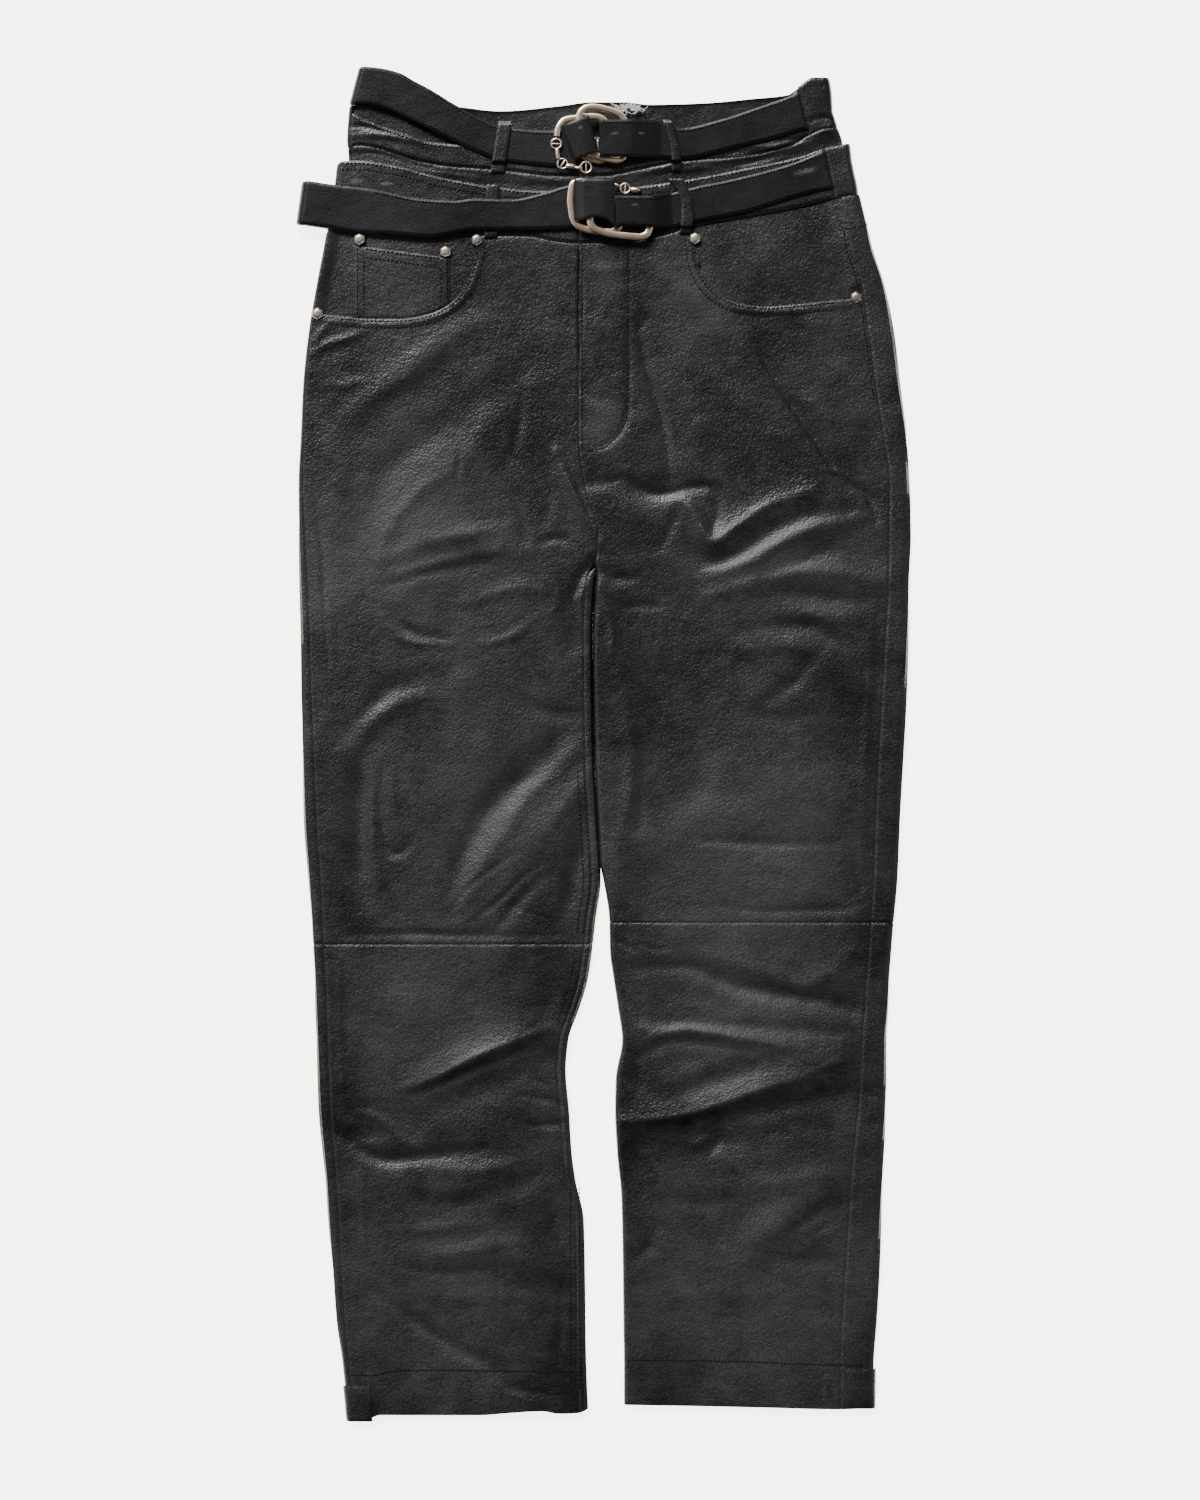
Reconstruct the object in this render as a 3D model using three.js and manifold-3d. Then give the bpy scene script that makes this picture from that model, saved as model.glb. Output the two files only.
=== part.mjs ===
import * as THREE from 'three';
import { mergeVertices } from 'three/addons/utils/BufferGeometryUtils.js';
import Module from 'manifold-3d';

const wasm = await Module();
wasm.setup();

// Millimetres. +X is the wearer's left side, +Y runs from hem to waist, +Z is up from the surface.
const LEATHER_WALL = 1.7;
const FACING_WALL = 1.3;
const BELT_THICK = 2.0;
const LOOP_THICK = 1.5;
const SEAM_GAP = 0.3;
const CURVED_SEAM_GAP = 1;
const BACK_SEAM_GAP = 2.1;
const YOKE_SEAM_GAP = 1.2;
const LAYER_GAP = 0.4;
const PLATEAU = 6.6;
const TORSO_BULGE = 0.8;
const TORSO_BULGE_REACH = 110;
const LEG_BULGE = 0.8;
const LEG_BULGE_FROM = 240;
const LEG_BULGE_TO = 60;
const WAIST_RISE = 1.6;
const WAIST_RISE_FROM = 330;
const WAIST_RISE_TO = 395;
const EDGE_STEADY = 4;
const CROTCH_OPEN_Y = 148;
const CROTCH_CLOSED_Y = 130;
const INSEAM_STRIP = 7;
const INSEAM_UNDER = 5;
const KNEE_LEFT_Y = -156;
const KNEE_RIGHT_Y = -139;
const LOWER_BAND_LIFT = 0.5;
const TUCK = 8;
const TUCK_DROP = LEATHER_WALL + LAYER_GAP - LOWER_BAND_LIFT;
const TUCK_RECOVER = 1.2;
const RETURN_CLEAR = BELT_THICK + LAYER_GAP;

// Leg sections from waist to hem: height along the leg, outer fold, side seam, inner fold.
const LEFT_LEG = [
  { y: 410, outer: -214.5, seam: -211.8, inner: -20.0 },
  { y: 389.5, outer: -218.5, seam: -216, inner: -20.0 },
  { y: 358.5, outer: -224.5, seam: -222.2, inner: -20.0 },
  { y: 319.5, outer: -231, seam: -228.5, inner: -20.0 },
  { y: 280.5, outer: -235, seam: -232.5, inner: -20.0 },
  { y: 241.5, outer: -236.8, seam: -234, inner: -19.5 },
  { y: 202.5, outer: -238.6, seam: -235, inner: -15 },
  { y: 163.5, outer: -238.6, seam: -233, inner: -4.5 },
  { y: 124.5, outer: -238, seam: -231, inner: -7 },
  { y: 85.5, outer: -237, seam: -229.5, inner: -9 },
  { y: 34.5, outer: -236.5, seam: -228, inner: -8.5 },
  { y: -12, outer: -235.5, seam: -226, inner: -7.5 },
  { y: -59, outer: -234.5, seam: -224, inner: -5 },
  { y: -105.5, outer: -231, seam: -221, inner: -2.5 },
  { y: -137, outer: -228.5, seam: -219.5, inner: -6.5 },
  { y: -155.5, outer: -227.5, seam: -218.5, inner: -8.5 },
  { y: -183.5, outer: -226, seam: -217, inner: -12.5 },
  { y: -207, outer: -225.5, seam: -216, inner: -19.5 },
  { y: -230.5, outer: -224.5, seam: -215.5, inner: -27.5 },
  { y: -254, outer: -224, seam: -214.5, inner: -29.5 },
  { y: -285, outer: -223, seam: -213, inner: -27 },
  { y: -316.5, outer: -220, seam: -210.5, inner: -25 },
  { y: -339.5, outer: -217.5, seam: -208.5, inner: -22 },
  { y: -371, outer: -215.5, seam: -206.5, inner: -15.5 },
  { y: -410, outer: -212, seam: -204.5, inner: -14.5 },
  { y: -449, outer: -209, seam: -202, inner: -14 },
  { y: -480, outer: -204.5, seam: -199, inner: -13.5 },
  { y: -530, outer: -199.5, seam: -193.5, inner: -11.5 },
];
const RIGHT_LEG = [
  { y: 432, outer: 199, seam: 184, inner: -19.1 },
  { y: 403, outer: 206, seam: 189.5, inner: -19.1 },
  { y: 389.5, outer: 209, seam: 191.5, inner: -19.1 },
  { y: 358.5, outer: 219, seam: 201, inner: -19.1 },
  { y: 319.5, outer: 227, seam: 207, inner: -19.1 },
  { y: 280.5, outer: 231.5, seam: 212, inner: -19.1 },
  { y: 241.5, outer: 236.5, seam: 218, inner: -18.6 },
  { y: 202.5, outer: 238.7, seam: 223, inner: -14.1 },
  { y: 163.5, outer: 240.2, seam: 222.5, inner: -3.3 },
  { y: 124.5, outer: 238.5, seam: 222, inner: -4.8 },
  { y: 85.5, outer: 238, seam: 220, inner: -7.5 },
  { y: 34.5, outer: 236.5, seam: 217, inner: -7 },
  { y: -12, outer: 234, seam: 214.5, inner: -5 },
  { y: -59, outer: 231.5, seam: 212, inner: -2.5 },
  { y: -105.5, outer: 229.5, seam: 210.5, inner: 0 },
  { y: -137, outer: 226.5, seam: 208.5, inner: 4 },
  { y: -160.5, outer: 224.5, seam: 207, inner: 4.5 },
  { y: -183.5, outer: 223, seam: 205, inner: 7.5 },
  { y: -207, outer: 222, seam: 203.5, inner: 11 },
  { y: -230.5, outer: 220.5, seam: 201.5, inner: 14 },
  { y: -261.5, outer: 220.5, seam: 200.5, inner: 9 },
  { y: -285, outer: 220, seam: 198.5, inner: 8.5 },
  { y: -316.5, outer: 219, seam: 195, inner: 10 },
  { y: -355.5, outer: 217, seam: 192, inner: 13.5 },
  { y: -402, outer: 216, seam: 189, inner: 14.5 },
  { y: -449, outer: 213.5, seam: 186, inner: 15 },
  { y: -483, outer: 211, seam: 184.5, inner: 15.5 },
  { y: -522, outer: 210.5, seam: 184.5, inner: 15.5 },
];

// Large folds: height (negative is a trough), half width, and the line that each one follows.
const FOLDS = [
  { name: 'fly_side', height: -1.3, width: 7, path: [[27, 326], [34, 291], [49, 237], [52, 209]] },
  { name: 'right_hip', height: -1.3, width: 8, path: [[122, 310], [136, 280], [177, 219], [206, 192]] },
  { name: 'right_crotch_trough', height: -1.5, width: 9,
    path: [[-6, 208], [30, 196], [72, 202], [88, 170]] },
  { name: 'right_crotch_ridge', height: 4, width: 11,
    path: [[62, 194], [75, 168], [86, 157], [109, 174], [159, 196]] },
  { name: 'right_second', height: 2.6, width: 12,
    path: [[91, 134], [118, 145], [168, 171], [190, 176]] },
  { name: 'right_third', height: 2.2, width: 12,
    path: [[87, 117], [127, 131], [172, 134], [216, 127]] },
  { name: 'left_c_ridge', height: 2.6, width: 16,
    path: [[-81, 253], [-159, 175], [-179, 113], [-144, 74]] },
  { name: 'left_thigh_cross', height: 1.6, width: 13, path: [[-136, 165], [-100, 160], [-68, 150]] },
  { name: 'left_thigh_dark', height: -1.6, width: 22, path: [[-120, -90], [-75, -40], [-34, 4]] },
  { name: 'left_thigh_light', height: 1.6, width: 24, path: [[-80, -105], [-45, -65], [-15, -25]] },
  { name: 'left_thigh_edge', height: -1.2, width: 9, path: [[-190, 0], [-192, -60], [-194, -125]] },
  { name: 'right_thigh_dark', height: -1.6, width: 26, path: [[52, 144], [46, 40], [52, -106]] },
  { name: 'left_shin_ridge', height: 3.2, width: 12, path: [[-144, -262], [-97, -242], [-58, -227]] },
  { name: 'left_shin_trough', height: -1.6, width: 14, path: [[-150, -290], [-95, -268], [-48, -250]] },
  { name: 'left_shin_low', height: 1.8, width: 18, path: [[-180, -345], [-110, -352], [-40, -338]] },
  { name: 'left_shin_lower', height: 1.5, width: 18, path: [[-175, -402], [-110, -398], [-45, -405]] },
  { name: 'right_shin_dark', height: -1.6, width: 12, path: [[75, -168], [120, -192], [192, -207]] },
  { name: 'right_shin_upper', height: 2.2, width: 13,
    path: [[28, -227], [67, -223], [106, -229], [153, -238]] },
  { name: 'right_shin_ridge', height: 3.4, width: 12,
    path: [[12, -297], [75, -285], [122, -266], [180, -246]] },
  { name: 'right_shin_trough', height: -1.6, width: 14, path: [[36, -322], [110, -305], [186, -290]] },
  { name: 'right_shin_low', height: 2, width: 15, path: [[98, -410], [140, -370], [176, -340]] },
];

// Edges of the waist pieces, each a row of x, y points from the wearer's right to the left side.
const BACK_TOP = [[-203, 493.5], [-159, 496.5], [-115.5, 498], [-81, 495], [-34.5, 499], [-9.5, 502],
  [15, 502], [36, 500], [75, 501], [115.5, 504.5], [143.5, 507.5], [150.5, 512], [163, 520], [181, 520]];
const FRONT_TOP = [[-203, 493.5], [-196, 492], [-186, 487], [-159, 477.5], [-134, 469.5], [-105, 467.5],
  [-83.5, 471.5], [-41.5, 473], [36, 474.5], [67, 479.5], [106, 491], [143.5, 503.5], [150.5, 510.5],
  [163, 520], [181, 520]];
const UPPER_BOTTOM = [[-203, 463.5], [-192.5, 467], [-182.5, 466], [-143.5, 454.5], [-120, 450.5],
  [-85, 448], [-34.5, 443], [-3, 443], [28, 448], [61, 454.5], [106, 458], [146, 467], [160.5, 475.5],
  [172.5, 480], [190, 481.5]];
const LOWER_TOP = [[-212, 454.5], [-192.5, 455], [-163, 451], [-128, 442], [-81, 434], [-50, 431.5],
  [12.5, 433.5], [61, 439.5], [106, 448], [150.5, 457.5], [171.5, 464.5], [196, 469.5]];
const LOWER_BOTTOM = [[-220, 400], [-190.5, 398], [-143.5, 396.5], [-58.5, 396], [-40.5, 392.5],
  [-22, 390.5], [12.5, 391], [43.5, 396], [71, 404], [106, 410.5], [153, 419], [178.5, 425.5], [210, 431]];
const LEFT_HEM = [[-210, -527.4], [-185, -526.5], [-174.5, -523], [-96.5, -523], [-75, -521.5],
  [-49, -520], [-34.5, -522], [-20.5, -521.5], [-8, -516]];
const RIGHT_HEM = [[10, -515], [75, -516], [121.5, -517], [184, -518.5], [214, -517]];

// Side outlines of the waist: height, the fold on the wearer's right, the fold on the left.
const LOWER_BAND_SIDES = [
  { y: 395, outer: -217, inner: 208.5 },
  { y: 410, outer: -214.5, inner: 205 },
  { y: 424.5, outer: -212, inner: 199.8 },
  { y: 437, outer: -210, inner: 197.5 },
  { y: 451, outer: -208.5, inner: 194.5 },
  { y: 458, outer: -204.5, inner: 193.3 },
  { y: 471, outer: -203, inner: 192 },
];
const UPPER_BAND_SIDES = [
  { y: 436, outer: -198.5, inner: 187.5 },
  { y: 460, outer: -199.5, inner: 186.5 },
  { y: 470, outer: -200.5, inner: 186 },
  { y: 480, outer: -200.2, inner: 183 },
  { y: 487, outer: -199.6, inner: 180.8 },
  { y: 495, outer: -199, inner: 178.5 },
  { y: 506, outer: -198, inner: 178 },
  { y: 521, outer: -197, inner: 175.8 },
];

const mix = (a, b, f) => a + (b - a) * f;
const clamp = (v, lo, hi) => Math.min(Math.max(v, lo), hi);
const smooth = (lo, hi, v) => {
  const f = clamp((v - lo) / (hi - lo), 0, 1);
  return f * f * (3 - 2 * f);
};

// A smooth line through rows of (at, value), which never swings past its rows.
function curve(rows) {
  const pts = [...rows].sort((a, b) => a[0] - b[0]);
  const steps = pts.slice(1).map((p, k) => (p[1] - pts[k][1]) / (p[0] - pts[k][0]));
  const slopes = pts.map((p, k) => {
    const before = steps[Math.max(k - 1, 0)];
    const after = steps[Math.min(k, steps.length - 1)];
    return before * after <= 0 ? 0 : (2 * before * after) / (before + after);
  });
  return (at) => {
    if (at <= pts[0][0]) return pts[0][1];
    if (at >= pts[pts.length - 1][0]) return pts[pts.length - 1][1];
    let k = 0;
    while (pts[k + 1][0] < at) k += 1;
    const span = pts[k + 1][0] - pts[k][0];
    const f = (at - pts[k][0]) / span;
    const keep = (1 + 2 * f) * (1 - f) ** 2;
    const next = f * f * (3 - 2 * f);
    return pts[k][1] * keep + pts[k + 1][1] * next
      + span * (slopes[k] * f * (1 - f) ** 2 - slopes[k + 1] * f * f * (1 - f));
  };
}
const column = (table, name) => curve(table.map((row) => [row.y, row[name]]));

const backTop = curve(BACK_TOP);
const frontTop = curve(FRONT_TOP);
const upperBottom = curve(UPPER_BOTTOM);
const lowerTop = curve(LOWER_TOP);
const lowerBottom = curve(LOWER_BOTTOM);
const leftHem = curve(LEFT_HEM);
const rightHem = curve(RIGHT_HEM);

// The height that the folds add at a place: a bell across each line, which fades at its ends.
function relief(x, y) {
  let sum = 0;
  for (const fold of FOLDS) {
    let best = Infinity;
    let along = 0;
    const last = fold.path.length - 1;
    for (let k = 0; k < last; k += 1) {
      const [ax, ay] = fold.path[k];
      const [bx, by] = fold.path[k + 1];
      const onLine = (x - ax) * (bx - ax) + (y - ay) * (by - ay);
      const f = clamp(onLine / ((bx - ax) ** 2 + (by - ay) ** 2), 0, 1);
      const far = Math.hypot(x - mix(ax, bx, f), y - mix(ay, by, f));
      if (far < best) {
        best = far;
        along = (k + f) / last;
      }
    }
    sum += fold.height * Math.exp(-((best / fold.width) ** 2)) * Math.sin(Math.PI * mix(0.12, 0.88, along));
  }
  return sum;
}

const closure = (y) => 1 - smooth(CROTCH_CLOSED_Y, CROTCH_OPEN_Y, y);
const waistRise = (y) => WAIST_RISE * smooth(WAIST_RISE_FROM, WAIST_RISE_TO, y);
const sideReach = (distance) => {
  const share = clamp(distance / TORSO_BULGE_REACH, 0, 1);
  return TORSO_BULGE * Math.sin((Math.PI / 2) * share);
};

// How far the underside is lifted where the end of a belt is turned under the side.
const liftOverLowerReturn = (x, y) => RETURN_CLEAR * smooth(-168, -192, x) * smooth(380, 398, y)
  * (1 - smooth(440, 452, y));

function makeLeg(table, sign, kneeY) {
  const outer = column(table, 'outer');
  const seam = column(table, 'seam');
  const inner = column(table, 'inner');
  const own = { sign, kneeY };
  own.outer = (y) => sign * outer(y);
  own.seam = (y) => sign * seam(y);
  own.inner = (y) => sign * inner(y);
  own.top = (across, y) => {
    const out = own.outer(y);
    const into = own.inner(y);
    const f = clamp((across - out) / (into - out), 0, 1);
    const legLike = 1 - smooth(LEG_BULGE_TO, LEG_BULGE_FROM, y);
    const bulge = mix(sideReach(across - out), LEG_BULGE * Math.sin(Math.PI * f), legLike);
    return PLATEAU + bulge + waistRise(y) + relief(sign * across, y);
  };
  own.under = (across, y) => liftOverLowerReturn(sign * across, y);
  return own;
}
const leftLeg = makeLeg(LEFT_LEG, 1, KNEE_LEFT_Y);
const rightLeg = makeLeg(RIGHT_LEG, -1, KNEE_RIGHT_Y);
leftLeg.side = 'left';
rightLeg.side = 'right';

const lowerSideL = column(LOWER_BAND_SIDES, 'outer');
const lowerSideR = column(LOWER_BAND_SIDES, 'inner');
const upperSideL = column(UPPER_BAND_SIDES, 'outer');
const upperSideR = column(UPPER_BAND_SIDES, 'inner');
const torsoTop = (x, y) => {
  const toSide = Math.min(x - lowerSideL(y), lowerSideR(y) - x);
  return PLATEAU + sideReach(toSide) + waistRise(y);
};
const lowerBand = {
  sign: 1,
  outer: lowerSideL,
  inner: lowerSideR,
  top: (x, y) => torsoTop(x, y) + LOWER_BAND_LIFT,
  under: liftOverLowerReturn,
};
const upperUnder = (x, y) => liftOverLowerReturn(x, y)
  + RETURN_CLEAR * Math.max(1 - smooth(2, 16, y - lowerTop(x)), smooth(-95, -125, x));
const upperBand = {
  sign: 1,
  outer: upperSideL,
  inner: upperSideR,
  top: (x, y) => torsoTop(x, y) - TUCK_DROP + TUCK_RECOVER * smooth(2, 14, y - lowerTop(x)),
  under: upperUnder,
};

// One flattened tube section: its two folded edges and the layers between them.
function section(tube, y) {
  const o = tube.outer(y);
  const i = tube.inner(y);
  const level = (across) => tube.top(clamp(across, o + EDGE_STEADY, i - EDGE_STEADY), y);
  const floor = (across) => tube.under(clamp(across, o + EDGE_STEADY, i - EDGE_STEADY), y);
  const edge = (at, way) => {
    const low = floor(at + way * EDGE_STEADY);
    const r = (level(at + way * EDGE_STEADY) - low) / 2;
    const quarter = (Math.PI / 2) * r;
    // Distance along the wall from the fold's outermost line: positive over the top, negative beneath.
    const place = (s) => {
      const over = Math.abs(s) - quarter;
      if (over <= 0) {
        const a = s / r;
        const [c, h] = [Math.cos(a), Math.sin(a)];
        return { x: at + way * r * (1 - c), z: low + r + r * h, nx: -way * c, nz: h };
      }
      const x = at + way * (r + over);
      return s > 0 ? { x, z: level(x), nx: 0, nz: 1 } : { x, z: floor(x), nx: 0, nz: -1 };
    };
    const distanceTo = (x) => {
      const deep = way * (x - at);
      return deep >= r ? quarter + deep - r : r * Math.acos(1 - deep / r);
    };
    return { at, way, r, quarter, place, distanceTo };
  };
  return { y, level, floor, outer: edge(o, 1), inner: edge(i, -1) };
}
const flat = (sec, x, face) => (face > 0
  ? { x, z: sec.level(x), nx: 0, nz: 1 }
  : { x, z: sec.floor(x), nx: 0, nz: -1 });

// Places from a start on one fold, round to the flat of the chosen face: [start .. flat].
function turnIn(edge, start, face) {
  const q = edge.quarter;
  if (start * face > 0) {
    const end = face * (Math.max(Math.abs(start), q) + 3);
    return [start, mix(start, end, 0.5), end].map(edge.place);
  }
  const s = Math.abs(start);
  const near = s > q ? [s, q, q / 2, 0] : [s, (s * 2) / 3, s / 3, 0];
  return [...near.map((d) => -face * d), face * q * 0.33, face * q * 0.66, face * q].map(edge.place);
}
function between(sec, from, to, steps, face) {
  return Array.from({ length: steps - 1 }, (_, k) => flat(sec, mix(from, to, (k + 1) / steps), face));
}

// A wrap round the inner fold that opens out flat as the tube opens at the crotch.
function wrapEnd(sec, flatEnd, share, beyond, face) {
  const e = sec.inner;
  const full = Math.PI * e.r + beyond;
  const back = [full, mix(full, beyond, 0.25), mix(full, beyond, 0.5), mix(full, beyond, 0.75), beyond, 0];
  return back.map((d) => {
    const p = share * full - d;
    if (p <= 0) return flat(sec, flatEnd + p, face);
    return e.place(face * (e.quarter - p));
  });
}

// A closed mesh whose faces point outwards.
function closedGeometry(pos, index) {
  const v = (k) => new THREE.Vector3().fromArray(pos, 3 * k);
  let volume = 0;
  for (let k = 0; k < index.length; k += 3) {
    volume += v(index[k]).dot(v(index[k + 1]).cross(v(index[k + 2])));
  }
  if (volume < 0) {
    for (let k = 0; k < index.length; k += 3) {
      [index[k], index[k + 1]] = [index[k + 1], index[k]];
    }
  }
  const geometry = new THREE.BufferGeometry();
  geometry.setAttribute('position', new THREE.Float32BufferAttribute(pos, 3));
  geometry.setIndex(index);
  return geometry;
}

// A closed wall between an outer and an inner grid of points.
function gridSolid(outer, inner) {
  const rows = outer.length;
  const cols = outer[0].length;
  const pos = [];
  for (const p of [outer, inner].flat(2)) {
    pos.push(p.x, p.y, p.z);
  }
  const id = (layer, r, c) => (layer * rows + r) * cols + c;
  const index = [];
  const quad = (a, b, c, d) => index.push(a, b, c, a, c, d);
  for (let r = 0; r < rows - 1; r += 1) {
    for (let c = 0; c < cols - 1; c += 1) {
      quad(id(0, r, c), id(0, r + 1, c), id(0, r + 1, c + 1), id(0, r, c + 1));
      quad(id(1, r, c), id(1, r, c + 1), id(1, r + 1, c + 1), id(1, r + 1, c));
    }
    quad(id(0, r, 0), id(1, r, 0), id(1, r + 1, 0), id(0, r + 1, 0));
    quad(id(0, r + 1, cols - 1), id(1, r + 1, cols - 1), id(1, r, cols - 1), id(0, r, cols - 1));
  }
  for (let c = 0; c < cols - 1; c += 1) {
    quad(id(0, 0, c + 1), id(1, 0, c + 1), id(1, 0, c), id(0, 0, c));
    quad(id(0, rows - 1, c), id(1, rows - 1, c), id(1, rows - 1, c + 1), id(0, rows - 1, c + 1));
  }
  return closedGeometry(pos, index);
}

// A wall on a tube: rows of heights, with the top and bottom rows led along their own edges.
function tubeWall(tube, route, edges, wall = LEATHER_WALL) {
  const outer = [];
  const inner = [];
  for (const row of edges.rows) {
    const first = route(section(tube, row));
    const outRow = [];
    const inRow = [];
    first.forEach((place, k) => {
      const y = edges.lead(row, tube.sign * place.x);
      const p = route(section(tube, y))[k];
      outRow.push(new THREE.Vector3(tube.sign * p.x, y, p.z));
      inRow.push(new THREE.Vector3(tube.sign * (p.x - wall * p.nx), y, p.z - wall * p.nz));
    });
    outer.push(outRow);
    inner.push(inRow);
  }
  return gridSolid(outer, inner);
}
function rowsBetween(from, to, spacing, extra = []) {
  const n = Math.max(1, Math.round(Math.abs(to - from) / spacing));
  const even = Array.from({ length: n + 1 }, (_, k) => mix(from, to, k / n));
  const kept = even.filter((y, k) => k === 0 || k === n || extra.every((e) => Math.abs(e - y) > 7));
  return [...kept, ...extra].sort((a, b) => b - a);
}
function ledEdges(rows, topEdge, bottomEdge) {
  const high = rows[0];
  const low = rows[rows.length - 1];
  return {
    rows,
    lead: (row, x) => row
      + (topEdge ? (topEdge(x) - high) * smooth(high - 75, high, row) : 0)
      + (bottomEdge ? (bottomEdge(x) - low) * smooth(low + 40, low, row) : 0),
  };
}
function bandEdges(bottomEdge, topEdge, steps) {
  return {
    rows: Array.from({ length: steps + 1 }, (_, k) => k / steps),
    lead: (share, x) => mix(bottomEdge(x), topEdge(x), share),
  };
}
function bandWall(tube, route, edges, wall = LEATHER_WALL) {
  const outer = [];
  const inner = [];
  for (const share of edges.rows) {
    let places = route(section(tube, edges.lead(share, 0)));
    const outRow = [];
    const inRow = [];
    places = places.map((place, k) => route(section(tube, edges.lead(share, place.x)))[k]);
    places.forEach((place, k) => {
      const y = edges.lead(share, place.x);
      const p = route(section(tube, y))[k];
      outRow.push(new THREE.Vector3(p.x, y, p.z));
      inRow.push(new THREE.Vector3(p.x - wall * p.nx, y, p.z - wall * p.nz));
    });
    outer.push(outRow);
    inner.push(inRow);
  }
  return gridSolid(outer, inner);
}

// The four walls of each leg tube, above and below the knee seam.
const HALF_GAP = SEAM_GAP / 2;
const FRONT_STEPS = 7;
const BACK_STEPS = 4;
const ROW_SPACING = 31;
function frontRoute(leg) {
  return (sec) => {
    const start = sec.outer.distanceTo(leg.seam(sec.y)) + HALF_GAP;
    const outerPart = turnIn(sec.outer, start, 1);
    const from = outerPart[outerPart.length - 1].x;
    const share = closure(sec.y);
    if (leg.side === 'left') {
      const end = mix(sec.inner.at - HALF_GAP, sec.inner.at - INSEAM_STRIP - HALF_GAP, share);
      return [...outerPart, ...between(sec, from, end, FRONT_STEPS, 1), flat(sec, end, 1)];
    }
    const flatEnd = mix(sec.inner.at - HALF_GAP, sec.inner.at - sec.inner.r, share);
    const endPart = wrapEnd(sec, flatEnd, share, INSEAM_UNDER, 1);
    return [...outerPart, ...between(sec, from, endPart[0].x, FRONT_STEPS, 1), ...endPart];
  };
}
function backRoute(leg) {
  return (sec) => {
    const start = sec.outer.distanceTo(leg.seam(sec.y)) - HALF_GAP;
    const outerPart = turnIn(sec.outer, start, -1);
    const from = outerPart[outerPart.length - 1].x;
    const share = closure(sec.y);
    if (leg.side === 'right') {
      const closed = sec.inner.at - sec.inner.r - INSEAM_UNDER - SEAM_GAP;
      const end = mix(sec.inner.at - HALF_GAP, closed, share);
      return [...outerPart, ...between(sec, from, end, BACK_STEPS, -1), flat(sec, end, -1)];
    }
    const flatEnd = mix(sec.inner.at - HALF_GAP, sec.inner.at - sec.inner.r, share);
    const beyond = INSEAM_STRIP - sec.inner.r - HALF_GAP;
    const endPart = wrapEnd(sec, flatEnd, share, beyond, -1);
    return [...outerPart, ...between(sec, from, endPart[0].x, BACK_STEPS, -1), ...endPart];
  };
}

const group = new THREE.Group();
const MATERIALS = {
  leather: { color: 0x232224, roughness: 0.45, metalness: 0 },
  belt: { color: 0x2a2829, roughness: 0.5, metalness: 0 },
  metal: { color: 0xcdb9a0, roughness: 0.25, metalness: 1 },
  rivet: { color: 0xb9b0a6, roughness: 0.4, metalness: 1 },
};
function add(name, geometry, slot) {
  geometry.computeVertexNormals();
  const mesh = new THREE.Mesh(geometry, new THREE.MeshStandardMaterial(MATERIALS[slot]));
  mesh.name = name;
  group.add(mesh);
}
function toManifold(geometry) {
  const bare = geometry.clone();
  for (const attribute of ['normal', 'uv']) bare.deleteAttribute(attribute);
  const merged = mergeVertices(bare, 1e-4);
  const mesh = new wasm.Mesh({
    numProp: 3,
    vertProperties: new Float32Array(merged.attributes.position.array),
    triVerts: new Uint32Array(merged.index.array),
  });
  return new wasm.Manifold(mesh);
}
function fromManifold(solid) {
  const mesh = solid.getMesh();
  const geometry = new THREE.BufferGeometry();
  geometry.setAttribute('position', new THREE.BufferAttribute(mesh.vertProperties, 3));
  geometry.setIndex(new THREE.BufferAttribute(mesh.triVerts, 1));
  return geometry;
}
function prism(outline, low, high) {
  const shape = new THREE.Shape(outline.map(([x, y]) => new THREE.Vector2(x, y)));
  const geometry = new THREE.ExtrudeGeometry(shape, { depth: high - low, bevelEnabled: false, steps: 1 });
  geometry.translate(0, 0, low);
  return toManifold(geometry);
}

// The scooped pocket mouths, from the waistband down and across to the side seam.
const LEFT_SCOOP = [[-100.5, 402], [-99.5, 392], [-101.5, 376.5], [-107, 360], [-118.5, 345], [-135.5, 336],
  [-159, 332], [-182.5, 332], [-206, 334], [-236, 337.5]];
const RIGHT_SCOOP = [[70, 420], [70, 395], [72.5, 376.5], [79.5, 361], [92, 349], [107.5, 343.5],
  [125.5, 341.5], [153, 343.5], [180, 346.5], [222, 350]];
const BEYOND_SIDE = 260;
const ABOVE_BAND = 460;
const scoopOutline = (line, side, inset) => {
  const far = side * BEYOND_SIDE;
  const mouth = line.map(([x, y]) => [x + side * inset, y + inset]);
  return [...mouth, [far, line[line.length - 1][1] + inset], [far, ABOVE_BAND]];
};

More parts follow.
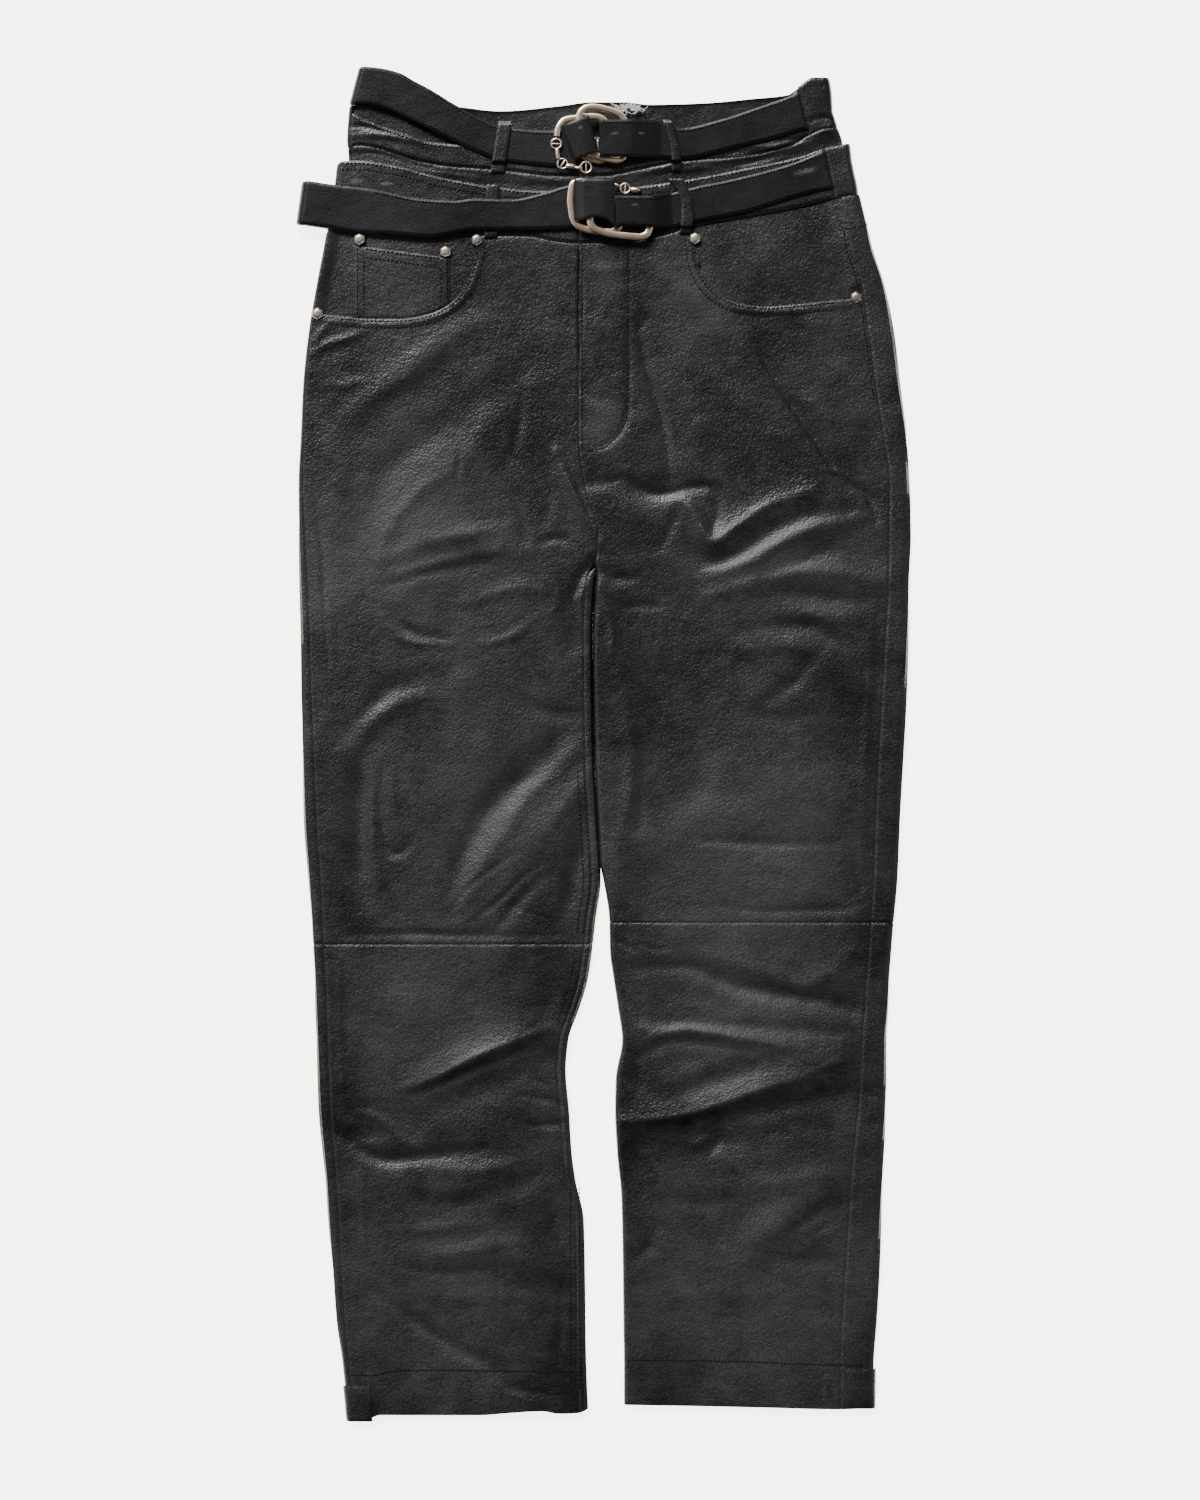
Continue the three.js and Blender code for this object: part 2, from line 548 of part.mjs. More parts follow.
const LEG_TOP_Y = 400;
const HEM_Y = -521;
const EXTRA_ROWS = [386, 355, 149, 142, 136, 129];
const CUTTER_HEIGHTS = [3, 30];
function legWalls(leg, hem) {
  const upperRows = rowsBetween(LEG_TOP_Y, leg.kneeY, ROW_SPACING, EXTRA_ROWS);
  const lowerRows = rowsBetween(leg.kneeY - SEAM_GAP, HEM_Y, ROW_SPACING);
  const upper = ledEdges(upperRows, (x) => lowerBottom(x) - CURVED_SEAM_GAP, null);
  const upperBack = ledEdges(upperRows, (x) => lowerBottom(x) - BACK_SEAM_GAP, null);
  const lower = ledEdges(lowerRows, null, hem);
  const scoop = leg.side === 'left' ? LEFT_SCOOP : RIGHT_SCOOP;
  const cutter = prism(scoopOutline(scoop, -leg.sign, 0), ...CUTTER_HEIGHTS);
  const frontSolid = toManifold(tubeWall(leg, frontRoute(leg), upper)).subtract(cutter);
  add(`thigh_front_${leg.side}`, fromManifold(frontSolid), 'leather');
  add(`thigh_back_${leg.side}`, tubeWall(leg, backRoute(leg), upperBack), 'leather');
  add(`shin_front_${leg.side}`, tubeWall(leg, frontRoute(leg), lower), 'leather');
  add(`shin_back_${leg.side}`, tubeWall(leg, backRoute(leg), lower), 'leather');
}
legWalls(leftLeg, leftHem);
legWalls(rightLeg, rightHem);

// A wall between a low and a high face, over a grid of places given by point(u, v).
function patch(point, across, along, high, thick) {
  const outer = [];
  const inner = [];
  for (let r = 0; r <= along; r += 1) {
    const places = Array.from({ length: across + 1 }, (_, c) => point(c / across, r / along));
    outer.push(places.map(([x, y]) => new THREE.Vector3(x, y, high(x, y))));
    inner.push(places.map(([x, y]) => new THREE.Vector3(x, y, high(x, y) - thick)));
  }
  return gridSolid(outer, inner);
}

// Pocket facings lie under the scoops and rise to the side seam.
const FACING_DROP = LEATHER_WALL + SEAM_GAP;
const FACING_PAST_SCOOP = 15;
const FACING_TOP_Y = { left: 398, right: 424 };
const LEFT_FACING = { scoopX: -100, lowY: 320, fromSide: 4.6 };
const RIGHT_FACING = { scoopX: 70, lowY: 330 };
const rightScoopLine = curve(RIGHT_SCOOP.slice(2));
const frontLevel = (leg) => (x, y) => leg.top(leg.sign * x, y);
const leftFacingLevel = (x, y) => frontLevel(leftLeg)(x, y) - FACING_DROP;
const rightFacingLevel = (x, y) => {
  const fromSeam = -x - rightLeg.seam(y);
  const aboveScoop = y - rightScoopLine(x);
  const sunk = Math.max(smooth(0, 13, fromSeam), smooth(14, 6, aboveScoop));
  return frontLevel(rightLeg)(x, y) - FACING_DROP * sunk;
};
function facing(leg, own, level, startGap) {
  const side = leg.sign;
  const endX = side * own.scoopX + FACING_PAST_SCOOP;
  const point = (u, v) => {
    const topX = mix(startGap(FACING_TOP_Y[leg.side]), endX, u);
    const y = mix(own.lowY, lowerBottom(side * topX) - CURVED_SEAM_GAP, v);
    return [side * mix(startGap(y), endX, u), y];
  };
  return patch(point, 8, 6, level, FACING_WALL);
}
const leftFacingStart = (y) => leftLeg.outer(y) + LEFT_FACING.fromSide;
const rightFacingStart = (y) => rightLeg.seam(y) + CURVED_SEAM_GAP;
add('pocket_facing_left', facing(leftLeg, LEFT_FACING, leftFacingLevel, leftFacingStart), 'leather');
add('pocket_facing_right', facing(rightLeg, RIGHT_FACING, rightFacingLevel, rightFacingStart), 'leather');

// The coin pocket on the left facing, held inside the mouth of the scoop.
const COIN_WALL = 1.2;
const COIN = { left: -194.5, right: -120, topLeft: 389, topRight: 379.5, low: 322 };
const coinLevel = (x, y) => leftFacingLevel(x, y) + SEAM_GAP + COIN_WALL;
const coinPatch = patch((u, v) => [
  mix(COIN.left, COIN.right, u),
  mix(COIN.low, mix(COIN.topLeft, COIN.topRight, u), v),
], 5, 4, coinLevel, COIN_WALL);
const mouth = prism(scoopOutline(LEFT_SCOOP, -1, 0.4), 2, 30);
add('coin_pocket', fromManifold(toManifold(coinPatch).intersect(mouth)), 'leather');

// The fly facing bridges the centre edge from behind.
const FLY_DROP = 0.9;
const FLY = { left: -27, right: 17.5, top: 388, turn: 258, low: 234 };
const flyLevel = (x, y) => frontLevel(x < -19.5 ? leftLeg : rightLeg)(x, y) - LEATHER_WALL - FLY_DROP;
const flyPoint = (u, v) => {
  const y = mix(FLY.low, FLY.top, v);
  const round = smooth(FLY.low, FLY.turn, y);
  return [mix(FLY.left, mix(-8, FLY.right, Math.sqrt(round)), u), y];
};
add('fly_facing', patch(flyPoint, 4, 7, flyLevel, FACING_WALL), 'leather');

// Waist pieces.
const CENTRE_X = -19.5;
const SIDE_SEAM_IN = 2.6;
const SIDE_PIECE_UNDER = 34;
const LOWER_SIDE_SEAM = curve([[400, 187.5], [429, 180], [446.6, 175.5], [466, 171]]);
const UPPER_SIDE_SEAM = curve([[476, 160.7], [485, 157.5], [499, 154.5], [514, 150.5]]);
const YOKE_SIDE_IN = 3;
function waistRoutes(seamX, withSide) {
  const leftStart = (sec) => sec.outer.distanceTo(sec.outer.at + SIDE_SEAM_IN);
  const rightStart = (sec) => sec.inner.distanceTo(sec.inner.at - YOKE_SIDE_IN);
  const underX = (sec) => sec.inner.at - SIDE_PIECE_UNDER;
  const rightTurn = (sec) => {
    const q = sec.inner.quarter;
    return [q, q * 0.66, q * 0.33, 0, -q * 0.33, -q * 0.66, -q].map(sec.inner.place);
  };
  return {
    frontLeft: (sec) => {
      const turn = turnIn(sec.outer, leftStart(sec) + HALF_GAP, 1);
      const end = CENTRE_X - HALF_GAP;
      return [...turn, ...between(sec, turn[2].x, end, 8, 1), flat(sec, end, 1)];
    },
    frontRight: (sec) => {
      const from = CENTRE_X + HALF_GAP;
      if (withSide) {
        const end = seamX(sec.y) - HALF_GAP;
        return [flat(sec, from, 1), ...between(sec, from, end, 8, 1), flat(sec, end, 1)];
      }
      const turn = turnIn(sec.inner, rightStart(sec) + HALF_GAP, 1).reverse();
      return [flat(sec, from, 1), ...between(sec, from, turn[0].x, 8, 1), ...turn];
    },
    side: (sec) => [
      flat(sec, seamX(sec.y) + HALF_GAP, 1),
      ...rightTurn(sec),
      flat(sec, underX(sec) + HALF_GAP, -1),
    ],
    back: (sec) => {
      const turn = turnIn(sec.outer, leftStart(sec) - HALF_GAP, -1);
      const from = turn[turn.length - 1].x;
      if (withSide) {
        const end = underX(sec) - HALF_GAP;
        return [...turn, ...between(sec, from, end, 10, -1), flat(sec, end, -1)];
      }
      const round = turnIn(sec.inner, rightStart(sec) - HALF_GAP, -1).reverse();
      return [...turn, ...between(sec, from, round[0].x, 10, -1), ...round];
    },
  };
}
const lowerRoutes = waistRoutes(LOWER_SIDE_SEAM, true);
const upperRoutes = waistRoutes(UPPER_SIDE_SEAM, true);
const yokeRoutes = waistRoutes(null, false);
const lowerEdges = bandEdges(lowerBottom, lowerTop, 3);
const upperFrontEdges = bandEdges(upperBottom, frontTop, 3);
const upperBackEdges = bandEdges(upperBottom, backTop, 4);
const yokeEdges = bandEdges((x) => lowerTop(x) - TUCK, (x) => upperBottom(x) - YOKE_SEAM_GAP, 3);
add('waistband_lower_front_left', bandWall(lowerBand, lowerRoutes.frontLeft, lowerEdges), 'leather');
add('waistband_lower_front_right', bandWall(lowerBand, lowerRoutes.frontRight, lowerEdges), 'leather');
add('waistband_lower_side', bandWall(lowerBand, lowerRoutes.side, lowerEdges), 'leather');
add('waistband_lower_back', bandWall(lowerBand, lowerRoutes.back, lowerEdges), 'leather');
add('yoke_front_left', bandWall(upperBand, yokeRoutes.frontLeft, yokeEdges), 'leather');
add('yoke_front_right', bandWall(upperBand, yokeRoutes.frontRight, yokeEdges), 'leather');
add('yoke_back', bandWall(upperBand, yokeRoutes.back, yokeEdges), 'leather');
add('waistband_upper_front_left', bandWall(upperBand, upperRoutes.frontLeft, upperFrontEdges), 'leather');
add('waistband_upper_front_right', bandWall(upperBand, upperRoutes.frontRight, upperFrontEdges), 'leather');
add('waistband_upper_side', bandWall(upperBand, upperRoutes.side, upperBackEdges), 'leather');
add('waistband_upper_back', bandWall(upperBand, upperRoutes.back, upperBackEdges), 'leather');

// Belts: their long edges, and how their left ends fold round the side and end under the band.
const lowerBeltBase = (x, y) => torsoTop(x, y) + LOWER_BAND_LIFT + LAYER_GAP;
const upperBeltBase = (x, y) => torsoTop(x, y) - TUCK_DROP + TUCK_RECOVER + LAYER_GAP;
function foldedBelt(belt, base) {
  const columns = [];
  const topAt = (x, y) => base(x, y) + belt.lift + BELT_THICK;
  const edges = { low: curve(belt.low), high: curve(belt.high) };
  const foldX = (v) => mix(belt.fold.low, belt.fold.high, v);
  const r = topAt(foldX(0.5) + 6, edges.low(foldX(0))) / 2;
  const yAt = (x, v) => mix(edges.low(x), edges.high(x), v);
  const returned = (share, v) => {
    const x = mix(foldX(v) + r, foldX(v) + r + belt.back.length, share);
    return { x, y: yAt(foldX(v) + r, v) - belt.back.fall * share, z: 0, nx: 0, nz: -1 };
  };
  for (const share of [1, 0.5]) columns.push((v) => returned(share, v));
  for (const turn of [-90, -60, -30, 0, 30, 60, 90]) {
    const a = (turn * Math.PI) / 180;
    columns.push((v) => {
      const x = foldX(v) + r;
      const [c, h] = [Math.cos(a), Math.sin(a)];
      return { x: x - r * c, y: yAt(x, v), z: r + r * h, nx: -c, nz: h };
    });
  }
  for (let k = 1; k <= belt.steps; k += 1) {
    columns.push((v) => {
      const f = k / belt.steps;
      const x = mix(foldX(v) + r, belt.end, f);
      const y = yAt(x, v);
      const settled = mix(2 * r, topAt(x, y), smooth(0, 0.25, f));
      return { x, y, z: settled, nx: 0, nz: 1 };
    });
  }
  const rows = [0, 0.33, 0.67, 1];
  const outer = rows.map((v) => columns.map((at) => at(v)));
  const inwards = (p, depth) => new THREE.Vector3(p.x - depth * p.nx, p.y, p.z - depth * p.nz);
  return gridSolid(
    outer.map((row) => row.map((p) => inwards(p, 0))),
    outer.map((row) => row.map((p) => inwards(p, BELT_THICK))),
  );
}
const LOWER_LEFT_BELT = {
  low: [[-241, 406.5], [-214, 402.5], [-190.5, 399], [-159, 396.7], [-136, 395], [-116, 398], [-101, 400.5],
    [-58, 400.5], [-10, 403]],
  high: [[-241, 440], [-236, 439.5], [-210, 435.6], [-182.5, 432.5], [-143.5, 424.7], [-116, 423],
    [-101, 424.7], [-73, 424], [-46, 429.4], [-28, 434.8], [-10, 437]],
  fold: { low: -240.2, high: -235.6 },
  back: { length: 20, fall: 3 },
  end: -14,
  lift: 1.6,
  steps: 12,
};
const UPPER_LEFT_BELT = {
  low: [[-200, 496.5], [-194, 499], [-187, 499.2], [-176, 497.3], [-163, 492.6], [-143.5, 483.2],
    [-120, 471.5], [-89, 457.5], [-77, 454.3], [-38, 450], [-15, 448]],
  high: [[-192, 528.4], [-185, 528], [-175, 527], [-159, 523], [-148, 516.8], [-136, 510.5], [-115.5, 498],
    [-95, 487], [-77, 480.5], [-40.5, 478], [-15, 478]],
  fold: { low: -198.8, high: -191.2 },
  back: { length: 62, fall: 33 },
  end: -18,
  lift: 0,
  steps: 14,
};
add('belt_lower_left', foldedBelt(LOWER_LEFT_BELT, lowerBeltBase), 'belt');
add('belt_upper_left', foldedBelt(UPPER_LEFT_BELT, upperBeltBase), 'belt');

// Right belt parts run from the side seam to the buckle and rise over its bars.
function rightBelt(belt, base) {
  const low = curve(belt.low);
  const high = curve(belt.high);
  const point = (u, v) => {
    const x = mix(belt.from, mix(belt.seam.low, belt.seam.high, v), u);
    return [x, mix(low(x), high(x), v)];
  };
  const rise = curve(belt.rise);
  const level = (x, y) => base(x, y) + BELT_THICK + rise(x);
  return patch(point, belt.steps, 3, level, BELT_THICK);
}
const UPPER_RIGHT_BELT = {
  low: [[-4, 456.5], [39, 456.7], [60, 456], [100, 464.5], [136, 473], [153, 478.5], [161, 480]],
  high: [[-4, 485.5], [39, 486], [48, 483.5], [60, 480], [92, 487], [123, 497.3], [141, 503.5], [152, 508]],
  from: -3.5,
  seam: { low: 159.2, high: 151.6 },
  rise: [[-4, 6.5], [21, 5.5], [29, 3.2], [44, 0]],
  steps: 20,
};
const LOWER_RIGHT_BELT = {
  low: [[8, 402], [38, 402], [56, 403], [71, 406.8], [108, 414], [153, 427.8], [181, 434.5]],
  high: [[8, 426], [38, 426], [56, 430], [71, 434], [100, 440], [145, 452], [172, 463]],
  from: 9,
  seam: { low: 178.8, high: 171.6 },
  rise: [[8, 8.5], [39, 7.1], [43, 4.8], [52, 0]],
  steps: 22,
};
add('belt_upper_right', rightBelt(UPPER_RIGHT_BELT, upperBeltBase), 'belt');
add('belt_lower_right', rightBelt(LOWER_RIGHT_BELT, lowerBeltBase), 'belt');

// Belt loops cross the belts on a raised bridge and lie down beyond their edges.
function loop(own, base) {
  const low = own.low;
  const stops = [0, own.upEnd, own.upTop, own.downTop, own.downEnd, 1];
  const raised = [0, 0, 1, 1, 0, 0];
  const left = curve(own.left);
  const right = curve(own.right);
  const outer = [];
  const inner = [];
  stops.forEach((f, k) => {
    const y = mix(own.high, low, f);
    const row = [left(y), mix(left(y), right(y), 0.5), right(y)];
    const z = (x) => base(x, y) + own.clear + raised[k] * own.bridge + LOOP_THICK;
    outer.push(row.map((x) => new THREE.Vector3(x, y, z(x))));
    inner.push(row.map((x) => new THREE.Vector3(x, y, z(x) - LOOP_THICK)));
  });
  return gridSolid(outer, inner);
}
const BRIDGE = BELT_THICK + LAYER_GAP;
const LOOPS = {
  belt_loop_upper_left: {
    high: 485.5, low: 445.5, left: [[485.5, -82], [445.5, -88.5]], right: [[485.5, -71.5], [445.5, -78]],
    upEnd: 0.04, upTop: 0.075, downTop: 0.79, downEnd: 0.85,
    bridge: BRIDGE, clear: 0.1, base: upperBeltBase,
  },
  belt_loop_upper_right: {
    high: 486.5, low: 447, left: [[447, 52.9], [461, 52.5], [471, 51], [486.5, 46]],
    right: [[447, 60], [461, 59.3], [471, 57.6], [486.5, 52.6]],
    upEnd: 0.03, upTop: 0.065, downTop: 0.8, downEnd: 0.87,
    bridge: BRIDGE, clear: 0.1, base: upperBeltBase,
  },
  belt_loop_lower_right: {
    high: 440.5, low: 398.5, left: [[396.5, 58], [404, 59.8], [420, 60.5], [431, 57.5], [440.5, 49.5]],
    right: [[396.5, 65.6], [404, 68.3], [412, 69.8], [423, 68.6], [440.5, 62]],
    upEnd: 0.12, upTop: 0.17, downTop: 0.88, downEnd: 0.935,
    bridge: BRIDGE, clear: 0.65, base: lowerBeltBase,
  },
};
for (const [name, own] of Object.entries(LOOPS)) add(name, loop(own, own.base), 'leather');
const HIDDEN_LOOP = { left: -93.5, right: -83.5, lean: 2, low: 395, high: 436, wall: 1.1 };
const hiddenLoopLevel = (x, y) => lowerBeltBase(x, y) + HIDDEN_LOOP.wall;
const hiddenLoopPoint = (u, v) => [
  mix(HIDDEN_LOOP.left, HIDDEN_LOOP.right, u) + HIDDEN_LOOP.lean * v,
  mix(HIDDEN_LOOP.low, HIDDEN_LOOP.high, v),
];
const hiddenLoop = patch(hiddenLoopPoint, 2, 5, hiddenLoopLevel, HIDDEN_LOOP.wall);
add('belt_loop_lower_left', hiddenLoop, 'leather');

// Buckle rails: a flattened bar along a rounded line on a tilted plane.
const RAIL_HIGH = 2.6;
const RAIL_CROWN = 1.08;
const RAIL_SIDES = 6;
function rail(own) {
  const points = own.path.map(([x, y]) => new THREE.Vector3(x, y, 0));
  const line = new THREE.CatmullRomCurve3(points, own.closed, 'centripetal');
  const count = own.steps;
  const around = RAIL_SIDES;
  const rings = [];
  const total = own.closed ? count : count + 1;
  for (let k = 0; k < total; k += 1) {
    const p = line.getPointAt(k / count);
    const t = line.getTangentAt(k / count);
    const n = new THREE.Vector3(-t.y, t.x, 0).normalize();
    const z = own.z + own.tilt * (p.x - own.path[0][0]) + RAIL_HIGH / 2;
    rings.push(Array.from({ length: around }, (_, j) => {
      const a = ((j + 0.5) / around) * Math.PI * 2;
      const high = z + (RAIL_HIGH / 2) * RAIL_CROWN * Math.sin(a);
      return p.clone().addScaledVector(n, (own.wide / 2) * Math.cos(a)).setZ(high);
    }));
  }
  const pos = rings.flat().flatMap((p) => [p.x, p.y, p.z]);
  const index = [];
  const at = (k, j) => (k % total) * around + (j % around);
  const last = own.closed ? total : total - 1;
  for (let k = 0; k < last; k += 1) {
    for (let j = 0; j < around; j += 1) {
      index.push(at(k, j), at(k, j + 1), at(k + 1, j + 1));
      index.push(at(k, j), at(k + 1, j + 1), at(k + 1, j));
    }
  }
  if (!own.closed) {
    for (let j = 1; j < around - 1; j += 1) {
      index.push(at(0, 0), at(0, j + 1), at(0, j));
      index.push(at(total - 1, 0), at(total - 1, j), at(total - 1, j + 1));
    }
  }
  return closedGeometry(pos, index);
}
const RAILS = {
  buckle_frame_upper_left: {
    path: [[-36.7, 473.2], [-36.3, 477], [-34.7, 481.7], [-31.2, 486], [-25.7, 487.1], [-14.8, 488.7],
      [-6.2, 489], [-1.6, 487.5], [1.2, 484.8], [2, 479], [2.3, 467.6], [1.6, 458.3], [-0.8, 454.5],
      [-4.7, 454], [-10.9, 455.9], [-16.4, 457.9]],
    closed: false, z: 11.6, tilt: -0.055, wide: 4.8, steps: 24,
  },
  buckle_frame_upper_right: {
    path: [[-19.5, 488.7], [-17.9, 492.6], [-14, 495.3], [-9.4, 495.9], [-3.1, 495.2], [6.2, 493], [12.5, 490.2],
      [16, 486.3], [17.2, 479.3], [17.6, 467.6], [16.8, 459.8], [13.7, 454.7], [9.4, 454.1], [1.6, 455.5],
      [-4.7, 457.5], [-11, 460.5], [-15.5, 468], [-18.3, 479]],
    closed: true, z: 13.7, tilt: -0.06, wide: 4.8, steps: 26,
  },
  buckle_frame_lower_left: {
    path: [[-10.9, 437.2], [-21.1, 437.6], [-25, 435.2], [-26.5, 423.2], [-24.6, 409.5], [-21.1, 403.3],
      [-12.5, 400.1], [-3.1, 399], [5.5, 401.3], [8.6, 409], [9.4, 423.2], [7, 434], [-1, 436.8]],
    closed: true, z: 13.5, tilt: -0.05, wide: 5.4, steps: 24,
  },
  buckle_frame_lower_right: {
    path: [[-10.5, 404], [-6.2, 400.1], [1.6, 397.4], [10.9, 395.9], [28.9, 394.5], [33.5, 396.3], [35.5, 401.3],
      [35.9, 413], [34.3, 422.4], [28, 425.5], [14, 426.3], [0, 424.7], [-7.8, 420], [-11, 412]],
    closed: true, z: 16.6, tilt: -0.055, wide: 5.4, steps: 26,
  },
};
for (const [name, own] of Object.entries(RAILS)) add(name, rail(own), 'metal');

// The turned parts of the belts lie over the buckle bars.
const WRAP_THICK = 1.6;
const UPPER_WRAP = { low: [[-23.4, 453.6], [-4.6, 460.6]], high: [[-33.5, 480.9], [-11.7, 488.7]] };
const UPPER_WRAP_UNDER = curve([[0, 14.7], [0.3, 16.8], [0.6, 17.2], [1, 16.4]]);
const LOWER_WRAP_LOW = curve([[-23.4, 407.5], [-17.2, 406.8], [-7.8, 409.1], [3.1, 406.8], [8.6, 401]]);
const LOWER_WRAP_UNDER = curve([[-23.4, 17.5], [-15, 19.7], [-3, 19.8], [8.6, 19]]);
function corner(rows, u) {
  return [mix(rows[0][0], rows[1][0], u), mix(rows[0][1], rows[1][1], u)];
}
const upperWrap = patch((u, v) => {
  const low = corner(UPPER_WRAP.low, u);
  const high = corner(UPPER_WRAP.high, u);
  return [mix(low[0], high[0], v), mix(low[1], high[1], v)];
}, 7, 3, () => 0, WRAP_THICK);
liftByColumn(upperWrap, 8, 4, UPPER_WRAP_UNDER);
function liftByColumn(geometry, across, along, under) {
  const position = geometry.getAttribute('position');
  for (let k = 0; k < position.count; k += 1) {
    const share = (k % across) / (across - 1);
    const layer = k < across * along ? WRAP_THICK : 0;
    position.setZ(k, under(share) + layer);
  }
}
add('belt_upper_turn', upperWrap, 'belt');
const lowerWrapHigh = 438.8;
add('belt_lower_turn', patch((u, v) => {
  const x = mix(-23.4, 8.6, u);
  return [x, mix(LOWER_WRAP_LOW(x), lowerWrapHigh, v)];
}, 8, 3, (x) => LOWER_WRAP_UNDER(x) + WRAP_THICK, WRAP_THICK), 'belt');

// Chains: round links with a bar alternate with links seen on edge.
const LINK_TUBE = 0.95;
function linkSolid({ x, y, z, radius, bar }) {
  const ring = new THREE.TorusGeometry(radius, LINK_TUBE, 5, 12);
  ring.translate(x, y, z);
  const rod = new THREE.CylinderGeometry(0.75, 0.75, 2 * radius, 5);
  rod.rotateZ((bar * Math.PI) / 180 - Math.PI / 2);
  rod.translate(x, y, z);
  return toManifold(ring).add(toManifold(rod));
}
function beadSolid({ x, y, z, long, wide, turn }) {
  const bead = new THREE.SphereGeometry(0.5, 8, 5);
  bead.scale(long, wide, wide);
  bead.rotateZ((turn * Math.PI) / 180);
  bead.translate(x, y, z);
  return toManifold(bead);
}
const UPPER_CHAIN_Z = 13.6;
const UPPER_CHAIN = {
  links: [
    { x: -37.1, y: 467.3, z: UPPER_CHAIN_Z, radius: 3.9, bar: 0 },
    { x: -32.3, y: 451.8, z: UPPER_CHAIN_Z, radius: 3.9, bar: 55 },
    { x: -14, y: 449, z: UPPER_CHAIN_Z, radius: 4.2, bar: 90 },
  ],
  beads: [
    { x: -36, y: 459.4, z: UPPER_CHAIN_Z, long: 10.5, wide: 4.4, turn: 97 },
    { x: -26, y: 449.7, z: UPPER_CHAIN_Z, long: 8.6, wide: 4.4, turn: -10 },
    { x: -20.2, y: 448.7, z: UPPER_CHAIN_Z, long: 7, wide: 2.6, turn: 0 },
  ],
};
const LOWER_CHAIN = {
  links: [{ x: 16.4, y: 432.8, z: 0, radius: 3.7, bar: 80 }],
  beads: [
    { x: 10.6, y: 435, z: 0, long: 6, wide: 2.6, turn: 155 },
    { x: 24.4, y: 431.6, z: 0, long: 9, wide: 4.6, turn: -5 },
  ],
};
function chain(own, shift) {
  const parts = [
    ...own.links.map((l) => linkSolid({ ...l, z: l.z + shift })),
    ...own.beads.map((b) => beadSolid({ ...b, z: b.z + shift })),
  ];
  return fromManifold(parts.reduce((all, next) => all.add(next)));
}
add('chain_upper', chain(UPPER_CHAIN, 0), 'metal');
const LOWER_CHAIN_FLOOR = 12.2;
add('chain_lower', chain(LOWER_CHAIN, LOWER_CHAIN_FLOOR), 'metal');

// Six-sided rivets at the pocket corners.
const RIVET_RADIUS = 4.8;
const RIVET_HIGH = 1.6;
const RIVETS = [
  { name: 'rivet_coin_left', x: -190.5, y: 393.6, over: LOWER_BAND_LIFT },
  { name: 'rivet_coin_right', x: -123.5, y: 384, over: 0 },
  { name: 'rivet_scoop_left_top', x: -99, y: 393, over: LOWER_BAND_LIFT },
  { name: 'rivet_scoop_left_side', x: -223.2, y: 336, over: 0 },
  { name: 'rivet_scoop_right_top', x: 71, y: 394.2, over: LOWER_BAND_LIFT },
  { name: 'rivet_scoop_right_side', x: 196.5, y: 348.5, over: 0 },
];
for (const own of RIVETS) {
  const geometry = new THREE.CylinderGeometry(RIVET_RADIUS * 0.86, RIVET_RADIUS, RIVET_HIGH, 6);
  geometry.rotateX(Math.PI / 2);
  const leg = own.x < 0 ? leftLeg : rightLeg;
  const seat = Math.max(frontLevel(leg)(own.x, own.y), torsoTop(own.x, own.y)) + own.over + 0.15;
  geometry.translate(own.x, own.y, seat + RIVET_HIGH / 2);
  add(own.name, mergeVertices(stripped(geometry), 1e-4), 'rivet');
}
function stripped(geometry) {
  for (const attribute of ['normal', 'uv']) geometry.deleteAttribute(attribute);
  return geometry;
}

// The turned ends of the hems at the outer corners.
const TAB_WALL = 1.2;
function hemTab(leg, width, low, high) {
  const grown = {
    ...leg,
    outer: (y) => leg.outer(y) - LAYER_GAP - TAB_WALL,
    top: (x, y) => leg.top(x, y) + LAYER_GAP + TAB_WALL,
    under: () => -LAYER_GAP - TAB_WALL,
  };
  const route = (sec) => {
    const q = sec.outer.quarter;
    const inward = flat(sec, sec.outer.at + width, 1);
    return [inward, ...[q, q * 0.66, q * 0.33, 0].map(sec.outer.place)];
  };
  return tubeWall(grown, route, { rows: [high, mix(high, low, 0.5), low], lead: (row) => row }, TAB_WALL);
}
add('hem_tab_left', hemTab(leftLeg, 21, -527.8, -500.5), 'leather');
add('hem_tab_right', hemTab(rightLeg, 27, -517.8, -487), 'leather');

export default group;
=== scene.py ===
"""Leather trousers with two buckled waist belts, laid flat and seen from straight above.

All sizes are in millimetres: +X is the wearer's left side, +Y runs from hem to waist and +Z is up.
The names of pieces say left and right as the camera sees them, which is the other way round.
"""

import logging
import math
from dataclasses import dataclass, field
from enum import Enum
from typing import Callable, Sequence

import bpy
import numpy as np
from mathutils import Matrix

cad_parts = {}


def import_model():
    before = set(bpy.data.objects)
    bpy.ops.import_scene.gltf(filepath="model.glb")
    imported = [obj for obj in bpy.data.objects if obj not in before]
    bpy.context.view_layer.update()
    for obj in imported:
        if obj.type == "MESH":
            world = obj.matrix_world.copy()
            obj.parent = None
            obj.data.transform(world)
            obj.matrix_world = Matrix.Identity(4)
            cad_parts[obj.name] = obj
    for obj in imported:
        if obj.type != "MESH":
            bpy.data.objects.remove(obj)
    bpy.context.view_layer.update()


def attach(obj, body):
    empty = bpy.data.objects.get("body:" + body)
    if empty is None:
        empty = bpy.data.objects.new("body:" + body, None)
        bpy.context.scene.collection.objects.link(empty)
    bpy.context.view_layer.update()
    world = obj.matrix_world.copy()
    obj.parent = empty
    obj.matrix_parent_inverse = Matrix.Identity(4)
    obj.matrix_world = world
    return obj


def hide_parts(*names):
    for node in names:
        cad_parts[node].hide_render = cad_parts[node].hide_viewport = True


LOG = logging.getLogger("trousers")
Array = np.ndarray
Height = Callable[[Array, Array], Array]
Edge = Callable[[Array], Array]
Rows = Sequence[tuple[float, float]]
Colour = tuple[float, float, float, float]
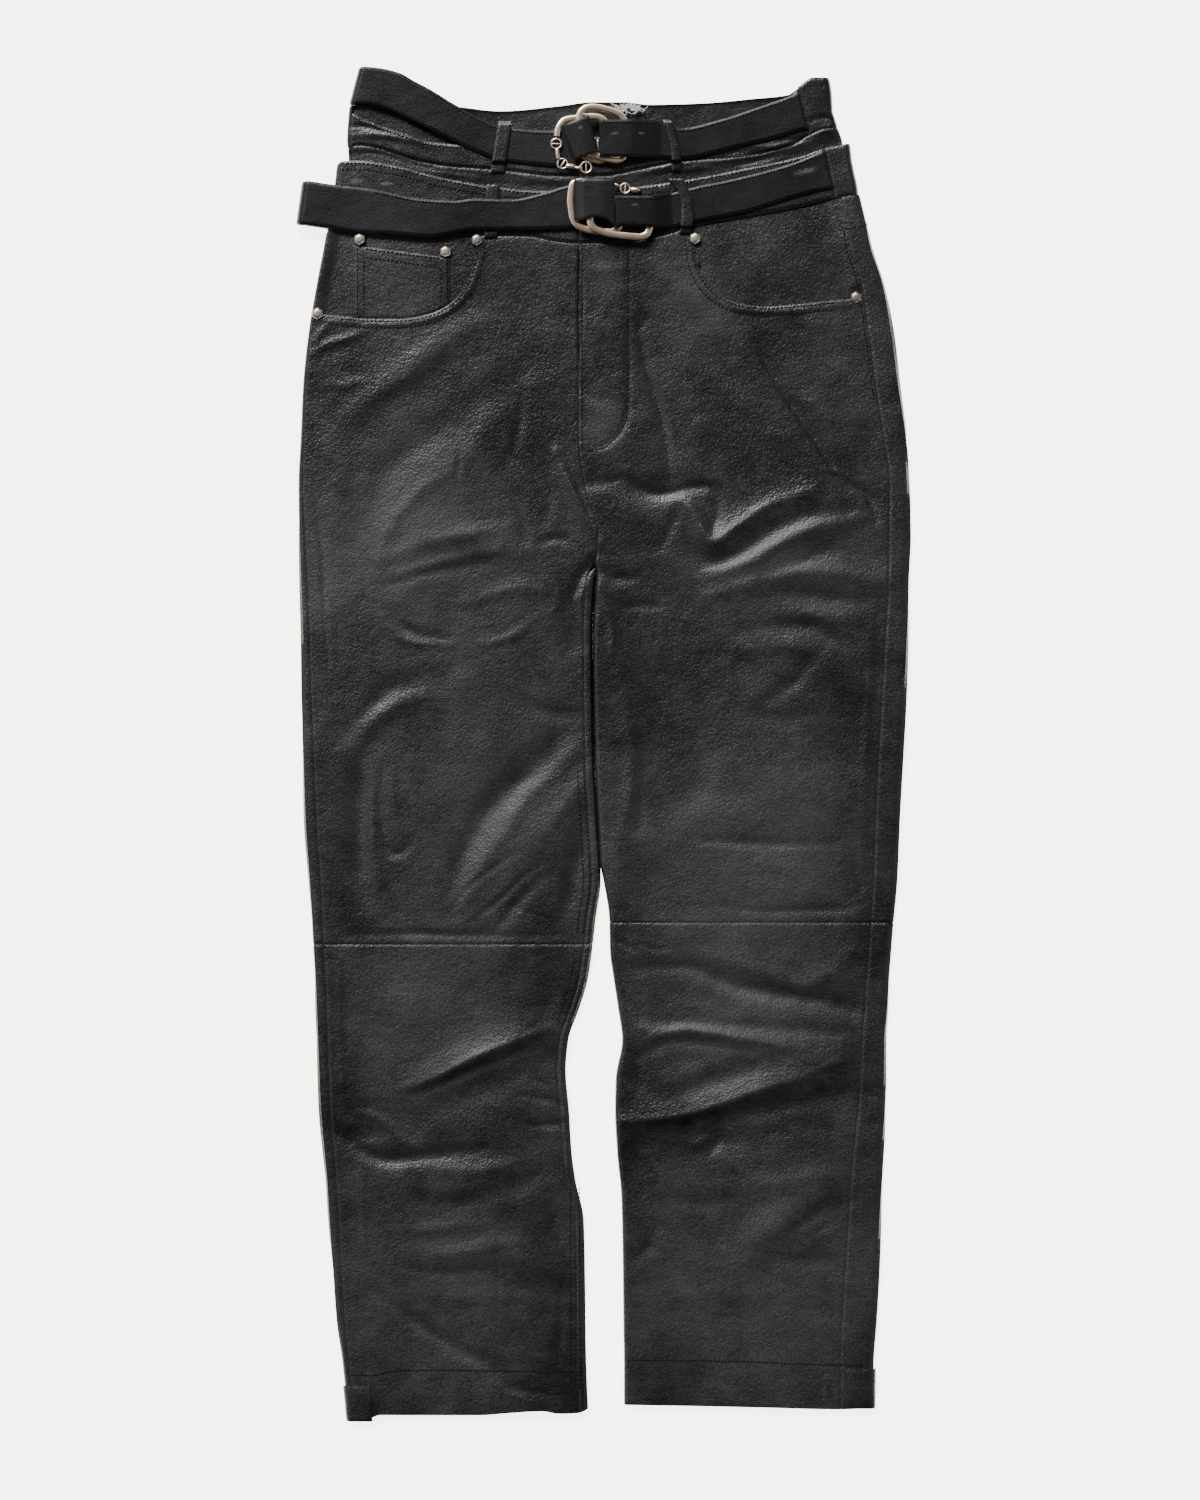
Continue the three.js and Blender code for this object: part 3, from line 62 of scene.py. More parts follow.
Ovals = Sequence[tuple[float, float, float, float, float]]

MM = 0.001
LEATHER_WALL = 1.7
FACING_WALL = 1.3
BELT_THICK = 2.0
LOOP_THICK = 1.5
LAYER_GAP = 0.4
PLATEAU = 6.6
TORSO_BULGE = 0.8
TORSO_BULGE_REACH = 110.0
LEG_BULGE = 0.8
WAIST_RISE = 1.6
EDGE_STEADY = 4.0
INSEAM_STRIP = 7.0
INSEAM_UNDER = 5.0
LOWER_BAND_LIFT = 0.5
TUCK = 8.0
TUCK_LIFTED = (2, 16)
TUCK_RISEN = (2, 14)
UPPER_RETURN_ACROSS = (-95, -125)
TUCK_DROP = LEATHER_WALL + LAYER_GAP - LOWER_BAND_LIFT
TUCK_RECOVER = 1.2
RETURN_CLEAR = BELT_THICK + LAYER_GAP
CENTRE_X = -19.5
FRONT_CELL = 1.9
BACK_CELL = 3.2
BAND_CELL = 1.5
BELT_CELL = 1.3
LEAST_CUT = 10.0
RIGHT_KNEE = -156.0
LEFT_KNEE = -139.0
CROTCH = (130, 148)
LEG_TO_TORSO = (60, 240)
HIDDEN_FADE = (385, 330)
WAIST_RISE_SPAN = (330, 395)
RETURN_ACROSS = (-168, -192)
RETURN_LOW = (380, 398)
RETURN_HIGH = (440, 452)
THIGH_BACK_TOP = 400.0
THIGH_FAN_BOTTOM = 296.0
HEM_LEVEL = -521.0
TOP_EASE = 75
HEM_EASE = 40
FRONT_WIDTH = 222
SHIN_WIDTH = 215
RELIEF_CORNER = (-250.0, -545.0)
RELIEF_SIZE = (500, 1090)
HIDDEN_SHARE = 0.45
HIDDEN_LEAST_WIDTH = 3.5
HIDDEN_SHIFT = (9, -14)
BELT_STITCH_IN = 2.3
EDGE_MARKS = (0, 0.5, 1.1, 1.9, 3.0)
EDGE_END = 4.4
UP = (0, 0, 1)
DOWN = (0, 0, -1)

# Leg sections from waist to hem: height along the leg, outer fold, side seam, inner fold.
RIGHT_OF_WEARER = (
    (410, -214.5, -211.8, -19.5), (389.5, -218.5, -216, -19.5), (358.5, -224.5, -222.2, -19.5),
    (319.5, -231, -228.5, -19.5), (280.5, -235, -232.5, -19.5), (241.5, -236.8, -234, -19.5),
    (202.5, -238.6, -235, -15), (163.5, -238.6, -233, -4.5), (124.5, -238, -231, -7),
    (85.5, -237, -229.5, -9), (34.5, -236.5, -228, -8.5), (-12, -235.5, -226, -7.5),
    (-59, -234.5, -224, -5), (-105.5, -231, -221, -2.5), (-137, -228.5, -219.5, -6.5),
    (-155.5, -227.5, -218.5, -8.5), (-183.5, -226, -217, -12.5), (-207, -225.5, -216, -19.5),
    (-230.5, -224.5, -215.5, -27.5), (-254, -224, -214.5, -29.5), (-285, -223, -213, -27),
    (-316.5, -220, -210.5, -25), (-339.5, -217.5, -208.5, -22), (-371, -215.5, -206.5, -15.5),
    (-410, -212, -204.5, -14.5), (-449, -209, -202, -14), (-480, -204.5, -199, -13.5),
    (-530, -199.5, -193.5, -11.5),
)
LEFT_OF_WEARER = (
    (432, 199, 184, -19.6), (403, 206, 189.5, -19.6), (389.5, 209, 191.5, -19.6),
    (358.5, 219, 201, -19.6), (319.5, 227, 207, -19.6), (280.5, 231.5, 212, -19.6),
    (241.5, 236.5, 218, -19.6), (202.5, 238.7, 223, -15.1), (163.5, 240.2, 222.5, -4.6),
    (124.5, 238.5, 222, -7.1), (85.5, 238, 220, -9.1), (34.5, 236.5, 217, -8.6), (-12, 234, 214.5, -7.6),
    (-59, 231.5, 212, -5.1), (-94, 230, 211, -3.0), (-105.5, 229.5, 210.5, -0.6), (-137, 226.5, 208.5, 4),
    (-160.5, 224.5, 207, 4.5), (-183.5, 223, 205, 7.5), (-207, 222, 203.5, 11),
    (-230.5, 220.5, 201.5, 14), (-261.5, 220.5, 200.5, 9), (-285, 220, 198.5, 8.5),
    (-316.5, 219, 195, 10), (-355.5, 217, 192, 13.5), (-402, 216, 189, 14.5),
    (-449, 213.5, 186, 15), (-483, 211, 184.5, 15.5), (-522, 210.5, 184.5, 15.5),
)
# Edges of the waist pieces, from the wearer's right side to the left.
BACK_TOP = (
    (-203, 496), (-192, 499.5), (-159, 499), (-115.5, 498), (-81, 495), (-34.5, 499), (-9.5, 502), (15, 502),
    (36, 500), (75, 501), (115.5, 504.5), (143.5, 507.5), (150.5, 512), (163, 520), (181, 520),
)
FRONT_TOP = (
    (-203, 493.5), (-196, 492), (-186, 487), (-159, 477.5), (-134, 469.5), (-105, 467.5),
    (-83.5, 471.5), (-41.5, 473), (36, 474.5), (67, 479.5), (106, 491), (143.5, 503.5),
    (150.5, 510.5), (163, 520), (181, 520),
)
UPPER_BOTTOM = (
    (-203, 463.5), (-192.5, 467), (-182.5, 466), (-143.5, 454.5), (-120, 450.5), (-85, 448),
    (-34.5, 443), (-3, 443), (28, 448), (61, 454.5), (106, 458), (146, 467), (160.5, 475.5),
    (172.5, 480), (190, 481.5),
)
LOWER_TOP = (
    (-212, 454.5), (-192.5, 455), (-163, 451), (-128, 442), (-81, 434), (-50, 431.5), (12.5, 433.5),
    (61, 439.5), (106, 448), (150.5, 457.5), (171.5, 464.5), (196, 469.5),
)
LOWER_BOTTOM = (
    (-220, 400), (-190.5, 398), (-143.5, 396.5), (-58.5, 396), (-40.5, 392.5), (-22, 390.5),
    (12.5, 391), (43.5, 396), (71, 404), (106, 410.5), (153, 419), (178.5, 425.5), (210, 431),
)
RIGHT_HEM = (
    (-210, -527.4), (-185, -526.5), (-174.5, -523), (-96.5, -523), (-75, -521.5), (-49, -520),
    (-34.5, -522), (-20.5, -521.5), (-8, -516),
)
LEFT_HEM = ((10, -515), (75, -516), (121.5, -517), (184, -518.5), (214, -517))
RIGHT_SCOOP = (
    (-100.5, 402), (-99.5, 392), (-101.5, 376.5), (-107, 360), (-118.5, 345), (-135.5, 336),
    (-159, 332), (-182.5, 332), (-206, 334), (-236, 337.5),
)
LEFT_SCOOP = (
    (70, 420), (70, 395), (72.5, 376.5), (79.5, 361), (92, 349), (107.5, 343.5), (125.5, 341.5),
    (153, 343.5), (180, 346.5), (222, 350),
)
LOWER_BAND_SIDES = (
    (395, -217, 208.5), (410, -214.5, 205), (424.5, -212, 199.8), (437, -210, 197.5),
    (451, -208.5, 194.5), (458, -204.5, 193.3), (471, -203, 192),
)
UPPER_BAND_SIDES = (
    (436, -198.5, 187.5), (460, -199.5, 186.5), (470, -200.5, 186), (480, -200.2, 183),
    (487, -199.6, 180.8), (495, -199, 178.5), (506, -198, 178), (521, -197, 175.8),
)
LOWER_SIDE_SEAM = ((400, 187.5), (429, 180), (446.6, 175.5), (466, 171))
UPPER_SIDE_SEAM = ((476, 160.7), (485, 157.5), (499, 154.5), (514, 150.5))

SCUFF_COLOUR = (0.075, 0.071, 0.069, 1)

# Folds of the top layer: height (negative is a trough), half width, and the line that each follows.
FOLDS = (
    (-1.3, 7, ((27, 326), (34, 291), (49, 237), (52, 209))),
    (-1.3, 8, ((122, 310), (136, 280), (177, 219), (206, 192))),
    (-1.5, 9, ((-6, 208), (30, 196), (72, 202), (88, 170))),
    (2.4, 11, ((62, 194), (75, 168), (86, 157), (109, 174), (159, 196))),
    (1.7, 12, ((91, 134), (118, 145), (168, 171), (190, 176))),
    (2.2, 12, ((87, 117), (127, 131), (172, 134), (216, 127))),
    (1.8, 27, ((-94, 238), (-138, 182), (-152, 122), (-132, 86))),
    (1.6, 13, ((-136, 165), (-100, 160), (-68, 150))),
    (-1.6, 22, ((-120, -90), (-75, -40), (-34, 4))),
    (1.6, 24, ((-80, -105), (-45, -65), (-15, -25))),
    (-1.2, 9, ((-190, 0), (-192, -60), (-194, -125))),
    (-1.6, 26, ((52, 144), (46, 40), (52, -106))),
    (3.2, 12, ((-144, -262), (-97, -242), (-58, -227))),
    (-1.6, 14, ((-150, -290), (-95, -268), (-48, -250))),
    (1.8, 18, ((-180, -345), (-110, -352), (-40, -338))),
    (1.5, 18, ((-175, -402), (-110, -398), (-45, -405))),
    (-1.6, 12, ((75, -168), (120, -192), (192, -207))),
    (2.2, 13, ((28, -227), (67, -223), (106, -229), (153, -238))),
    (3.4, 12, ((12, -297), (75, -285), (122, -266), (180, -246))),
    (-1.6, 14, ((36, -322), (110, -305), (186, -290))),
    (2, 15, ((98, -410), (140, -370), (176, -340))),
)

# Creases that show on the front, in the same columns; the folds above are the broad form under them.
CREASES = (
    # Wearer's right thigh.
    (-1, 2.2, ((-225, 187), (-222, 167), (-219, 144), (-218, 113), (-216, 89), (-214, 62))),
    (0.7, 2.4, ((-220, 113), (-217, 101), (-213, 82), (-212, 58))),
    (1.1, 9, ((-202, 253), (-175, 280), (-144, 304), (-120, 319), (-97, 331))),
    (0.9, 7, ((-179, 270), (-151, 288), (-116, 312))),
    (0.8, 3.5, ((-227, 304), (-218, 312), (-198, 317), (-186, 323))),
    (0.7, 2.6, ((-213, 330), (-220, 323), (-225, 314))),
    (0.6, 4, ((-214, 280), (-198, 280), (-184, 286))),
    (-1.1, 12, ((-202, 140), (-190, 175), (-159, 226), (-120, 249), (-66, 288))),
    (0.4, 7, ((-77, 261), (-97, 238), (-116, 218), (-144, 199), (-163, 175), (-175, 152), (-177, 128),
        (-172, 107))),
    (0.3, 4, ((-116, 213), (-136, 204), (-155, 187), (-170, 163), (-176, 140))),
    (-0.7, 2, ((-112, 231), (-115, 205))),
    (0.7, 5, ((-175, 144), (-144, 156), (-112, 163), (-69, 172))),
    (0.7, 4, ((-159, 132), (-128, 143), (-80, 152))),
    (-0.6, 4, ((-171, 124), (-136, 134), (-89, 142))),
    (0.7, 5, ((-108, 110), (-66, 124), (-48, 119))),
    (0.8, 3, ((-172, 99), (-163, 85), (-147, 78), (-119, 78))),
    (-0.8, 3.4, ((-169, 106), (-159, 93), (-144, 85), (-119, 82))),
    (0.8, 3.5, ((-98, 78), (-73, 82), (-56, 96))),
    (-0.7, 3.5, ((-64, 273), (-66, 245), (-73, 224))),
    (-1, 4.5, ((-70, 238), (-62, 222), (-50, 206), (-41, 191), (-46, 174))),
    (-0.9, 3.6, ((-82, 214), (-73, 199), (-64, 183), (-61, 158))),
    (1.9, 2.8, ((-38, 230), (-30, 211), (-23, 196), (-17, 182), (-4, 158))),
    (-1, 5, ((-46, 226), (-37, 199), (-25, 175), (-12, 156))),
    (-0.9, 3, ((-51, 156), (-41, 161), (-28, 160))),
    (0.8, 3, ((-46, 130), (-37, 122), (-34, 110), (-41, 103))),
    (-1.5, 4, ((-23, 119), (-17, 132), (-11, 140), (-4, 149))),
    (1, 3, ((-16, 102), (-19, 115), (-14, 125))),
    (-1.2, 9, ((-24, 114), (-26, 82), (-21, 53))),
    (-1.1, 8, ((-204, 2), (-186, 23), (-171, 41), (-151, 50), (-126, 50))),
    (1.2, 7, ((-199, -3), (-186, 14), (-167, 30), (-142, 38))),
    (-1.4, 8, ((-177, 0), (-188, -12), (-191, -43), (-189, -82), (-186, -113), (-177, -135))),
    (-1, 3.6, ((-172, -18), (-176, -43), (-173, -68), (-166, -87), (-155, -83), (-149, -73))),
    (0.8, 3.6, ((-165, -21), (-165, -43), (-160, -69))),
    (0.8, 4.5, ((-181, -39), (-182, -82), (-174, -110))),
    (-0.5, 1.6, ((-155, -46), (-144, -67), (-132, -90), (-124, -113), (-115, -127))),
    (-0.4, 1.5, ((-144, -31), (-136, -60))),
    (-0.4, 1.6, ((-141, -120), (-135, -138))),
    (-0.5, 1.7, ((-121, -131), (-108, -113), (-89, -98), (-64, -82))),
    (-0.6, 2.2, ((-106, -140), (-85, -125), (-66, -106), (-48, -92))),
    (-0.4, 1.5, ((-79, -124), (-58, -131), (-44, -136))),
    (-1.7, 9, ((-33, 5), (-50, -16), (-73, -32), (-93, -55), (-108, -82), (-116, -106), (-119, -128))),
    (1.3, 8, ((-17, 1), (-42, -24), (-66, -47), (-81, -74), (-97, -98), (-112, -125))),
    (0.6, 5, ((-10, -20), (-33, -51), (-49, -76))),
    (-1.2, 7, ((-12, -55), (-21, -90), (-27, -121), (-35, -142))),
    (-0.9, 4.5, ((-48, -104), (-69, -125), (-82, -142))),
    (-0.8, 6, ((-23, 23), (-50, 25), (-69, 36))),
    (-0.7, 2.6, ((-204, -149), (-159, -147), (-105, -149), (-30, -149))),
    (0.8, 9, ((-220, 238), (-202, 210), (-216, 181))),
    (0.6, 8, ((-223, 4), (-214, -24), (-206, -55))),
    # Wearer's left thigh.
    (-0.9, 2.1, ((27, 326), (29, 312), (34, 291), (43, 269), (49, 237), (52, 208))),
    (0.5, 3.5, ((31, 323), (38, 291), (47, 269), (53, 237), (56, 211))),
    (-1.2, 2.4, ((124, 303), (136, 280), (155, 252), (168, 234), (183, 209))),
    (0.5, 3, ((120, 298), (131, 277), (151, 248), (173, 214))),
    (-1.2, 2.8, ((183, 209), (192, 202), (204, 197), (210, 187), (213, 174))),
    (0.8, 2.4, ((173, 214), (181, 213), (187, 205))),
    (-0.5, 2, ((115, 320), (119, 308), (126, 299))),
    (1, 9, ((42, 372), (67, 347), (93, 320))),
    (0.9, 11, ((66, 270), (75, 245), (84, 226))),
    (0.5, 7, ((36, 317), (51, 284), (67, 249))),
    (-0.7, 9, ((67, 323), (90, 292), (126, 267))),
    (0.6, 7, ((142, 340), (179, 322))),
    (0.5, 5, ((129, 284), (153, 269), (179, 252))),
    (0.5, 5, ((119, 245), (149, 236))),
    (-1.0, 3.8, ((-16, 201), (0, 204), (16, 209), (30, 196), (46, 194), (73, 202), (86, 201), (90, 191),
        (88, 179), (85, 167))),
    (0.9, 3.4, ((61, 189), (67, 187), (73, 174), (80, 161), (86, 157), (94, 162), (109, 174), (127, 187),
        (145, 192), (165, 199))),
    (-1.5, 7, ((66, 169), (71, 152), (80, 142), (92, 142), (112, 152), (131, 167), (155, 179), (192, 180))),
    (-0.8, 4, ((60, 188), (55, 175), (44, 154))),
    (0.8, 4.5, ((77, 131), (91, 135), (118, 145), (145, 162), (168, 171), (201, 177))),
    (-0.9, 5.5, ((101, 128), (122, 131), (139, 136), (178, 152))),
    (0.7, 5, ((86, 117), (106, 124), (127, 131), (149, 136), (172, 135), (218, 127))),
    (-1, 5.5, ((136, 117), (161, 116), (184, 113), (206, 110))),
    (0.9, 5.5, ((136, 104), (161, 101), (197, 96))),
    (-0.9, 5.5, ((105, 87), (137, 93), (161, 93), (176, 82), (195, 77))),
    (0.8, 6.5, ((105, 73), (137, 78), (161, 74), (172, 60))),
    (-0.9, 5.5, ((120, 29), (141, 43), (157, 58), (170, 75))),
    (-0.8, 7, ((110, 25), (131, 21), (153, 19))),
    (-1.6, 13, ((19, 99), (36, 66), (55, 43), (67, 19), (79, -12), (75, -37), (59, -47))),
    (-1, 9, ((28, 161), (36, 128), (45, 110))),
    (-0.8, 3.6, ((15, 107), (32, 109), (46, 106))),
    (-1.2, 4.5, ((-4, 137), (9, 128), (28, 131))),
    (1.4, 2.8, ((-5, 124), (0, 109), (5, 99), (8, 85), (6, 71), (14, 59))),
    (1.2, 5.5, ((12, 53), (20, 19), (23, -20), (19, -51), (13, -70))),
    (-0.6, 4, ((29, -32), (28, -71))),
    (0.8, 5.5, ((8, -73), (13, -110))),
    (1.1, 17, ((97, 5), (122, -28), (168, -43), (201, -34))),
    (0.8, 13, ((81, -51), (122, -59), (172, -64))),
    (-0.8, 3.6, ((66, -74), (98, -76), (137, -78), (179, -77))),
    (0.7, 7, ((105, -89), (145, -96), (147, -112))),
    (-0.4, 1.6, ((128, -14), (145, -25), (154, -46))),
    (-0.3, 1.5, ((87, -81), (93, -109))),
    (-0.7, 2.8, ((187, -81), (196, -98), (202, -113), (192, -120))),
    (-0.7, 2.8, ((87, -125), (122, -131), (153, -129), (192, -129), (204, -121))),
    (0.5, 3, ((212, 124), (206, 35), (200, -113))),
    # Side piece's tail and the welts along the pocket mouths.
    (-0.9, 1.6, ((180, 431), (183.5, 416), (187.5, 400))),
    (0.55, 2.3, ((-96, 396), (-95, 388), (-97, 374.5), (-102.5, 357), (-115, 341), (-133.5, 331.5),
        (-159, 327.4), (-182.5, 327.4), (-206, 329.5), (-229, 332))),
    (0.55, 2.3, ((65.5, 396), (65.8, 388), (68.2, 375), (75.3, 358.8), (89, 345), (106, 339), (125.5, 336.8),
        (153, 338.8), (180, 341.8), (203, 344))),
    # Fly.
    (0.5, 4, ((-13, 370), (2, 369), (14, 372))),
    (0.6, 6, ((-14, 333), (2, 323), (12, 308))),
    (0.6, 5, ((-16, 270), (-3, 262), (2, 250))),
    (0.5, 3, ((-17, 233), (-6, 227), (6, 232))),
    (-0.8, 1.7, ((19, 391), (19, 323), (19, 262), (16, 249), (9, 239), (-2, 230), (-16, 229))),
    # Wearer's right shin.
    (1.2, 3.4, ((-157, -269), (-136, -262), (-116, -252), (-97, -242), (-77, -234), (-44, -222))),
    (-1.4, 4.5, ((-151, -273), (-128, -266), (-105, -254), (-81, -246), (-55, -236))),
    (-1.7, 5.5, ((-211, -301), (-198, -310), (-179, -323), (-159, -324), (-128, -320), (-93, -316))),
    (1, 3.6, ((-189, -287), (-171, -293), (-162, -305), (-150, -315))),
    (-1.1, 6.5, ((-204, -304), (-173, -305))),
    (1, 5.5, ((-130, -332), (-97, -333), (-71, -327))),
    (-1.2, 7.5, ((-169, -351), (-128, -359), (-97, -355), (-66, -344), (-40, -330))),
    (0.8, 5.5, ((-165, -379), (-128, -377), (-94, -374))),
    (0.7, 6, ((-137, -399), (-97, -394), (-71, -386))),
    (-0.6, 4.5, ((-161, -405), (-128, -414), (-79, -409))),
    (0.7, 6.5, ((-145, -425), (-120, -433), (-89, -429), (-48, -434))),
    (-1.2, 5.5, ((-185, -424), (-163, -437), (-144, -453), (-120, -468), (-97, -480), (-81, -488),
        (-63, -502))),
    (-0.6, 3, ((-83, -393), (-73, -408), (-63, -424))),
    (-1.5, 5.5, ((-43, -352), (-38, -379), (-30, -396), (-26, -429))),
    (1, 3.6, ((-62, -439), (-54, -464), (-44, -486))),
    (-0.7, 3, ((-34, -424), (-33, -457), (-37, -489))),
    (-0.8, 2.8, ((-63, -273), (-46, -277), (-29, -280))),
    (-0.8, 2.8, ((-60, -297), (-42, -297), (-27, -295))),
    (-0.5, 2, ((-45, -266), (-55, -259))),
    (-0.6, 2.8, ((-36, -306), (-28, -326))),
    (0.8, 2.4, ((-30, -213), (-31, -246), (-30, -277), (-26, -308), (-30, -337))),
    (-0.8, 7, ((-46, -166), (-41, -199), (-48, -225))),
    (-0.3, 1.5, ((-81, -351), (-83, -418), (-84, -514))),
    (0.3, 2, ((-207, -167), (-204, -281))),
    (0.3, 2, ((-189, -323), (-187, -397))),
    (0.8, 18, ((-202, -188), (-144, -207), (-77, -230))),
    (-0.8, 3.6, ((-87, -491), (-73, -503), (-44, -508))),
    (0.8, 1.6, ((-183, -489), (-179, -525))),
    # Wearer's left shin.
    (-0.6, 2.2, ((6, -151), (16, -156), (27, -161))),
    (-0.5, 2, ((28, -155), (37, -160), (50, -159))),
    (-1, 3.6, ((7, -170), (14, -188), (20, -203), (30, -213))),
    (0.6, 2, ((11, -177), (17, -193), (26, -202))),
    (-1.4, 5.5, ((27, -176), (59, -172), (75, -176), (98, -188), (129, -195), (168, -199), (194, -207))),
    (1.3, 7, ((73, -163), (106, -172), (129, -180), (153, -191), (176, -180), (193, -163))),
    (0.5, 4.5, ((58, -202), (86, -206))),
    (-1.2, 5.5, ((27, -215), (59, -217), (106, -219), (153, -223), (194, -227))),
    (1, 3.2, ((37, -227), (51, -224), (67, -221), (87, -225), (114, -230), (155, -237))),
    (-1.2, 4.5, ((27, -244), (51, -231), (75, -232), (116, -239))),
    (-1.2, 7.5, ((16, -225), (24, -246), (28, -266), (42, -275))),
    (1.1, 9, ((45, -271), (67, -254), (98, -245), (125, -241))),
    (1.2, 3.4, ((12, -294), (36, -293), (59, -291), (94, -280), (122, -269), (145, -263), (183, -248))),
    (-1.8, 8.5, ((27, -305), (67, -297), (106, -287), (145, -281), (184, -273), (210, -269))),
    (0.6, 2.2, ((183, -229), (190, -248))),
    (0.8, 3.6, ((62, -313), (75, -311), (82, -305))),
    (0.6, 2.8, ((90, -316), (98, -330))),
    (-0.6, 2.6, ((82, -319), (92, -308))),
    (1, 9.5, ((97, -344), (137, -344), (171, -335))),
    (-1.1, 5.5, ((136, -388), (153, -375), (168, -363), (186, -358))),
    (0.5, 4.5, ((151, -396), (176, -380), (190, -374))),
    (-0.8, 6.5, ((50, -355), (75, -359), (101, -355))),
    (-0.7, 5.5, ((120, -397), (153, -404), (179, -402))),
    (-0.8, 5.5, ((19, -404), (36, -394), (41, -377))),
    (0.6, 11, ((42, -435), (90, -425), (155, -430))),
    (0.6, 9, ((144, -448), (186, -457))),
    (0.6, 1.8, ((175, -491), (173, -514))),
)
# Creases of the upper band and the yoke, where no belt lies on them.
BAND_CREASES = (
    (-0.7, 2.0, ((78, 462), (92, 459), (104, 462), (118, 461))),
    (0.6, 2.2, ((84, 454), (100, 456), (114, 459), (130, 461))),
    (-0.6, 1.8, ((104, 452), (120, 455), (140, 461))),
    (0.6, 2.0, ((118, 466), (134, 465), (148, 470))),
    (-0.7, 2.2, ((140, 472), (152, 470), (163, 474))),
    (0.6, 2.4, ((165, 476), (175, 481), (184, 480))),
    (-0.6, 2.0, ((160, 486), (170, 489), (178, 487))),
    (0.5, 2.2, ((62, 447), (72, 450), (84, 449))),
    (-0.5, 2.0, ((30, 442), (48, 445), (60, 447))),
    (0.5, 2.6, ((-60, 440), (-20, 438), (20, 439))),
    (-0.6, 2.2, ((-195, 461), (-180, 462), (-160, 457), (-135, 449))),
    (0.5, 2.4, ((-150, 449), (-120, 444), (-88, 440))),
    (0.6, 2.4, ((-198, 474), (-182, 476), (-160, 473), (-135, 467))),
    (-0.6, 2.0, ((-197, 482), (-185, 482), (-172, 477))),
)


def mix(a: Array, b: Array, share: Array) -> Array:
    """The value that lies the given share of the way from a to b."""
    return a + (b - a) * share


def smooth(low: float, high: float, value: Array) -> Array:
    """An S-shaped step from 0 at low to 1 at high: 3f^2 - 2f^3 of the clamped share f."""
    f = np.clip((np.asarray(value, float) - low) / (high - low), 0, 1)
    return f * f * (3 - 2 * f)


class Profile:
    """A smooth line through rows of (at, value), which never swings past its rows.

    Each span is a cubic whose end slopes are the harmonic mean of the steps beside them.
    """

    def __init__(self, rows: Rows) -> None:
        """Sorts the rows and works out the slope at each of them.

        Args:
            rows: pairs of a place and the value there.
        """
        points = np.array(sorted(rows), float)
        self.at, self.value = points[:, 0], points[:, 1]
        steps = np.diff(self.value) / np.diff(self.at)
        before, after = np.r_[steps[:1], steps], np.r_[steps, steps[-1:]]
        total = np.where(before * after > 0, before + after, 1)
        self.slope = np.where(before * after > 0, 2 * before * after / total, 0)

    def __call__(self, at: Array) -> Array:
        """The line's value at each place.

        Args:
            at: the places.

        Returns:
            The values there.
        """
        place = np.clip(at, self.at[0], self.at[-1])
        k = np.clip(np.searchsorted(self.at, place, side="right") - 1, 0, len(self.at) - 2)
        span = self.at[k + 1] - self.at[k]
        f = (place - self.at[k]) / span
        keep, arrive = (1 + 2 * f) * (1 - f) ** 2, f * f * (3 - 2 * f)
        bend = self.slope[k] * f * (1 - f) ** 2 - self.slope[k + 1] * f * f * (1 - f)
        return self.value[k] * keep + self.value[k + 1] * arrive + span * bend


def columns(table: Sequence[Sequence[float]], count: int) -> list[Profile]:
    """One profile for each of the table's value columns, along its first column."""
    return [Profile([(row[0], row[c]) for row in table]) for c in range(1, count + 1)]


BACK_TOP_LINE = Profile(BACK_TOP)
FRONT_TOP_LINE = Profile(FRONT_TOP)
UPPER_BOTTOM_LINE = Profile(UPPER_BOTTOM)
LOWER_TOP_LINE = Profile(LOWER_TOP)
LOWER_BOTTOM_LINE = Profile(LOWER_BOTTOM)
LOWER_SIDES = columns(LOWER_BAND_SIDES, 2)
UPPER_SIDES = columns(UPPER_BAND_SIDES, 2)


def distances(line: Array) -> Array:
    """Distance along a line of points from its first point."""
    return np.r_[0, np.cumsum(np.hypot(*np.diff(line, axis=0).T))]


def curve(along: Array, line: Array, at: Array) -> Array:
    """Points of a smooth curve through a line, at distances along it.

    Args:
        along: the distance of each of the line's points.
        line: the points.
        at: the distances wanted.

    Returns:
        The points of the curve.
    """
    return np.stack([Profile(list(zip(along, line[:, c])))(at) for c in (0, 1)], -1)


def beside(edge: Edge, inset: float, across: Array) -> list[tuple[float, float]]:
    """Points beside an edge, moved along Y by the inset, at the given places across."""
    return [(x, float(edge(x)) + inset) for x in across]


def rounded(line: Array, times: int = 2) -> Array:
    """A line with its corners cut: each run takes the quarter points of every piece.

    Args:
        line: the line's points.
        times: how often its corners are cut.

    Returns:
        The new line's points.
    """
    for _ in range(times):
        near, far = mix(line[:-1], line[1:], 0.25), mix(line[:-1], line[1:], 0.75)
        cut = np.stack([near, far], 1).reshape(-1, 2)
        line = np.concatenate([line[:1], cut[1:-1], line[-1:]]) if len(line) > 2 else line
    return line


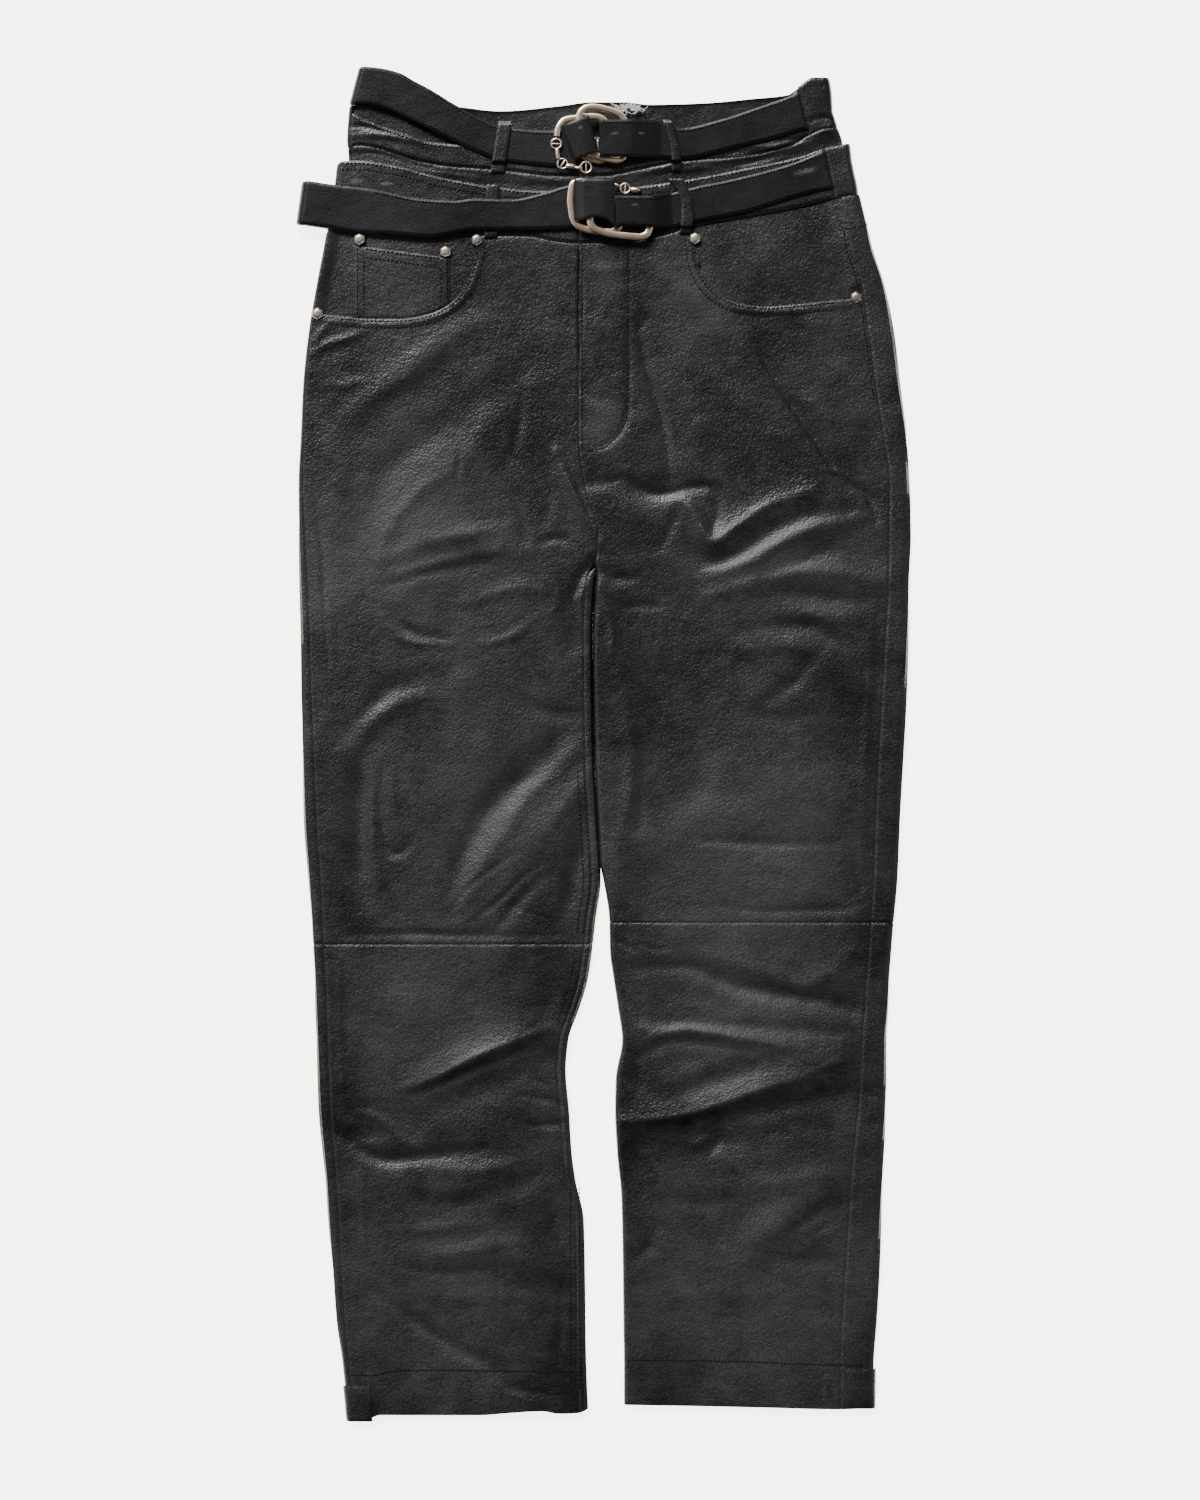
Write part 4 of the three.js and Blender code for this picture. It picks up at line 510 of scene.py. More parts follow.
@dataclass(frozen=True)
class Crease:
    """A soft ridge or trough: a bell across a line, which fades towards the line's ends."""

    height: float
    width: float
    path: tuple[tuple[float, float], ...]
    fade: float = 0.12

    def lift(self, x: Array, y: Array) -> Array:
        """Height added at each place: height times exp(-(distance/width)^2) times a sine along it.

        Args:
            x: places across.
            y: places along.

        Returns:
            The height in millimetres, of the same shape as x.
        """
        line = rounded(np.array(self.path, float))
        reach = 3 * self.width
        near = (x > line[:, 0].min() - reach) & (x < line[:, 0].max() + reach)
        near &= (y > line[:, 1].min() - reach) & (y < line[:, 1].max() + reach)
        out = np.zeros_like(x)
        if not near.any():
            return out
        px, py = x[near], y[near]
        best, along = np.full(px.shape, np.inf), np.zeros(px.shape)
        last = len(line) - 1
        for k in range(last):
            (ax, ay), (bx, by) = line[k], line[k + 1]
            f = ((px - ax) * (bx - ax) + (py - ay) * (by - ay)) / ((bx - ax) ** 2 + (by - ay) ** 2)
            f = np.clip(f, 0, 1)
            far = np.hypot(px - mix(ax, bx, f), py - mix(ay, by, f))
            along = np.where(far < best, (k + f) / last, along)
            best = np.minimum(best, far)
        bell = np.exp(-((best / self.width) ** 2))
        out[near] = self.height * bell * np.sin(math.pi * mix(self.fade, 1 - self.fade, along))
        return out


class ReliefMap:
    """The sum of many creases, worked out once on a fine raster and read between its points."""

    def __init__(self, creases: Sequence[Crease], cell: float = 1.0) -> None:
        """Adds up the creases.

        Args:
            creases: all of them.
            cell: the raster's spacing.
        """
        self.low, self.cell = np.array(RELIEF_CORNER), cell
        shape = (int(RELIEF_SIZE[0] / cell), int(RELIEF_SIZE[1] / cell))
        x = self.low[0] + cell * np.arange(shape[0])[:, None]
        y = self.low[1] + cell * np.arange(shape[1])[None, :]
        x, y = np.broadcast_arrays(x, y)
        self.height = sum((c.lift(x, y) for c in creases), np.zeros(shape))

    def __call__(self, x: Array, y: Array) -> Array:
        """The height at each place, from the four raster points round it.

        Args:
            x: places across.
            y: places along.

        Returns:
            The heights there.
        """
        x, y = np.broadcast_arrays(np.asarray(x, float), np.asarray(y, float))
        a, b = (x - self.low[0]) / self.cell, (y - self.low[1]) / self.cell
        i = np.clip(a.astype(int), 0, self.height.shape[0] - 2)
        j = np.clip(b.astype(int), 0, self.height.shape[1] - 2)
        f, g = a - i, b - j
        h = self.height
        return mix(mix(h[i, j], h[i + 1, j], f), mix(h[i, j + 1], h[i + 1, j + 1], f), g)


relief = ReliefMap([Crease(*row) for row in FOLDS + CREASES])
band_relief = ReliefMap([Crease(*row) for row in BAND_CREASES])
hidden_relief = ReliefMap([
    Crease(HIDDEN_SHARE * abs(height), width, tuple(map(tuple, np.array(path) + HIDDEN_SHIFT)))
    for height, width, path in CREASES[::2] if width >= HIDDEN_LEAST_WIDTH])


def side_reach(distance: Array) -> Array:
    """The gentle rise of the top layer away from a side: a quarter sine."""
    return TORSO_BULGE * np.sin(math.pi / 2 * np.clip(distance / TORSO_BULGE_REACH, 0, 1))


def waist_rise(y: Array) -> Array:
    """The rise of the top layer towards the waistbands, where more layers lie."""
    return WAIST_RISE * smooth(*WAIST_RISE_SPAN, y)


def closure(y: Array) -> Array:
    """1 where the leg is a closed tube, 0 above the crotch where the legs join."""
    return 1 - smooth(*CROTCH, y)


def lift_over_return(x: Array, y: Array) -> Array:
    """How far the underside is lifted where the end of the lower belt is turned beneath it."""
    inside = 1 - smooth(*RETURN_HIGH, y)
    return RETURN_CLEAR * smooth(*RETURN_ACROSS, x) * smooth(*RETURN_LOW, y) * inside


def leg_underside(x: Array, y: Array) -> Array:
    """Height of the back's outer face: flat on the floor, lifted a little along its own creases."""
    return lift_over_return(x, y) + hidden_relief(x, y) * smooth(*HIDDEN_FADE, y)


def torso_top(x: Array, y: Array) -> Array:
    """Height of the waist's outer face, from its distance to the nearer side."""
    to_side = np.minimum(x - LOWER_SIDES[0](y), LOWER_SIDES[1](y) - x)
    return PLATEAU + side_reach(to_side) + waist_rise(y)


class Face(Enum):
    """The layer of a flattened tube that a wall starts on."""

    TOP = 1
    UNDER = -1


@dataclass
class Tube:
    """A flattened tube: two layers joined by a half-round fold at each side.

    Places across are sign * x, so that the outer fold is always the low one.
    """

    sign: int
    outer: Edge
    inner: Edge
    top: Height
    under: Height
    opens: bool = False

    def share(self, y: Array) -> Array:
        """How far the inner fold is closed at each height."""
        return closure(y) if self.opens else np.ones_like(y)

    def level(self, across: Array, y: Array, over: Array) -> Array:
        """Height of the top layer, or of the lower one where over is false.

        Args:
            across: places across the tube.
            y: places along it.
            over: true for the top layer.

        Returns:
            The heights.
        """
        held = np.clip(across, self.outer(y) + EDGE_STEADY, self.inner(y) - EDGE_STEADY)
        x = self.sign * held
        return np.where(over, self.top(x, y), self.under(x, y))

    def radius(self, at: Array, y: Array) -> Array:
        """Radius of a fold: half of the height between the layers beside it."""
        return (self.level(at, y, True) - self.level(at, y, False)) / 2

    def flat_girth(self, across: Array, y: Array) -> Array:
        """Girth from the outer fold's outermost line to a place on the flat."""
        r = self.radius(self.outer(y), y)
        return (math.pi / 2 - 1) * r + across - self.outer(y)

    def outer_girth(self, depth: Array, y: Array) -> Array:
        """Girth to the place that lies that deep inside the outer fold."""
        r = self.radius(self.outer(y), y)
        arc = r * np.arccos(np.clip(1 - depth / r, -1, 1))
        return np.where(depth >= r, (math.pi / 2 - 1) * r + depth, arc)

    def fold_start(self, y: Array) -> Array:
        """Place across where the inner fold leaves the flat."""
        i = self.inner(y)
        return mix(i, i - self.radius(i, y), self.share(y))

    def wrap_girth(self, beyond: Array, y: Array) -> Array:
        """Girth to a place beyond the whole inner fold, on the other layer."""
        i = self.inner(y)
        turn = self.share(y) * (math.pi * self.radius(i, y) + beyond)
        return self.flat_girth(self.fold_start(y), y) + turn

    def inner_girth(self, depth: float, y: Array, face: Face) -> Array:
        """Girth to the place on the inner fold's upper half, that deep inside its outermost line.

        Args:
            depth: how deep inside the fold it lies.
            y: places along.
            face: the layer that the wall starts on.

        Returns:
            The girths.
        """
        r = self.radius(self.inner(y), y)
        angle = np.arcsin(1 - depth / r)
        angle = angle if face is Face.TOP else math.pi - angle
        return self.flat_girth(self.fold_start(y), y) + r * angle

    def place(self, girth: Array, y: Array, face: Face) -> Array:
        """Points of the wall: a quarter circle, the flat, a half circle, and the other layer.

        Args:
            girth: distance along the wall from the outer fold, negative on the other layer.
            y: places along the tube.
            face: the layer that positive girths lie on.

        Returns:
            An array of points with a last axis of x, y and z.
        """
        o, i = self.outer(y), self.inner(y)
        r, ri = self.radius(o, y), self.radius(i, y)
        over = (face.value * np.where(girth < 0, -1, 1)) > 0
        g = np.abs(girth)
        angle = np.minimum(g, math.pi / 2 * r) / r
        on_arc = g < math.pi / 2 * r
        x = np.where(on_arc, o + r * (1 - np.cos(angle)), o + r + g - math.pi / 2 * r)
        start = self.fold_start(y)
        past = g - self.flat_girth(start, y)
        turn = np.clip(past / ri, 0, math.pi)
        beyond = np.maximum(past - math.pi * ri, 0)
        x = np.where(past > 0, start + ri * np.sin(turn) - beyond, x)
        way = np.where(over, 1, -1)
        z = self.level(np.where(past > 0, start, x), y, over) - way * ri * (1 - np.cos(turn))
        middle = self.level(o, y, False) + r
        z = np.where(on_arc, middle + way * r * np.sin(angle), z)
        z = np.where(beyond > 0, self.level(x, y, ~over), z)
        return np.stack(np.broadcast_arrays(self.sign * x, y, z), -1)


def marks(length: float, cell: float) -> Array:
    """Shares from 0 to 1 that lie closer together near both ends, for turned edges.

    Args:
        length: the whole length in millimetres.
        cell: the spacing in the middle.

    Returns:
        The shares, in order.
    """
    edge = np.array(EDGE_MARKS)
    inner = np.linspace(EDGE_END, length - EDGE_END, max(2, round((length - 2 * EDGE_END) / cell)))
    return np.r_[edge, inner, length - edge[::-1]] / length


def arc_lengths(grid: Array, axis: int) -> Array:
    """Distance along each of the grid's lines from its first point."""
    steps = np.linalg.norm(np.diff(grid, axis=axis), axis=-1)
    first = np.zeros_like(np.take(steps, [0], axis))
    return np.concatenate([first, np.cumsum(steps, axis=axis)], axis)


def grid_normals(grid: Array, outward: Sequence[float]) -> tuple[Array, bool]:
    """Unit normals of a grid of points, on the side of the outward direction.

    Args:
        grid: rows and columns of points.
        outward: a direction that most of the normals agree with.

    Returns:
        The normals, and whether they point against the grid's own winding.
    """
    normal = np.cross(np.gradient(grid, axis=1), np.gradient(grid, axis=0))
    normal /= np.maximum(np.linalg.norm(normal, axis=-1, keepdims=True), 1e-9)
    turned = float((normal @ np.array(outward, float)).sum()) < 0
    return (-normal if turned else normal), turned


@dataclass(frozen=True)
class Roll:
    """Which edges of a wall turn down into a seam, and how far."""

    first_row: bool = True
    last_row: bool = True
    first_column: bool = True
    last_column: bool = True
    depth: float = 0.75
    reach: float = 1.5

    def drop(self, grid: Array) -> Array:
        """Depth of the turn at each point: depth times exp(-(distance to the edge/reach)^2).

        Args:
            grid: rows and columns of points.

        Returns:
            The depths.
        """
        down, across = arc_lengths(grid, 0), arc_lengths(grid, 1)
        far = np.full(grid.shape[:2], 1e3)
        edges = (
            (self.first_row, down), (self.last_row, down[-1:] - down),
            (self.first_column, across), (self.last_column, across[:, -1:] - across),
        )
        for wanted, distance in edges:
            if wanted:
                far = np.minimum(far, distance)
        return self.depth * np.exp(-((far / self.reach) ** 2))


NO_ROLL = Roll(False, False, False, False)


def closed_wall(grid: Array, wall: float, outward: Sequence[float]) -> tuple[Array, Array]:
    """A closed wall: the grid, a copy set in by the wall along the normals, and a rim round both.

    Args:
        grid: rows and columns of points on the outer face.
        wall: thickness in millimetres.
        outward: a direction on the outer face's side.

    Returns:
        The points, and the four-sided faces.
    """
    normal, turned = grid_normals(grid, outward)
    rows, cols = grid.shape[:2]
    count = rows * cols
    points = np.concatenate([grid.reshape(-1, 3), (grid - wall * normal).reshape(-1, 3)])
    k = np.arange(count).reshape(rows, cols)
    face = np.stack([k[:-1, :-1], k[:-1, 1:], k[1:, 1:], k[1:, :-1]], -1).reshape(-1, 4)
    loop = np.r_[k[0, :-1], k[:-1, -1], k[-1, :0:-1], k[:0:-1, 0]]
    ahead = np.roll(loop, -1)
    rim = np.stack([ahead, loop, loop + count, ahead + count], -1)
    faces = np.concatenate([face, face[:, ::-1] + count, rim])
    return points, (faces[:, ::-1] if turned else faces)


class Finish(Enum):
    """The object's finishes, each with the record's slot that it belongs to."""

    LEATHER = ("leather", "soft")
    BAND = ("leather", "firm")
    BELT = ("belt_leather", "smooth")
    METAL = ("buckle_metal", "plated")
    RIVET = ("rivet_metal", "brushed")
    THREAD = ("leather", "thread")
    FRAY = ("leather", "frayed thread")

    @property
    def slot(self) -> str:
        """The record's slot name."""
        return self.value[0]


class Shade:
    """A shader socket that can be used in sums: each operator adds a Math node."""

    def __init__(self, nodes: "Nodes", socket: bpy.types.NodeSocket) -> None:
        """Keeps the node maker and the socket."""
        self.nodes, self.socket = nodes, socket

    def maths(self, operation: str, first: object, second: object, clamp: bool = False) -> "Shade":
        """The result of one Math node."""
        settings = {"operation": operation, "use_clamp": clamp}
        return self.nodes.shade("ShaderNodeMath", settings, {0: first, 1: second})

    def __add__(self, other: object) -> "Shade":
        """Sum."""
        return self.maths("ADD", self, other)

    def __sub__(self, other: object) -> "Shade":
        """Difference."""
        return self.maths("SUBTRACT", self, other)

    def __rsub__(self, other: object) -> "Shade":
        """Reflected difference."""
        return self.maths("SUBTRACT", other, self)

    def __mul__(self, other: object) -> "Shade":
        """Product."""
        return self.maths("MULTIPLY", self, other)

    def clamped(self) -> "Shade":
        """The value held between 0 and 1."""
        return self.maths("ADD", self, 0.0, clamp=True)

    __radd__ = __add__
    __rmul__ = __mul__


class Nodes:
    """Makes and links the nodes of one material."""

    def __init__(self, name: str) -> None:
        """Starts a material with an empty tree.

        Args:
            name: the material's name.
        """
        self.material = bpy.data.materials.new(name)
        self.material.use_nodes = True
        self.tree = self.material.node_tree
        self.tree.nodes.clear()

    def node(self, kind: str, settings: dict, inputs: dict) -> bpy.types.Node:
        """Adds a node, sets it and then feeds its sockets.

        Args:
            kind: the node's type.
            settings: its properties.
            inputs: a value, a socket or a Shade for each input, by name or number.

        Returns:
            The node.
        """
        made = self.tree.nodes.new(kind)
        for key, value in settings.items():
            setattr(made, key, value)
        for key, value in inputs.items():
            if isinstance(value, Shade):
                value = value.socket
            if isinstance(value, bpy.types.NodeSocket):
                self.tree.links.new(value, made.inputs[key])
            else:
                made.inputs[key].default_value = value
        return made

    def shade(self, kind: str, settings: dict, inputs: dict, output: int | str = 0) -> Shade:
        """Adds a node and returns one of its outputs."""
        return Shade(self, self.node(kind, settings, inputs).outputs[output])

    def coordinates(self, scale: Sequence[float] = (1, 1, 1), turn: float = 0.0) -> Shade:
        """Object coordinates, stretched and turned about the vertical."""
        place = self.shade("ShaderNodeTexCoord", {}, {}, "Object")
        turned = {"Vector": place, "Rotation": (0, 0, turn), "Scale": tuple(scale)}
        return self.shade("ShaderNodeMapping", {}, turned)

    def noise(self, vector: Shade, scale: float, detail: float, rough: float = 0.5) -> Shade:
        """A cloudy pattern between 0 and 1."""
        inputs = {"Vector": vector, "Scale": scale, "Detail": detail, "Roughness": rough}
        return self.shade("ShaderNodeTexNoise", {}, inputs)

    def spot(self, x: float, y: float, long: float, wide: float, turn: float) -> Shade:
        """A soft oval mark, 1 in its middle and 0 at its rim; its place and half sizes are in millimetres.

        Args:
            x: its middle across.
            y: its middle along.
            long: its half size across.
            wide: its half size along.
            turn: its turn in radians.

        Returns:
            The mark's strength.
        """
        place = self.shade("ShaderNodeTexCoord", {}, {}, "Object")
        oval = {"Location": (x * MM, y * MM, 0), "Rotation": (0, 0, turn)}
        oval["Scale"] = (long * MM, wide * MM, 0.1)
        local = self.shade("ShaderNodeMapping", {"vector_type": "TEXTURE"}, {"Vector": place, **oval})
        return self.shade("ShaderNodeTexGradient", {"gradient_type": "SPHERICAL"}, {"Vector": local}, 1)

    def blend(self, share: Shade, first: object, second: object) -> Shade:
        """A colour between two, by share."""
        settings = {"data_type": "RGBA"}
        return self.shade("ShaderNodeMix", settings, {0: share, 6: first, 7: second}, 2)

    def bump(self, height: Shade, strength: float, distance: float, under: object = None) -> Shade:
        """A surface normal bent by a height, on top of another normal where one is given.

        Args:
            height: the height.
            strength: how much it counts.
            distance: what a height of 1 stands for, in metres.
            under: the normal beneath it, or none.

        Returns:
            The normal.
        """
        inputs = {"Height": height, "Strength": strength, "Distance": distance}
        if under is not None:
            inputs["Normal"] = under
        return self.shade("ShaderNodeBump", {}, inputs)

    def surface(self, inputs: dict) -> bpy.types.Material:
        """Ends the tree in a Principled shader and returns the material."""
        shader = self.node("ShaderNodeBsdfPrincipled", {}, inputs)
        self.node("ShaderNodeOutputMaterial", {}, {"Surface": shader.outputs[0]})
        return self.material


@dataclass(frozen=True)
class LeatherFinish:
    """Dyed leather: pebbled grain, wrinkles, random paler mottling with painted sheen in cloudy places, and
    grey scuffs.

    Patterns repeat about that many times a metre. Scuffs, and the places where sheen is painted, are ovals:
    place, half sizes, turn.
    """

    name: str
    dark: Colour
    # The paler colour: partly random mottling, partly painted sheen.
    mottle_and_sheen: Colour
    gloss: float
    dull: float
    pebble: float
    pebble_depth: float
    wrinkle_depth: float
    shine: float
    scuffs: Ovals = ()
    sheen_ovals: Ovals = ()
    wrinkle: float = 70.0
    swell: float = 21.0
    cloud: float = 8.0
    patch: float = 38.0
    flake: float = 900.0

    def build(self) -> bpy.types.Material:
        """The material: cells for the grain, stretched noise for the wrinkles, ovals for painted sheen.

        Its roughness goes from gloss to dull by the sum of clouds, ovals and patches, less in the pits.

        Returns:
            The material.
        """
        n = Nodes(self.name)
        place = n.coordinates()
        cells = n.shade("ShaderNodeTexVoronoi", {"feature": "F1"}, {"Vector": place, "Scale": self.pebble})
        fine = n.noise(place, self.pebble * 1.9, 2.0)
        wrinkles = n.noise(n.coordinates((1, 1.25, 1), 0.5), self.wrinkle, 4.0, 0.6)
        swell = n.noise(n.coordinates((1, 0.8, 1), 0.9), self.swell, 2.0)
        clouds = n.noise(n.coordinates((1.3, 0.8, 1), 0.3), self.cloud, 3.0, 0.55)
        patches = n.noise(place, self.patch, 3.0, 0.6) - 0.5
        grain = (1 - cells) * 0.7 + fine * 0.5
        sheen = ((clouds - 0.38) * 3.0).clamped()
        # Painted sheen: ovals over broad lit places of the legs make the colour paler, and the leather
        # rougher there.
        sheen_oval_share = sum((n.spot(*oval) for oval in self.sheen_ovals), clouds * 0.0)
        # The paler colour is partly random mottling from the patches and wrinkles, partly painted sheen from
        # the clouds and ovals.
        tone_and_sheen = (sheen * 0.5 + sheen_oval_share * 0.5 + patches * 0.9 + (wrinkles - 0.45) * 1.1).clamped()
        mottle_and_sheen = (tone_and_sheen * (grain * 0.9 + 0.2)).clamped()
        colour = self.scuffed(n, n.blend(mottle_and_sheen, self.dark, self.mottle_and_sheen))
        lit = (sheen * 0.5 + sheen_oval_share * 0.9 + patches * 0.55 + 0.14).clamped()
        rough = self.gloss + lit * (self.dull - self.gloss) + (grain - 0.6) * 0.12
        broad = n.bump(swell, 0.7, self.wrinkle_depth * 2.6 * MM)
        large = n.bump(wrinkles, 0.6, self.wrinkle_depth * MM, broad)
        small = n.bump(grain, 0.7, self.pebble_depth * MM, large)
        look = {"Base Color": colour, "Roughness": rough.clamped(), "Normal": small}
        return n.surface({**look, "Specular IOR Level": self.shine})

    def scuffed(self, n: Nodes, colour: Shade) -> Shade:
        """The colour with its scuffs, which show where the flakes are dense within each oval.

        Args:
            n: the material's nodes.
            colour: the colour without scuffs.

        Returns:
            The colour with them.
        """
        if not self.scuffs:
            return colour
        flakes = n.noise(n.coordinates((1, 2.2, 1), 0.2), self.flake, 3.0, 0.7)
        for scuff in self.scuffs:
            oval = n.spot(*scuff)
            share = (oval * 3.0 + (flakes - 0.62) * 9.0).clamped() * (oval * 4.0).clamped()
            colour = n.blend(share * 0.8, colour, SCUFF_COLOUR)
        return colour


@dataclass(frozen=True)
class MetalFinish:
    """Plated metal, brushed a little, with faint cloudy wear."""

    name: str
    bright: Colour
    dim: Colour
    gloss: float
    dull: float

    def build(self) -> bpy.types.Material:
        """The material: stretched noise for the brushing, cloudy noise for the wear.

        Returns:
            The material.
        """
        n = Nodes(self.name)
        brushed = n.noise(n.coordinates((1, 6, 1), 0.6), 520.0, 2.0)
        clouds = n.noise(n.coordinates(), 70.0, 2.0)
        colour = n.blend(((clouds - 0.35) * 2.0).clamped(), self.bright, self.dim)
        rough = self.gloss + (self.dull - self.gloss) * (brushed * 0.5 + clouds * 0.5)
        return n.surface({"Base Color": colour, "Metallic": 1.0, "Roughness": rough})


@dataclass(frozen=True)
class ThreadFinish:
    """Twisted sewing thread, matt with a faint sheen."""

    name: str
    dark: Colour
    light: Colour
    shine: float

    def build(self) -> bpy.types.Material:
        """The material: diagonal waves for the twist.

        Returns:
            The material.
        """
        n = Nodes(self.name)
        place = n.coordinates()
        settings = {"wave_type": "BANDS", "bands_direction": "DIAGONAL"}
        twist = n.shade("ShaderNodeTexWave", settings, {"Vector": place, "Scale": 900.0}, 1)
        colour = n.blend(twist, self.dark, self.light)
        look = {"Base Color": colour, "Roughness": 0.7, "Specular IOR Level": self.shine}
        return n.surface({**look, "Normal": n.bump(twist, 0.4, 0.1 * MM)})


# Ovals where sheen is painted on the legs, over their broad lit places: place, half sizes, turn.
LEATHER_SHEEN_OVALS = (
    (-159, 150, 95, 130, 0.3), (-104, -43, 120, 140, 0), (122, -70, 120, 150, 0), (150, 130, 85, 70, 0.2),
    (70, 340, 40, 60, 0.6), (-128, -215, 110, 110, 0), (106, -205, 110, 95, 0), (-1, 365, 20, 30, 0),
    (-1, 250, 20, 35, 0), (-118, -410, 120, 130, 0), (122, -410, 120, 130, 0),
)
BAND_SCUFFS = ((-193, 439, 9.5, 4, 0.1), (-170, 437, 7, 2.5, 0.2), (45, 435, 5, 3, 0.3))
BELT_SCUFFS = (
    (157, 446.5, 14, 3.4, 0.26), (-18, 479, 3, 2.4, 0), (8, 475, 5, 1.5, 0.3), (29, 475.5, 4, 1.3, 0),
    (24, 419, 4.5, 1.6, 0.1),
)
FINISHES: dict[Finish, LeatherFinish | MetalFinish | ThreadFinish] = {
    Finish.LEATHER: LeatherFinish(
        "soft_black_leather", (0.0022, 0.0019, 0.0021, 1), (0.024, 0.0222, 0.0236, 1), gloss=0.33, dull=0.52,
        pebble=520, pebble_depth=0.40, wrinkle_depth=1.0, shine=0.40, sheen_ovals=LEATHER_SHEEN_OVALS),
    Finish.BAND: LeatherFinish(
        "band_black_leather", (0.0020, 0.0018, 0.0020, 1), (0.0135, 0.0125, 0.0135, 1), gloss=0.30, dull=0.46,
        pebble=640, pebble_depth=0.26, wrinkle_depth=0.8, shine=0.42, scuffs=BAND_SCUFFS),
    Finish.BELT: LeatherFinish(
        "belt_black_leather", (0.0022, 0.0019, 0.0021, 1), (0.0090, 0.0083, 0.0088, 1), gloss=0.34, dull=0.48,
        pebble=800, pebble_depth=0.16, wrinkle_depth=0.5, shine=0.26, scuffs=BELT_SCUFFS),
    Finish.METAL: MetalFinish("champagne_plate", (0.90, 0.70, 0.53, 1), (0.62, 0.46, 0.34, 1), 0.24, 0.36),
    Finish.RIVET: MetalFinish("brushed_rivet", (0.55, 0.48, 0.42, 1), (0.08, 0.07, 0.06, 1), 0.24, 0.46),
    Finish.THREAD: ThreadFinish(
        "black_thread", (0.0015, 0.0015, 0.0016, 1), (0.0035, 0.0034, 0.0035, 1), 0.15),
    Finish.FRAY: ThreadFinish("pale_thread", (0.55, 0.54, 0.52, 1), (0.82, 0.81, 0.79, 1), 0.3),
}


class Workshop:
    """Makes the object's pieces: each rides on the one body and stands for its solid."""

    def __init__(self) -> None:
        """Builds every finish once."""
        self.materials = {finish: own.build() for finish, own in FINISHES.items()}
        self.count = 0

    def piece(self, name: str, points: Array, faces: Array, finish: Finish, node: str | None = None,
              crisp: float = 40.0) -> bpy.types.Object:
        """Makes a mesh piece.

        Args:
            name: the piece's name.
            points: its points in millimetres.
            faces: its faces.
            finish: what it is made of.
            node: the solid that it stands for.
            crisp: edges sharper than this many degrees are drawn crisp.

        Returns:
            The new object.
        """
        mesh = bpy.data.meshes.new(name)
        mesh.from_pydata(np.asarray(points) * MM, [], faces)
        mesh.shade_smooth()
        mesh.set_sharp_from_angle(angle=math.radians(crisp))
        mesh.materials.append(self.materials[finish])
        made = bpy.data.objects.new(name, mesh)
        bpy.context.scene.collection.objects.link(made)
        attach(made, "root")
        if node:
            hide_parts(node)
        triangles = sum(len(p.vertices) - 2 for p in mesh.polygons)
        self.count += triangles
        LOG.info("%s: %d triangles, %d in all", name, triangles, self.count)
        return made

    def sheet(self, node: str, grid: Array, wall: float, outward: Sequence[float],
              finish: Finish = Finish.LEATHER, roll: Roll = NO_ROLL) -> bpy.types.Object:
        """Makes a wall of leather from its outer face and declares its cut size.

        Args:
            node: the solid that it stands for, which names the piece.
            grid: rows and columns of points on the outer face.
            wall: its thickness.
            outward: a direction on the outer face's side.
            finish: the leather.
            roll: which edges turn down into seams.

        Returns:
            The new object.
        """
        normal, _ = grid_normals(grid, outward)
        turned = grid - normal * roll.drop(grid)[..., None]
        points, faces = closed_wall(turned, wall, outward)
        made = self.piece(f"{node}_leather", points, faces, finish, node)
        middle = turned - normal * wall / 2
        width, length = arc_lengths(middle, 1)[:, -1].max(), arc_lengths(middle, 0)[-1].max()
        half = np.cross(middle[1:, 1:] - middle[:-1, :-1], middle[1:, :-1] - middle[:-1, 1:])
        area = np.linalg.norm(half, axis=-1).sum() / 2
        width, length = max(width, LEAST_CUT), max(length, LEAST_CUT)
        area = min(area, width * length)
        LOG.info("%s: cut %.0f x %.0f mm, %.0f cm2", node, width, length, area / 100)
        return made


